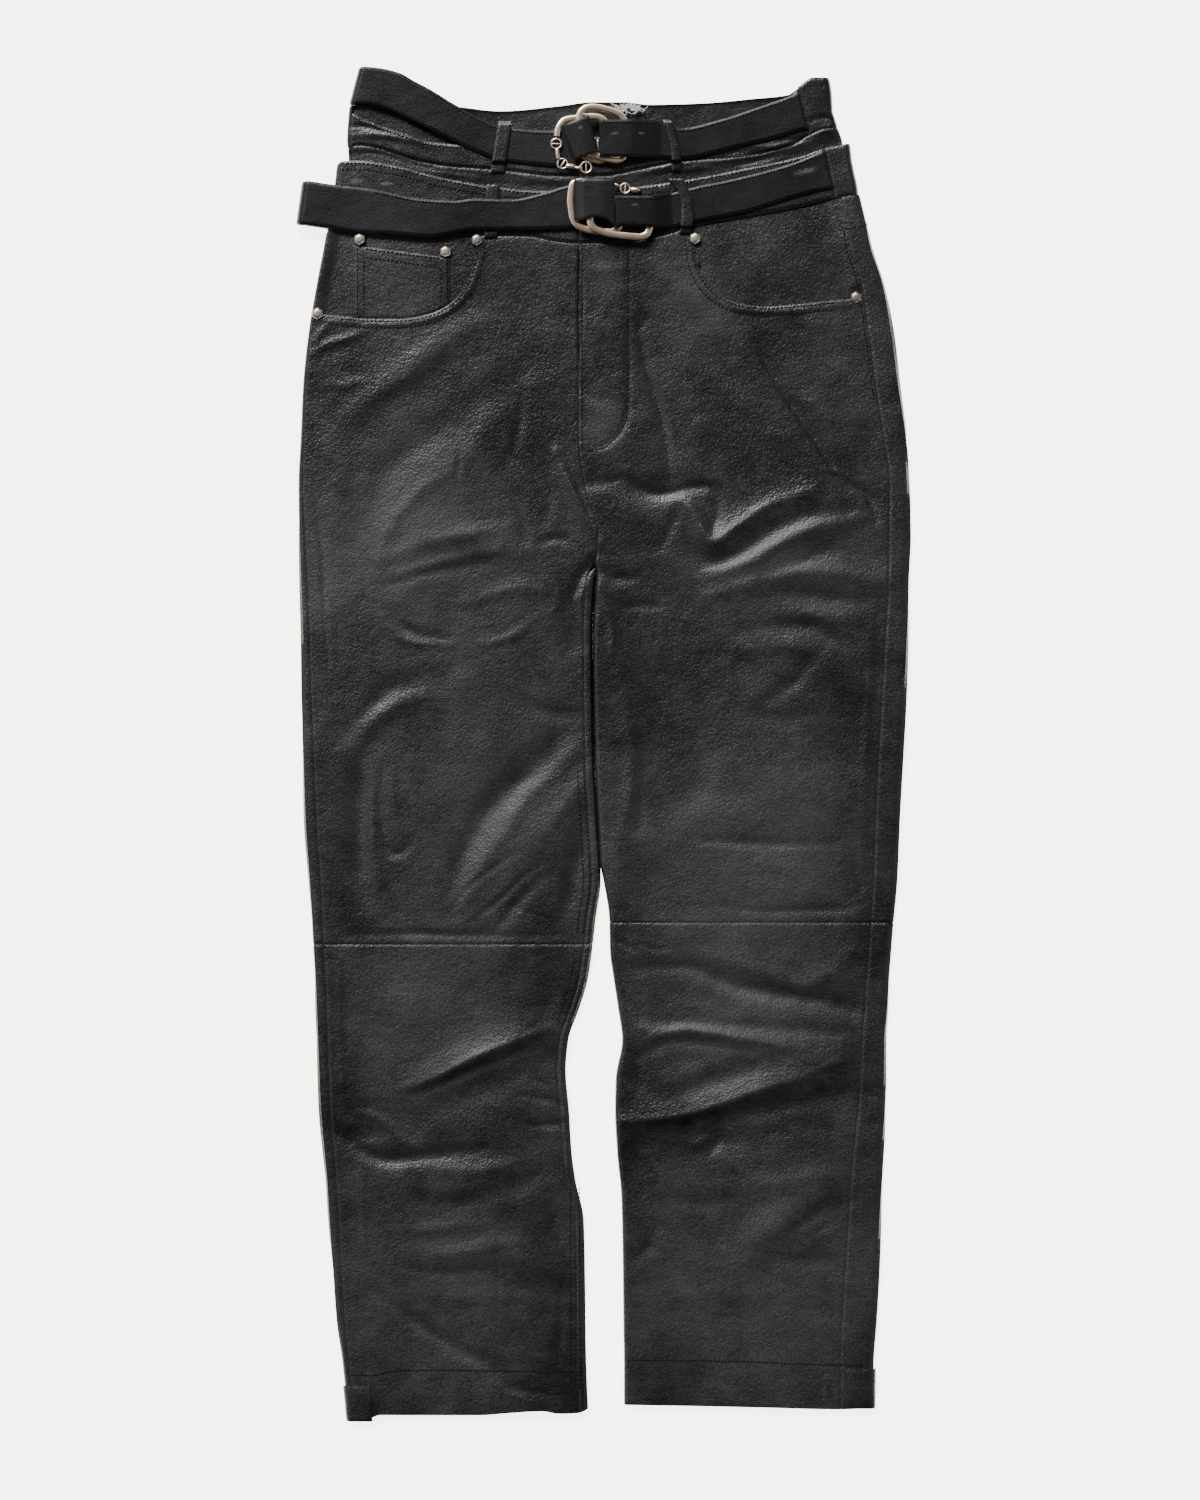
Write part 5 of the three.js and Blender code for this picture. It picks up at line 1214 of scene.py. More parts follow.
@dataclass
class Leg:
    """One leg: the four walls of a flattened tube, and the turned corner of its hem."""

    side: str
    sign: int
    table: tuple[tuple[float, ...], ...]
    knee: float
    hem: Rows
    scoop: Rows
    tube: Tube = field(init=False)

    def __post_init__(self) -> None:
        """Reads the table's columns and makes the leg's tube."""
        outer, seam, inner = columns(self.table, 3)
        sign = self.sign
        self.outer = lambda y: sign * outer(y)
        self.seam = lambda y: sign * seam(y)
        self.inner = lambda y: sign * inner(y)
        self.tube = Tube(sign, self.outer, self.inner, self.top, leg_underside, opens=True)

    def top(self, x: Array, y: Array) -> Array:
        """Height of the top layer: a level, a gentle bulge, the waist's rise and the folds.

        Args:
            x: places across.
            y: places along.

        Returns:
            The heights.
        """
        across = self.sign * x
        out, into = self.outer(y), self.inner(y)
        f = np.clip((across - out) / (into - out), 0, 1)
        leg_like = 1 - smooth(*LEG_TO_TORSO, y)
        bulge = mix(side_reach(across - out), LEG_BULGE * np.sin(math.pi * f), leg_like)
        return PLATEAU + bulge + waist_rise(y) + relief(x, y)

    def span(self, y: Array, face: Face) -> tuple[Array, Array]:
        """Girths at which a layer starts at the side seam and ends at the inseam or the centre.

        Args:
            y: places along.
            face: the layer.

        Returns:
            The first and the last girth at each place.
        """
        tube = self.tube
        inner, share = self.inner(y), closure(y)
        at_seam = tube.outer_girth(self.seam(y) - self.outer(y), y)
        wraps = (self.sign < 0) == (face is Face.TOP)
        if face is Face.TOP:
            start, flat_in, beyond = at_seam, INSEAM_STRIP, INSEAM_UNDER
        else:
            r = tube.radius(inner, y)
            start, flat_in, beyond = -at_seam, r + INSEAM_UNDER, INSEAM_STRIP - r
        if wraps:
            return start, tube.wrap_girth(beyond, y)
        return start, tube.flat_girth(mix(inner, inner - flat_in, share), y)

    def layer(self, u: Array, y: Array, face: Face) -> Array:
        """Points at shares u of a layer's span, at heights y."""
        start, end = self.span(y, face)
        return self.tube.place(mix(start, end, u), y, face)

    def led(self, rows: Array, u: Array, face: Face, top_edge: Edge | None,
            bottom_edge: Edge | None) -> Array:
        """A grid whose first and last rows are led along their own edges.

        Args:
            rows: heights of the rows, from high to low.
            u: shares of the columns.
            face: the layer.
            top_edge: the first row's line, or none where it is straight.
            bottom_edge: the last row's line, or none where it is straight.

        Returns:
            The grid of points.
        """
        y = np.repeat(rows[:, None], len(u), 1)
        across = np.repeat(u[None, :], len(rows), 0)
        base = y.copy()
        for _ in range(3):
            x = self.layer(across, y, face)[..., 0]
            y = base.copy()
            if top_edge:
                y += (top_edge(x) - rows[0]) * smooth(rows[0] - TOP_EASE, rows[0], base)
            if bottom_edge:
                y += (bottom_edge(x) - rows[-1]) * smooth(rows[-1] + HEM_EASE, rows[-1], base)
        return self.layer(across, y, face)

    def mouth_edge(self, u: Array) -> tuple[Array, Array]:
        """The thigh's upper edge: along the pocket's scoop, then along the waistband.

        Args:
            u: shares of the edge's length, from the side seam to the centre.

        Returns:
            Girths and heights of its points.
        """
        scoop = np.array(self.scoop, float)[::-1]
        waist_x = np.linspace(scoop[-2, 0], CENTRE_X, 12)[1:]
        waist_y = LOWER_BOTTOM_LINE(waist_x)
        corner_y = LOWER_BOTTOM_LINE(scoop[-2, 0])
        scoop = scoop[:-1] if scoop[-2, 1] < corner_y else scoop[:-2]
        corner = [[scoop[-1, 0], corner_y]]
        line = np.concatenate([scoop, corner, np.stack([waist_x, waist_y], -1)])
        start_y = line[0, 1]
        start_x = self.sign * (self.seam(start_y) + 0.2)
        inside = self.sign * line[:, 0] > self.sign * start_x + 3
        line = np.concatenate([[[start_x, np.interp(start_x, *self._rising(line))]], line[inside]])
        along = distances(line)
        x, y = curve(along, line, u * along[-1]).T
        start, end = self.span(y, Face.TOP)
        deep = self.sign * x - self.outer(y)
        girth = np.clip(self.tube.outer_girth(deep, y), start, end)
        girth[0], girth[-1] = start[0], end[-1]
        return girth, y

    def _rising(self, line: Array) -> tuple[Array, Array]:
        """The first points of a line in rising x, for interpolation."""
        part = line[:4]
        part = part[np.argsort(part[:, 0])]
        return part[:, 0], part[:, 1]

    def thigh_front(self) -> Array:
        """The thigh's front: a fan from the scooped edge down to level rows.

        Returns:
            The grid of points.
        """
        level_y, knee = THIGH_FAN_BOTTOM, self.knee
        u = marks(FRONT_WIDTH, FRONT_CELL)
        edge_girth, edge_y = self.mouth_edge(u)
        down = marks(2 * (level_y - knee), FRONT_CELL)
        rows = mix(level_y, knee, 2 * down[down >= 0.5] - 1)
        lower = self.led(rows, u, Face.TOP, None, None)
        near_edge = (0, 0.006, 0.013, 0.022, 0.034)
        fan = np.r_[near_edge, np.linspace(0.05, 1, 44)][:, None]
        y = mix(edge_y[None, :], level_y, fan)
        start, end = self.span(y, Face.TOP)
        at_level = mix(*self.span(np.full_like(u, level_y), Face.TOP), u)
        girth = mix(edge_girth[None, :], at_level[None, :], fan)
        upper = self.tube.place(np.clip(girth, start, end), y, Face.TOP)
        return np.concatenate([upper[:-1], lower])

    def build(self, shop: Workshop) -> None:
        """Makes the leg's four walls.

        Args:
            shop: the workshop.
        """
        side, knee = self.side, self.knee
        hem = Profile(self.hem)
        thigh_rows = mix(THIGH_BACK_TOP, knee, marks(THIGH_BACK_TOP - knee, BACK_CELL))
        shin_rows = mix(knee, HEM_LEVEL, marks(knee - HEM_LEVEL, FRONT_CELL))
        shin_back_rows = mix(knee, HEM_LEVEL, marks(knee - HEM_LEVEL, BACK_CELL))
        wide, wide_back = marks(SHIN_WIDTH, FRONT_CELL), marks(FRONT_WIDTH, BACK_CELL)
        grid = self.led(thigh_rows, wide_back, Face.UNDER, LOWER_BOTTOM_LINE, None)
        shop.sheet(f"thigh_back_{side}", grid, LEATHER_WALL, DOWN, roll=Roll(depth=0.45, reach=1.0))
        grid = self.led(shin_back_rows, wide_back, Face.UNDER, None, hem)
        roll = Roll(last_row=False, depth=0.45, reach=1.0)
        shop.sheet(f"shin_back_{side}", grid, LEATHER_WALL, DOWN, roll=roll)
        roll = Roll(depth=0.3, reach=0.8)
        shop.sheet(f"thigh_front_{side}", self.thigh_front(), LEATHER_WALL, UP, roll=roll)
        grid = self.led(shin_rows, wide, Face.TOP, None, hem)
        roll = Roll(last_row=False, depth=0.35, reach=0.9)
        shop.sheet(f"shin_front_{side}", grid, LEATHER_WALL, UP, roll=roll)

    def hem_corner(self, shop: Workshop, width: float, low: float, high: float,
                   wall: float = 1.2) -> None:
        """Makes the turned end of the hem, a strip bent round the outer fold.

        Args:
            shop: the workshop.
            width: how far it reaches in over the top.
            low: its lower end.
            high: its upper end.
            wall: its thickness.
        """
        grown = Tube(
            self.sign, lambda y: self.outer(y) - LAYER_GAP - wall, self.inner,
            lambda x, y: self.top(x, y) + LAYER_GAP + wall, lambda x, y: np.zeros_like(x) - LAYER_GAP - wall)
        y = np.linspace(high, low, 22)[:, None] + np.zeros((1, 26))
        end = grown.flat_girth(grown.outer(y) + width, y)
        grid = grown.place(end * np.linspace(0, 1, 26)[None, :], y, Face.TOP)
        shop.sheet(f"hem_tab_{self.side}", grid, wall, UP,
                   roll=Roll(depth=0.25, reach=0.9))


@dataclass
class Facings:
    """Pocket facings under the scoops, the coin pocket, and the fly's facing."""

    right: Leg
    left: Leg
    drop: float = LEATHER_WALL
    past_scoop: float = 15.0
    under_band: float = 3.0
    right_top: float = 398.0
    left_top: float = 424.0
    side_clear: float = 3.0
    side_blend: float = 9.0
    seam_blend: float = 13.0
    scoop_blend: tuple[float, float] = (14, 6)
    coin_wall: float = 1.2
    coin_height: float = 55.0
    coin_sides: tuple[float, float] = (-194.5, -120.0)
    coin_tops: tuple[float, float] = (389.0, 379.5)
    coin_lap: float = 0.4
    fly_heights: tuple[float, float] = (388, 234)
    fly_round: float = 258.0
    fly_start: float = -27.0
    fly_ends: tuple[float, float] = (-8, 17.5)
    fly_gap: float = 0.9

    def right_level(self, x: Array, y: Array) -> Array:
        """Height of the facing on the wearer's right, which comes up to the front at the side."""
        inside = x - self.right.outer(y) - self.side_clear
        return self.right.top(x, y) - self.drop * smooth(0, self.side_blend, inside)

    def left_level(self, x: Array, y: Array) -> Array:
        """Height of the facing on the wearer's left, which comes up to the front at the side seam.

        Args:
            x: places across.
            y: places along.

        Returns:
            The heights.
        """
        line = Profile(LEFT_SCOOP[2:])
        from_seam = -x - self.left.seam(y)
        sunk = np.maximum(smooth(0, self.seam_blend, from_seam), smooth(*self.scoop_blend, y - line(x)))
        return self.left.top(x, y) - self.drop * sunk

    def facing(self, leg: Leg, scoop_x: float, low: float, start: Edge) -> Array:
        """Places of a facing, from near the side to past the scoop, up to the waistband.

        Args:
            leg: the leg that it belongs to.
            scoop_x: the scoop's inner end.
            low: its lower edge.
            start: its side edge.

        Returns:
            The places across and along.
        """
        u, v = np.linspace(0, 1, 64)[None, :], np.linspace(0, 1, 44)[::-1, None]
        far = leg.sign * scoop_x + self.past_scoop
        top_x = mix(start(np.array(self.right_top if leg.sign > 0 else self.left_top)), far, u)
        y = mix(low, LOWER_BOTTOM_LINE(leg.sign * top_x) + self.under_band, v)
        return np.stack(np.broadcast_arrays(leg.sign * mix(start(y), far, u), y), -1)

    def build(self, shop: Workshop) -> None:
        """Makes the two facings, the coin pocket and the fly's facing.

        Args:
            shop: the workshop.
        """
        right, left = self.right, self.left
        places = self.facing(right, scoop_x=-100, low=320, start=lambda y: right.outer(y) + 2.8)
        self.patch(shop, "pocket_facing_left", places, self.right_level, FACING_WALL, "thigh_back_left")
        places = self.facing(left, scoop_x=70, low=330, start=left.seam)
        self.patch(shop, "pocket_facing_right", places, self.left_level, FACING_WALL, "thigh_back_right")
        self.coin(shop)
        y = np.linspace(*self.fly_heights, 60)[:, None]
        end = mix(*self.fly_ends, np.sqrt(smooth(self.fly_heights[1], self.fly_round, y)))
        x = mix(self.fly_start, end, np.linspace(0, 1, 22)[None, :])
        x, y = np.broadcast_arrays(x, y)
        front = lambda a, b: np.where(a < CENTRE_X, right.top(a, b), left.top(a, b))
        level = lambda a, b: front(a, b) - LEATHER_WALL - self.fly_gap
        self.patch(shop, "fly_facing", np.stack([x, y], -1), level, FACING_WALL, "thigh_back_right")

    def coin(self, shop: Workshop) -> None:
        """Makes the coin pocket, whose lower edge follows the mouth of the scoop.

        Args:
            shop: the workshop.
        """
        line = Profile([(x, y) for x, y in RIGHT_SCOOP[3:]])
        u, v = np.linspace(0, 1, 50)[None, :], marks(self.coin_height, BAND_CELL)[:, None]
        x = mix(*self.coin_sides, u)
        y = mix(mix(*self.coin_tops, u), line(x) + self.coin_lap, v)
        x, y = np.broadcast_arrays(x, y)
        level = lambda a, b: self.right_level(a, b) + self.coin_wall
        self.patch(shop, "coin_pocket", np.stack([x, y], -1), level, self.coin_wall, "pocket_facing_left",
                   Roll(depth=0.45, reach=1.1))

    @staticmethod
    def patch(shop: Workshop, node: str, places: Array, level: Height, wall: float, below: str,
              roll: Roll = NO_ROLL) -> None:
        """Makes a wall over a grid of places, at the height that level gives."""
        z = level(places[..., 0], places[..., 1])
        grid = np.concatenate([places, z[..., None]], -1)
        shop.sheet(node, grid, wall, UP, roll=roll)


@dataclass
class WaistBand:
    """A band of the waist: front walls, an optional side wall, and a back wall on one tube."""

    name: str
    tube: Tube
    bottom: Edge
    front_top: Edge
    back_top: Edge
    side_seam: Edge | None
    finish: Finish = Finish.BAND
    side_seam_in: float = 2.6
    side_under: float = 34.0
    yoke_side_in: float = 3.0
    height: float = 42.0
    rounds: int = 6

    def wall(self, face: Face, top: Edge, first: Edge, last: Edge, length: float) -> Array:
        """A grid between the band's edges, from one girth to another.

        Args:
            face: the layer that positive girths lie on.
            top: the upper edge.
            first: gives the girth of the first column at each height.
            last: gives the girth of the last column.
            length: about how long it is.

        Returns:
            The grid of points.
        """
        u = marks(length, BAND_CELL)[None, :]
        share = marks(self.height, BAND_CELL)[::-1, None]
        x = np.zeros((share.size, u.size))
        for _ in range(self.rounds):
            y = mix(self.bottom(x), top(x), share)
            grid = self.tube.place(mix(first(y), last(y), u), y, face)
            x = grid[..., 0]
        return grid

    def build(self, shop: Workshop) -> None:
        """Makes the band's walls.

        Args:
            shop: the workshop.
        """
        t = self.tube
        side_top = lambda y: t.outer_girth(self.side_seam_in, y)
        side_back = lambda y: -t.outer_girth(self.side_seam_in, y)
        centre = lambda y: t.flat_girth(CENTRE_X, y)
        roll = Roll(depth=0.5, reach=1.2)
        back = f"{self.name}_back"
        if self.side_seam:
            seam = lambda y: t.flat_girth(self.side_seam(y), y)
            ends = lambda y: t.wrap_girth(self.side_under - t.radius(t.inner(y), y), y)
            back_end = lambda y: t.flat_girth(t.inner(y) - self.side_under, y)
            grid = self.wall(Face.TOP, self.back_top, seam, ends, 70)
            shop.sheet(f"{self.name}_side", grid, LEATHER_WALL, (1, 0, 0.3), self.finish, roll)
        else:
            seam = lambda y: t.inner_girth(self.yoke_side_in, y, Face.TOP)
            back_end = lambda y: t.inner_girth(self.yoke_side_in, y, Face.UNDER)
        grid = self.wall(Face.UNDER, self.back_top, side_back, back_end, 400)
        shop.sheet(back, grid, LEATHER_WALL, DOWN, self.finish, roll)
        grid = self.wall(Face.TOP, self.front_top, side_top, centre, 190)
        shop.sheet(f"{self.name}_front_left", grid, LEATHER_WALL, UP, self.finish, roll)
        grid = self.wall(Face.TOP, self.front_top, centre, seam, 200)
        shop.sheet(f"{self.name}_front_right", grid, LEATHER_WALL, UP, self.finish, roll)


def lower_band_top(x: Array, y: Array) -> Array:
    """Height of the lower band's outer face."""
    return torso_top(x, y) + LOWER_BAND_LIFT


def lower_belt_base(x: Array, y: Array) -> Array:
    """Height on which the lower belt lies."""
    return lower_band_top(x, y) + LAYER_GAP


def upper_belt_base(x: Array, y: Array) -> Array:
    """Height on which the upper belt lies."""
    return torso_top(x, y) - TUCK_DROP + TUCK_RECOVER + LAYER_GAP


@dataclass
class FoldedBelt:
    """A belt part whose far end folds round the side and returns beneath."""

    node: str
    low: Rows
    high: Rows
    fold: tuple[float, float]
    back: tuple[float, float]
    end: float
    lift: float
    base: Height
    below: str
    width: float = 33.0
    first_stitch: float = 62.0

    def build(self, shop: Workshop) -> None:
        """Makes the belt: the return beneath, a half circle round the side, and the length on top.

        Args:
            shop: the workshop.
        """
        low, high = Profile(self.low), Profile(self.high)
        v = marks(self.width, BELT_CELL)[:, None]
        fold_x = mix(*self.fold, v)
        probe = np.array([mix(*self.fold, 0.5) + 6])
        r = float(self.base(probe, low(np.array([self.fold[0]])))[0] + self.lift + BELT_THICK) / 2
        y_at = lambda x: mix(low(x), high(x), v)
        share = np.linspace(1, 0, max(8, round(self.back[0] / 2)))[None, :-1]
        under_x = fold_x + r + self.back[0] * share
        under = (under_x, y_at(fold_x + r) - self.back[1] * share, 0 * under_x)
        angle = np.radians(np.linspace(-90, 90, 25))[None, :]
        round_x = fold_x + r - r * np.cos(angle)
        turn = (round_x, y_at(fold_x + r) + 0 * angle, r + r * np.sin(angle) + 0 * v)
        f = np.linspace(0, 1, round((self.end - self.fold[0]) / 1.5))[None, 1:]
        x = mix(fold_x + r, self.end, f)
        y = y_at(x)
        z = mix(2 * r, self.base(x, y) + self.lift + BELT_THICK, smooth(0, 0.25, f))
        over = (x, y, z)
        parts = [np.stack(np.broadcast_arrays(*p), -1) for p in (under, turn, over)]
        grid = np.concatenate(parts, 1)
        roll = Roll(first_column=False, last_column=False, depth=0.6, reach=0.9)
        shop.sheet(self.node, grid, BELT_THICK, (-0.3, 0, 1), Finish.BELT, roll)
        settled = lambda a, b: self.base(a, b) + self.lift + BELT_THICK
        across = np.linspace(self.fold[0] + self.first_stitch, self.end - 8, 50)
        sew_edges(shop, self.node, low, high, across, settled)


@dataclass
class SewnBelt:
    """A belt part from the buckle to the seam at the side, which rises over the buckle's bars."""

    node: str
    low: Rows
    high: Rows
    start: float
    seam: tuple[float, float]
    rise: Rows
    base: Height
    below: str
    width: float = 30.0

    def build(self, shop: Workshop) -> None:
        """Makes the belt between its two edges, at the base's height plus the rise.

        Args:
            shop: the workshop.
        """
        low, high, rise = Profile(self.low), Profile(self.high), Profile(self.rise)
        v, u = marks(self.width, BELT_CELL)[:, None], np.linspace(0, 1, 120)[None, :]
        x = mix(self.start, mix(*self.seam, v), u)
        y = mix(low(x), high(x), v)
        z = self.base(x, y) + BELT_THICK + rise(x)
        roll = Roll(first_column=False, depth=0.6, reach=0.9)
        shop.sheet(self.node, np.stack([x, y, z], -1), BELT_THICK, UP, Finish.BELT, roll)
        top = lambda a, b: self.base(a, b) + BELT_THICK + rise(a)
        across = np.linspace(self.start + 2, self.seam[1] - 4, 50)
        sew_edges(shop, self.node, low, high, across, top)


@dataclass
class BeltLoop:
    """A loop that crosses a belt on a raised bridge and lies down beyond its edges."""

    node: str
    high: float
    low: float
    left: Rows
    right: Rows
    stops: tuple[float, float, float, float]
    clear: float
    base: Height
    bridge: float = BELT_THICK + LAYER_GAP

    def build(self, shop: Workshop) -> None:
        """Makes the loop: raised between its stops, level with the band beyond them.

        Args:
            shop: the workshop.
        """
        f, u = np.linspace(0, 1, 60)[:, None], marks(10.5, 0.9)[None, :]
        y = mix(self.high, self.low, f)
        x = mix(Profile(self.left)(y), Profile(self.right)(y), u)
        up_end, up_top, down_top, down_end = self.stops
        raised = np.interp(f, [0, up_end, up_top, down_top, down_end, 1], [0, 0, 1, 1, 0, 0])
        x, y, raised = np.broadcast_arrays(x, y, raised)
        z = self.base(x, y) + self.clear + raised * self.bridge + LOOP_THICK
        roll = Roll(depth=0.4, reach=0.8)
        belt = self.node.replace("belt_loop", "belt") + "_leather"
        shop.sheet(self.node, np.stack([x, y, z], -1), LOOP_THICK, UP, Finish.BAND, roll)


@dataclass
class BuckleFrame:
    """A buckle's rail: a flattened bar with rounded edges along a line on a tilted plane."""

    node: str
    path: Rows
    closed: bool
    z: float
    tilt: float
    wide: float
    high: float = 2.6
    squareness: float = 0.55
    spread: float = 2.2
    samples: int = 140
    fine: int = 900
    around: int = 16

    def line(self) -> Array:
        """The rail's middle line: a smooth curve through the path, evenly spaced.

        Returns:
            The line's points.
        """
        points = np.array(self.path, float)
        if self.closed:
            points = np.concatenate([points, points[:1]])
        along = distances(points)
        if self.closed:
            period = along[-1]
            along = np.concatenate([along[:-1] - period, along, along[1:] + period])
            points = np.concatenate([points[:-1], points, points[1:]])
            s = np.linspace(0, period, self.samples, endpoint=False)
        else:
            s = np.linspace(0, along[-1], self.samples)
        at = np.linspace(along[0], along[-1], self.fine)
        near = np.exp(-(((s[:, None] - at[None, :]) / self.spread) ** 2))
        smoothed = near @ self.between(at, along, points) / near.sum(1, keepdims=True)
        if not self.closed:
            ends = smooth(0, 5, np.minimum(s, s[-1] - s))[:, None]
            smoothed = mix(self.between(s, along, points), smoothed, ends)
        return smoothed

    @staticmethod
    def between(at: Array, along: Array, points: Array) -> Array:
        """Places on the straight lines between points, at distances along them."""
        return np.stack([np.interp(at, along, points[:, c]) for c in (0, 1)], -1)

    def build(self, shop: Workshop) -> None:
        """Makes the rail: a rounded oblong profile carried along the line.

        Args:
            shop: the workshop.
        """
        line = self.line()
        ahead = np.roll(line, -1, 0) - np.roll(line, 1, 0)
        if not self.closed:
            ahead[0], ahead[-1] = line[1] - line[0], line[-1] - line[-2]
        ahead /= np.linalg.norm(ahead, axis=1, keepdims=True)
        side = np.stack([-ahead[:, 1], ahead[:, 0]], -1)
        angle = np.linspace(0, 2 * math.pi, self.around, endpoint=False) + math.pi / self.around
        c, s = np.cos(angle), np.sin(angle)
        wide = self.wide / 2 * np.sign(c) * np.abs(c) ** self.squareness
        tall = self.high / 2 * np.sign(s) * np.abs(s) ** self.squareness
        xy = line[:, None, :] + side[:, None, :] * wide[None, :, None]
        middle = self.z + self.tilt * (line[:, 0] - self.path[0][0]) + self.high / 2
        z = middle[:, None] + tall[None, :]
        points = np.concatenate([xy, z[..., None]], -1)
        shop.piece(f"{self.node}_metal", *tube_faces(points, self.closed), Finish.METAL, self.node, 60)


def tube_faces(rings: Array, closed: bool) -> tuple[Array, list]:
    """Joins rings of points into a tube, closed on itself or capped at both ends.

    Args:
        rings: one row of points for each ring.
        closed: true where the last ring joins the first.

    Returns:
        The points, and the faces, turned outwards.
    """
    count, around = rings.shape[:2]
    k = np.arange(count * around).reshape(count, around)
    k = np.concatenate([k, k[:1]]) if closed else k
    k = np.concatenate([k, k[:, :1]], 1)
    face = np.stack([k[:-1, :-1], k[:-1, 1:], k[1:, 1:], k[1:, :-1]], -1).reshape(-1, 4)
    points = rings.reshape(-1, 3)
    corner = points[face]
    centre = points.mean(0)
    normal = np.cross(corner[:, 1] - centre, corner[:, 2] - centre)
    turned = np.einsum("ij,ij->i", corner[:, 0] - centre, normal).sum() < 0
    faces = [tuple(f) for f in (face[:, ::-1] if turned else face)]
    if not closed:
        first, last = list(range(around)), list(range((count - 1) * around, count * around))
        faces += [tuple(first), tuple(last[::-1])] if turned else [tuple(first[::-1]), tuple(last)]
    return points, faces


@dataclass
class BeltTurn:
    """The turned end of a belt, lying over the buckle's bars."""

    node: str
    low_left: tuple[float, float]
    low_right: tuple[float, float]
    high_left: tuple[float, float]
    high_right: tuple[float, float]
    under: Rows
    low_line: Rows | None = None
    wall: float = 1.6
    width: float = 30.0
    length: float = 32.0

    def build(self, shop: Workshop) -> None:
        """Makes the piece: corners joined by straight lines, arched by the line of heights.

        Args:
            shop: the workshop.
        """
        u, v = marks(self.width, 0.9)[None, :], marks(self.length, 1.2)[::-1, None]
        corners = [np.array(p) for p in (self.low_left, self.low_right, self.high_left, self.high_right)]
        low = corners[0] + (corners[1] - corners[0]) * u[..., None]
        high = corners[2] + (corners[3] - corners[2]) * u[..., None]
        if self.low_line:
            low = np.stack([low[..., 0], Profile(self.low_line)(low[..., 0])], -1)
        xy = low + (high - low) * v[..., None]
        z = Profile(self.under)(np.broadcast_to(u, xy.shape[:2])) + self.wall
        grid = np.concatenate([xy, z[..., None]], -1)
        shop.sheet(self.node, grid, self.wall, UP, Finish.BELT, Roll(depth=0.5, reach=0.9))


@dataclass
class Chain:
    """A short fixed chain: round links with a bar, and links seen on edge as oval beads."""

    node: str
    links: tuple[tuple[float, float, float, float], ...]
    beads: tuple[tuple[float, float, float, float, float], ...]
    z: float
    tube: float = 0.78
    bar: float = 0.6

    def build(self, shop: Workshop) -> None:
        """Makes all rings, bars and beads as one piece.

        Args:
            shop: the workshop.
        """
        points, faces, total = [], [], 0
        a = np.linspace(0, 2 * math.pi, 36, endpoint=False)[:, None]
        b = np.linspace(0, 2 * math.pi, 12, endpoint=False)[None, :]
        for x, y, radius, bar in self.links:
            middle, way = np.array([x, y, self.z]), direction(bar) * radius
            out = radius + self.tube * np.cos(b)
            ring = np.stack(np.broadcast_arrays(out * np.cos(a), out * np.sin(a), self.tube * np.sin(b)), -1)
            total = self.append(points, faces, total, *tube_faces(middle + ring, True))
            rod = capsule(middle - way, middle + way, self.bar, self.bar)
            total = self.append(points, faces, total, *rod)
        for x, y, length, wide, turn in self.beads:
            middle, way = np.array([x, y, self.z]), direction(turn) * length / 2
            bead = capsule(middle - way, middle + way, wide / 2, wide / 2)
            total = self.append(points, faces, total, *bead)
        shop.piece(f"{self.node}_metal", np.concatenate(points), faces, Finish.METAL, self.node, 60)

    @staticmethod
    def append(points: list, faces: list, total: int, new: Array, new_faces: list) -> int:
        """Adds a part's points and faces and returns the new number of points."""
        points.append(new)
        faces.extend(tuple(int(i) + total for i in f) for f in new_faces)
        return total + len(new)


def direction(degrees: float) -> Array:
    """The level unit vector that is turned by an angle from +X."""
    return np.array([math.cos(math.radians(degrees)), math.sin(math.radians(degrees)), 0])


def capsule(start: Array, end: Array, radius: float, cap: float, around: int = 10) -> tuple[Array, list]:
    """A rod with rounded ends between two points.

    Args:
        start: one end.
        end: the other end.
        radius: its radius.
        cap: length of each rounded end.
        around: points round it.

    Returns:
        Its points and faces.
    """
    way = end - start
    length = float(np.linalg.norm(way))
    way = way / length
    side = np.cross(way, [0, 0, 1.0]) if abs(way[2]) < 0.9 else np.array([1.0, 0, 0])
    side /= np.linalg.norm(side)
    up = np.cross(side, way)
    t = np.array([0.02, 0.25, 0.6, 1.0])
    s = np.r_[t * cap, length - t[::-1] * cap]
    size = np.r_[np.sqrt(1 - (1 - t) ** 2), np.sqrt(1 - (1 - t[::-1]) ** 2)] * radius
    a = np.linspace(0, 2 * math.pi, around, endpoint=False)
    circle = np.cos(a)[:, None] * side + np.sin(a)[:, None] * up
    rings = start + s[:, None, None] * way + size[:, None, None] * circle[None]
    return tube_faces(rings, False)


@dataclass
class Rivet:
    """A six-sided rivet with bevelled edges and a slightly domed top."""

    node: str
    x: float
    y: float
    seat: float
    radius: float = 4.8
    profile: Rows = (
        (0.93, 0.0), (1.0, 0.15), (1.0, 0.8), (0.92, 1.25), (0.84, 1.25), (0.76, 0.9), (0.72, 1.3),
        (0.5, 1.6), (0.25, 1.58))

    def build(self, shop: Workshop) -> None:
        """Makes the rivet from six-sided rings whose size and height follow the bevelled profile.

        Args:
            shop: the workshop.
        """
        a = np.radians(np.arange(6) * 60 + 90)
        share, height = np.hsplit(np.array(self.profile), 2)
        x, y = self.x + self.radius * share * np.cos(a), self.y + self.radius * share * np.sin(a)
        rings = np.stack([x, y, self.seat + height + 0 * a], -1)
        shop.piece(f"{self.node}_metal", *tube_faces(rings, False), Finish.RIVET, self.node, 20)


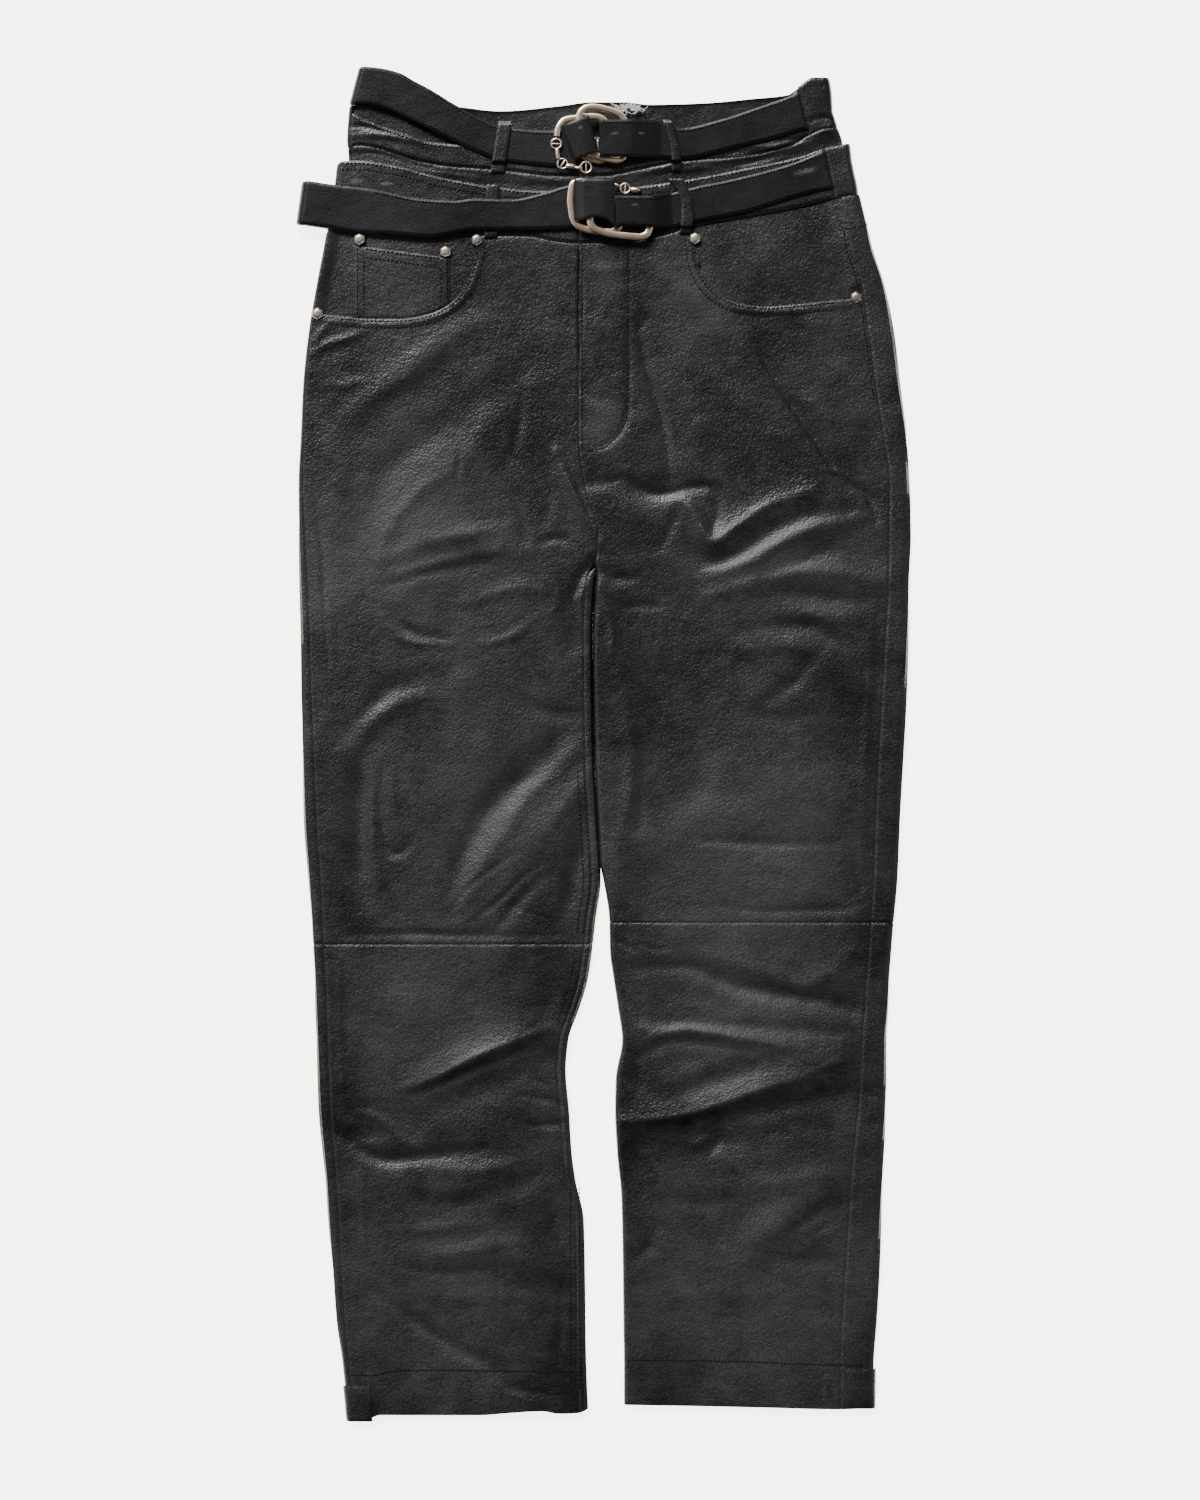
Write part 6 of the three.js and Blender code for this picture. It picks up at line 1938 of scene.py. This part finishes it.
@dataclass
class StitchRow:
    """A row of sewn stitches that follows a line over a surface."""

    path: Rows
    level: Height
    offset: float = 0.0
    pitch: float = 3.3
    length: float = 2.35
    radius: float = 0.52

    def rings(self) -> Array:
        """Rings of all its stitches: short threads that taper to both ends and dip into the leather.

        Returns:
            An array of stitches, rings, points round each ring, and x, y, z.
        """
        line = np.array(self.path, float)
        along = distances(line)
        xy = curve(along, line, np.linspace(0, along[-1], max(4, int(along[-1] / 1.1))))
        way = np.gradient(xy, axis=0)
        way /= np.linalg.norm(way, axis=1, keepdims=True)
        xy += self.offset * np.stack([-way[:, 1], way[:, 0]], -1)
        far = distances(xy)
        start = np.arange(0.4, far[-1] - self.length, self.pitch)
        t = np.array([0, 0.16, 0.84, 1.0])
        s = start[:, None] + t[None, :] * self.length
        x, y = np.interp(s, far, xy[:, 0]), np.interp(s, far, xy[:, 1])
        sink = np.array([-0.25, 0.12, 0.12, -0.25])
        z = self.level(x, y) + sink * self.radius
        ahead = np.stack([x[:, -1] - x[:, 0], y[:, -1] - y[:, 0]], -1)
        ahead /= np.linalg.norm(ahead, axis=1, keepdims=True)
        a = np.linspace(0, 2 * math.pi, 5, endpoint=False)
        size = self.radius * np.array([0.45, 1.0, 1.0, 0.45])[None, :, None]
        side = size * np.cos(a)[None, None, :]
        px = x[..., None] - side * ahead[:, None, None, 1]
        py = y[..., None] + side * ahead[:, None, None, 0]
        pz = z[..., None] + size * np.sin(a)[None, None, :]
        return np.stack([px, py, pz], -1)


def sew(shop: Workshop, name: str, rows: Sequence[StitchRow]) -> None:
    """Makes all stitches of some rows as one piece.

    Args:
        shop: the workshop.
        name: the piece's name.
        rows: the stitch rows.
    """
    threads(shop, name, np.concatenate([row.rings() for row in rows]), Finish.THREAD)


def sew_edges(shop: Workshop, node: str, low: Edge, high: Edge, across: Array, level: Height) -> None:
    """Sews a row of stitches inside both edges of a belt part.

    Args:
        shop: the workshop.
        node: the belt part.
        low: its lower edge.
        high: its upper edge.
        across: the places that both rows pass.
        level: the height of its top.
    """
    edges = ((low, BELT_STITCH_IN), (high, -BELT_STITCH_IN))
    rows = [StitchRow(beside(edge, inset, across), level, pitch=3.0) for edge, inset in edges]
    sew(shop, f"{node}_stitching", rows)


def fray(shop: Workshop) -> None:
    """Makes the loose pale threads that stand out of the back waistband's edge.

    Each fibre starts near one of three roots and wanders by a running sum of random turns.

    Args:
        shop: the workshop.
    """
    random = np.random.default_rng(11)
    fibres, steps, around = 80, 9, 5
    root = np.array([(13.5, 496.4), (18.5, 497.0), (25.0, 495.6)])[random.integers(0, 3, fibres)]
    start = root + random.normal(0, (3.2, 1.3), (fibres, 2))
    heading = random.uniform(0, 2 * math.pi, fibres)[:, None]
    heading = heading + np.cumsum(random.normal(0, 0.55, (fibres, steps)), 1)
    stride = random.uniform(0.4, 1.2, fibres)[:, None]
    x = start[:, :1] + np.cumsum(stride * np.cos(heading), 1)
    y = start[:, 1:] + np.cumsum(stride * 0.6 * np.sin(heading), 1)
    z = 5.4 + random.uniform(0, 2.2, fibres)[:, None]
    z = z + np.cumsum(random.normal(0, 0.18, (fibres, steps)), 1)
    a = np.linspace(0, 2 * math.pi, around, endpoint=False)
    size = 0.2 * np.r_[0.5, np.ones(steps - 2), 0.4][None, :, None]
    across = size * np.cos(a)
    rings = np.stack([
        x[..., None] - across * np.sin(heading)[..., None],
        y[..., None] + across * np.cos(heading)[..., None],
        z[..., None] + size * np.sin(a)], -1)
    threads(shop, "frayed_threads", rings, Finish.FRAY)


def threads(shop: Workshop, name: str, rings: Array, finish: Finish) -> None:
    """Makes many thin tubes as one piece.

    Args:
        shop: the workshop.
        name: the piece's name.
        rings: an array of tubes, rings, points round each ring, and x, y, z.
        finish: what they are made of.
    """
    count, depth, around = rings.shape[:3]
    k = np.arange(rings[..., 0].size).reshape(count, depth, around)
    ahead = np.roll(k, -1, 2)
    side = np.stack([k[:, :-1], ahead[:, :-1], ahead[:, 1:], k[:, 1:]], -1).reshape(-1, 4)
    points = rings.reshape(-1, 3)
    corner = points[side[:5]]
    outward = np.cross(corner[:, 1] - corner[:, 0], corner[:, 3] - corner[:, 0])
    turned = np.einsum("ij,ij->i", outward, corner.mean(1) - rings[0, :2].reshape(-1, 3).mean(0)).sum() < 0
    first, last = k[:, 0], k[:, -1, ::-1]
    if turned:
        side = side[:, ::-1]
    else:
        first, last = first[:, ::-1], last[:, ::-1]
    faces = [tuple(f) for part in (side.tolist(), first.tolist(), last.tolist()) for f in part]
    shop.piece(name, points, faces, finish, crisp=80)


@dataclass(frozen=True)
class Studio:
    """A pale floor, soft lamps and the camera, straight above, all in metres."""

    floor_colour: Colour = (0.86, 0.835, 0.76, 1)
    floor_fleck: float = 0.985
    floor_glow: float = 5.5
    floor_half: float = 6.0
    floor_drop: float = 0.0003
    lamps: tuple[tuple[str, float, float, float, float], ...] = (
        ("lamp_key", 24, 46, 6.6, 24), ("lamp_left", 95, 44, 0.5, 36), ("lamp_right", -95, 44, 0.3, 36))
    air_colour: Colour = (1.0, 0.99, 0.975, 1)
    air_strength: float = 0.055
    view_height: float = 1.170
    view_level: float = 0.006
    lens: float = 85.0
    sensor: float = 36.0
    centre: tuple[float, float] = (-0.0031, -0.0043)

    def build(self) -> None:
        """Makes the floor, lamps, air and camera."""
        self.floor()
        for lamp in self.lamps:
            self.lamp(*lamp)
        world = bpy.data.worlds.new("studio_air")
        world.use_nodes = True
        air = world.node_tree.nodes["Background"]
        air.inputs[0].default_value = self.air_colour
        air.inputs[1].default_value = self.air_strength
        bpy.context.scene.world = world
        lens = bpy.data.cameras.new("camera")
        lens.lens, lens.sensor_width = self.lens, self.sensor
        camera = bpy.data.objects.new("camera", lens)
        distance = self.view_height * self.lens / self.sensor
        camera.location = (*self.centre, distance + self.view_level)
        bpy.context.scene.collection.objects.link(camera)
        bpy.context.scene.camera = camera

    def floor(self) -> None:
        """Makes the floor, which glows by itself so that it stays pale and even."""
        half = self.floor_half
        corners = [(x * half, y * half, -self.floor_drop) for x, y in ((-1, -1), (1, -1), (1, 1), (-1, 1))]
        mesh = bpy.data.meshes.new("floor")
        mesh.from_pydata(corners, [], [(0, 1, 2, 3)])
        n = Nodes("pale_floor")
        fleck = tuple(c * self.floor_fleck for c in self.floor_colour[:3]) + (1,)
        colour = n.blend(n.noise(n.coordinates(), 3.0, 2.0), self.floor_colour, fleck)
        glow = {"Emission Color": colour, "Emission Strength": self.floor_glow}
        mesh.materials.append(n.surface({"Base Color": colour, "Roughness": 0.9, **glow}))
        floor = bpy.data.objects.new("floor", mesh)
        bpy.context.scene.collection.objects.link(floor)

    @staticmethod
    def lamp(name: str, side: float, tilt: float, strength: float, width: float) -> None:
        """Adds a far, soft lamp.

        Args:
            name: its name.
            side: degrees that it stands to the left of straight up the picture.
            tilt: degrees that it stands off the vertical.
            strength: its strength.
            width: degrees that it spans in the sky.
        """
        light = bpy.data.lights.new(name, "SUN")
        light.energy, light.angle = strength, math.radians(width)
        lamp = bpy.data.objects.new(name, light)
        lamp.rotation_euler = (-math.radians(tilt), 0, math.radians(side))
        bpy.context.scene.collection.objects.link(lamp)


def waist_tubes() -> tuple[Tube, Tube]:
    """The tubes of the lower band, and of the upper band and yoke.

    Returns:
        Both tubes.
    """

    def under(x: Array, y: Array) -> Array:
        """The upper pieces' underside, lifted over the lower band and the upper belt's return."""
        lifted = 1 - smooth(*TUCK_LIFTED, y - LOWER_TOP_LINE(x))
        raised = np.maximum(lifted, smooth(*UPPER_RETURN_ACROSS, x))
        return lift_over_return(x, y) + RETURN_CLEAR * raised

    def top(x: Array, y: Array) -> Array:
        """The upper pieces' outer face, which rises from under the lower band."""
        risen = TUCK_RECOVER * smooth(*TUCK_RISEN, y - LOWER_TOP_LINE(x))
        return torso_top(x, y) - TUCK_DROP + risen + band_relief(x, y)

    lower = Tube(1, *LOWER_SIDES, lower_band_top, lift_over_return)
    return lower, Tube(1, *UPPER_SIDES, top, under)


def build_waist(shop: Workshop) -> None:
    """Makes the three bands of the waist.

    Args:
        shop: the workshop.
    """
    lower, upper = waist_tubes()
    tucked = lambda x: LOWER_TOP_LINE(x) - TUCK
    seam = Profile(LOWER_SIDE_SEAM)
    WaistBand("waistband_lower", lower, LOWER_BOTTOM_LINE, LOWER_TOP_LINE, LOWER_TOP_LINE, seam).build(shop)
    WaistBand("yoke", upper, tucked, UPPER_BOTTOM_LINE, UPPER_BOTTOM_LINE, None, Finish.LEATHER).build(shop)
    seam = Profile(UPPER_SIDE_SEAM)
    WaistBand("waistband_upper", upper, UPPER_BOTTOM_LINE, FRONT_TOP_LINE, BACK_TOP_LINE, seam).build(shop)


def build_belts(shop: Workshop) -> None:
    """Makes the four belt parts and their turned ends.

    Args:
        shop: the workshop.
    """
    FoldedBelt(
        "belt_lower_left",
        low=((-241, 406.5), (-214, 402.5), (-190.5, 399), (-159, 396.7), (-136, 395), (-116, 398),
             (-101, 400.5), (-58, 400.5), (-10, 403)),
        high=((-241, 440), (-236, 439.5), (-210, 435.6), (-182.5, 432.5), (-143.5, 424.7), (-116, 423),
              (-101, 424.7), (-73, 424), (-46, 429.4), (-28, 434.8), (-10, 437)),
        fold=(-240.2, -235.6), back=(20, 3), end=-14, lift=1.6, base=lower_belt_base,
        below="waistband_lower_front_left_leather").build(shop)
    FoldedBelt(
        "belt_upper_left",
        low=((-200, 496.5), (-194, 499), (-187, 499.2), (-176, 497.3), (-163, 492.6), (-143.5, 483.2),
             (-120, 471.5), (-89, 457.5), (-77, 454.3), (-38, 450), (-15, 448)),
        high=((-192, 528.4), (-185, 528), (-175, 527), (-159, 523), (-148, 516.8), (-136, 510.5),
              (-115.5, 498), (-95, 487), (-77, 480.5), (-40.5, 478), (-15, 478)),
        fold=(-198.8, -191.2), back=(62, 33), end=-18, lift=0, base=upper_belt_base,
        below="waistband_upper_front_left_leather").build(shop)
    SewnBelt(
        "belt_upper_right",
        low=((-4, 456.5), (39, 456.7), (60, 456), (100, 464.5), (136, 473), (153, 478.5), (161, 480)),
        high=((-4, 485.5), (39, 486), (48, 483.5), (60, 480), (92, 487), (123, 497.3), (141, 503.5),
              (152, 508)),
        start=-3.5, seam=(159.2, 151.6), rise=((-4, 6.5), (21, 5.5), (29, 3.2), (44, 0)),
        base=upper_belt_base, below="waistband_upper_front_right_leather").build(shop)
    SewnBelt(
        "belt_lower_right",
        low=((8, 402), (38, 402), (56, 403), (71, 406.8), (108, 414), (153, 427.8), (181, 434.5)),
        high=((8, 426), (38, 426), (56, 430), (71, 434), (100, 440), (145, 452), (172, 463)),
        start=9, seam=(178.8, 171.6), rise=((8, 8.5), (39, 7.1), (43, 4.8), (52, 0)),
        base=lower_belt_base, below="waistband_lower_front_right_leather").build(shop)
    build_loops(shop)
    BeltTurn("belt_upper_turn", (-23.4, 453.6), (-4.6, 460.6), (-33.5, 480.9), (-11.7, 488.7),
             ((0, 14.7), (0.3, 16.8), (0.6, 17.2), (1, 16.4))).build(shop)
    BeltTurn("belt_lower_turn", (-23.4, 407.5), (8.6, 401), (-23.4, 438.8), (8.6, 438.8),
             ((0, 17.5), (0.26, 19.7), (0.64, 19.8), (1, 19)),
             ((-23.4, 407.5), (-17.2, 406.8), (-7.8, 409.1), (3.1, 406.8), (8.6, 401))).build(shop)


def build_loops(shop: Workshop) -> None:
    """Makes three loops that hold the belts, and one that lies under the lower belt.

    Args:
        shop: the workshop.
    """
    BeltLoop(
        "belt_loop_upper_left", 485.5, 445.5,
        left=((485.5, -82), (445.5, -88.5)), right=((485.5, -71.5), (445.5, -78)),
        stops=(0.04, 0.075, 0.79, 0.85), clear=0.1, base=upper_belt_base).build(shop)
    BeltLoop(
        "belt_loop_upper_right", 486.5, 447,
        left=((447, 52.9), (461, 52.5), (471, 51), (486.5, 46)),
        right=((447, 60), (461, 59.3), (471, 57.6), (486.5, 52.6)),
        stops=(0.03, 0.065, 0.8, 0.87), clear=0.1, base=upper_belt_base).build(shop)
    BeltLoop(
        "belt_loop_lower_right", 440.5, 398.5,
        left=((396.5, 58), (404, 59.8), (420, 60.5), (431, 57.5), (440.5, 49.5)),
        right=((396.5, 65.6), (404, 68.3), (412, 69.8), (423, 68.6), (440.5, 62)),
        stops=(0.12, 0.17, 0.88, 0.935), clear=0.65, base=lower_belt_base).build(shop)
    wall = 1.1
    v, u = np.linspace(1, 0, 30)[:, None], marks(10.2, 1.0)[None, :]
    x, y = np.broadcast_arrays(mix(-93.5, -83.5, u) + 2 * v, mix(395, 436, v))
    grid = np.stack([x, y, lower_belt_base(x, y) + wall], -1)
    shop.sheet("belt_loop_lower_left", grid, wall, UP,
               Finish.BAND, Roll(depth=0.3, reach=0.8))


def build_metal(shop: Workshop, right: Leg, left: Leg) -> None:
    """Makes the buckles' rails, the chains and the rivets.

    Args:
        shop: the workshop.
        right: the leg on the wearer's right.
        left: the leg on the wearer's left.
    """
    BuckleFrame("buckle_frame_upper_left", (
        (-36.7, 473.2), (-36.3, 477), (-34.7, 481.7), (-31.2, 486), (-25.7, 487.1), (-14.8, 488.7),
        (-6.2, 489), (-1.6, 487.5), (1.2, 484.8), (2, 479), (2.3, 467.6), (1.6, 458.3), (-0.8, 454.5),
        (-4.7, 454), (-10.9, 455.9), (-16.4, 457.9)), closed=False, z=11.6, tilt=-0.055, wide=4.8).build(shop)
    BuckleFrame("buckle_frame_upper_right", (
        (-19.5, 488.7), (-17.9, 492.6), (-14, 495.3), (-9.4, 495.9), (-3.1, 495.2), (6.2, 493), (12.5, 490.2),
        (16, 486.3), (17.2, 479.3), (17.6, 467.6), (16.8, 459.8), (13.7, 454.7), (9.4, 454.1), (1.6, 455.5),
        (-4.7, 457.5), (-11, 460.5), (-15.5, 468), (-18.3, 479)), closed=True, z=13.7, tilt=-0.06,
        wide=4.8).build(shop)
    BuckleFrame("buckle_frame_lower_left", (
        (-10.9, 437.2), (-21.1, 437.6), (-25, 435.2), (-26.5, 423.2), (-24.6, 409.5), (-21.1, 403.3),
        (-12.5, 400.1), (-3.1, 399), (7.5, 398.8), (12.2, 403), (12.6, 412), (8.5, 421), (3.5, 431),
        (-2, 436.3)), closed=True, z=13.5, tilt=-0.05, wide=5.4).build(shop)
    BuckleFrame("buckle_frame_lower_right", (
        (-10.5, 404), (-6.2, 400.1), (1.6, 397.4), (10.9, 395.9), (28.9, 394.5), (33.5, 396.3), (35.5, 401.3),
        (35.9, 411), (33.6, 418), (27.5, 421), (14, 421.5), (0, 420.5), (-7.8, 417), (-11, 411)), closed=True,
        z=16.6, tilt=-0.055, wide=5.4).build(shop)
    prong = capsule(np.array([-4.9, 470.5, 14.6]), np.array([-4.4, 461.0, 14.3]), 1.0, 0.9)
    shop.piece("prong_upper", *prong, Finish.METAL, crisp=60)
    Chain("chain_upper",
          links=((-37.1, 467.3, 3.9, 0), (-32.3, 451.8, 3.9, 55), (-14, 449, 4.2, 90)),
          beads=((-36, 459.4, 10.5, 4.4, 97), (-26, 449.7, 8.6, 4.4, -10), (-20.2, 448.7, 7, 2.6, 0)),
          z=13.6).build(shop)
    Chain("chain_lower", links=((16.4, 432.8, 3.7, 80),),
          beads=((10.6, 435, 6, 2.6, 155), (24.4, 431.6, 9, 4.6, -5)), z=12.2).build(shop)
    rivets = (
        ("rivet_coin_left", -190.5, 393.6, LOWER_BAND_LIFT), ("rivet_coin_right", -123.5, 384, 0),
        ("rivet_scoop_left_top", -99, 393, LOWER_BAND_LIFT), ("rivet_scoop_left_side", -223.2, 336, 0),
        ("rivet_scoop_right_top", 71, 394.2, LOWER_BAND_LIFT), ("rivet_scoop_right_side", 196.5, 348.5, 0),
    )
    for name, x, y, over in rivets:
        at = np.array([x]), np.array([y])
        front = (right if x < 0 else left).top(*at)[0]
        Rivet(name, x, y, max(front, torso_top(*at)[0]) + over + 0.15).build(shop)


def build_seams(shop: Workshop, right: Leg, left: Leg) -> None:
    """Sews the rows of stitches that show.

    Args:
        shop: the workshop.
        right: the leg on the wearer's right.
        left: the leg on the wearer's left.
    """
    front = lambda x, y: np.where(x < right.inner(y), right.top(x, y), left.top(x, y))
    facings = Facings(right, left)
    coin = lambda x, y: facings.right_level(x, y) + facings.coin_wall
    upper = waist_tubes()[1].top
    scoops = [StitchRow(RIGHT_SCOOP[1:-1], front, offset) for offset in (2.0, 7.0)]
    scoops += [StitchRow(LEFT_SCOOP[1:-1], front, -offset) for offset in (2.0, 7.2)]
    sew(shop, "stitching_scoops", scoops)
    coin_rows = (
        ((-192.3, 388), (-192.3, 334)), ((-187.2, 381), (-187.2, 333.5)), ((-127.1, 371), (-127.1, 342)),
        ((-122.2, 377), (-122.2, 345)), ((-186, 386.2), (-126, 378.2)), ((-186, 379.6), (-126, 371.6)),
    )
    sew(shop, "stitching_coin", [StitchRow(path, coin) for path in coin_rows])
    fly = ((18.7, 391), (18.7, 325), (18.7, 262), (15.6, 249), (8.6, 239), (-2.3, 230.5), (-14.8, 229))
    fly_rows = [StitchRow(fly, front, pitch=2.9), StitchRow(((-17.2, 391), (-17.2, 231)), front)]
    sew(shop, "stitching_fly", fly_rows)
    side = [(-float(left.seam(y)) - 3.2, float(y)) for y in np.linspace(402, 268, 24)]
    tail = ((187, 401.6), (192, 402.2), (206, 405.4))
    inseams = [[(float(right.inner(y)) - off, float(y)) for y in heights]
               for heights in (np.linspace(-20, -150, 24), np.linspace(-165, -215, 12))
               for off in (8.6, 13.6)]
    cuffs = [[(x, float(y)) for y in np.linspace(-345, -505, 24)] for x in (-26.2, -19.2)]
    sew(shop, "stitching_sides", [StitchRow(path, front) for path in (side, tail, *inseams, *cuffs)])
    hems = (
        ((-197, -492), (-181, -492), (-165, -488.6), (-125, -487.8), (-78, -488.6), (-14, -489.4)),
        ((18, -480), (100, -480.9), (172, -483.6), (206, -484)), ((188, -488.2), (206, -488.2)),
    )
    sew(shop, "stitching_hems", [StitchRow(path, front, pitch=2.9) for path in hems])
    lower_rows = ((LOWER_BOTTOM_LINE, 2.4), (LOWER_TOP_LINE, -2.2), (LOWER_TOP_LINE, -7.0))
    across = np.linspace(-205, 168, 60)
    rows = [StitchRow(beside(edge, inset, across), lower_band_top) for edge, inset in lower_rows]
    rows.append(StitchRow(beside(UPPER_BOTTOM_LINE, 2.4, np.linspace(-192, 150, 60)), upper))
    rows.append(StitchRow(beside(FRONT_TOP_LINE, -2.6, np.linspace(-180, 62, 60)), upper))
    sew(shop, "stitching_bands", rows)


def main() -> None:
    """Builds the trousers piece by piece."""
    logging.basicConfig(level=logging.INFO, format="%(name)s: %(message)s")
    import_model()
    Studio().build()
    shop = Workshop()
    right = Leg("left", 1, RIGHT_OF_WEARER, RIGHT_KNEE, RIGHT_HEM, RIGHT_SCOOP)
    left = Leg("right", -1, LEFT_OF_WEARER, LEFT_KNEE, LEFT_HEM, LEFT_SCOOP)
    for leg in (right, left):
        leg.build(shop)
    right.hem_corner(shop, 21, -527.8, -500.5)
    left.hem_corner(shop, 27, -517.8, -487)
    Facings(right, left).build(shop)
    build_waist(shop)
    build_belts(shop)
    build_metal(shop, right, left)
    build_seams(shop, right, left)
    fray(shop)


if __name__ == "__main__":
    main()
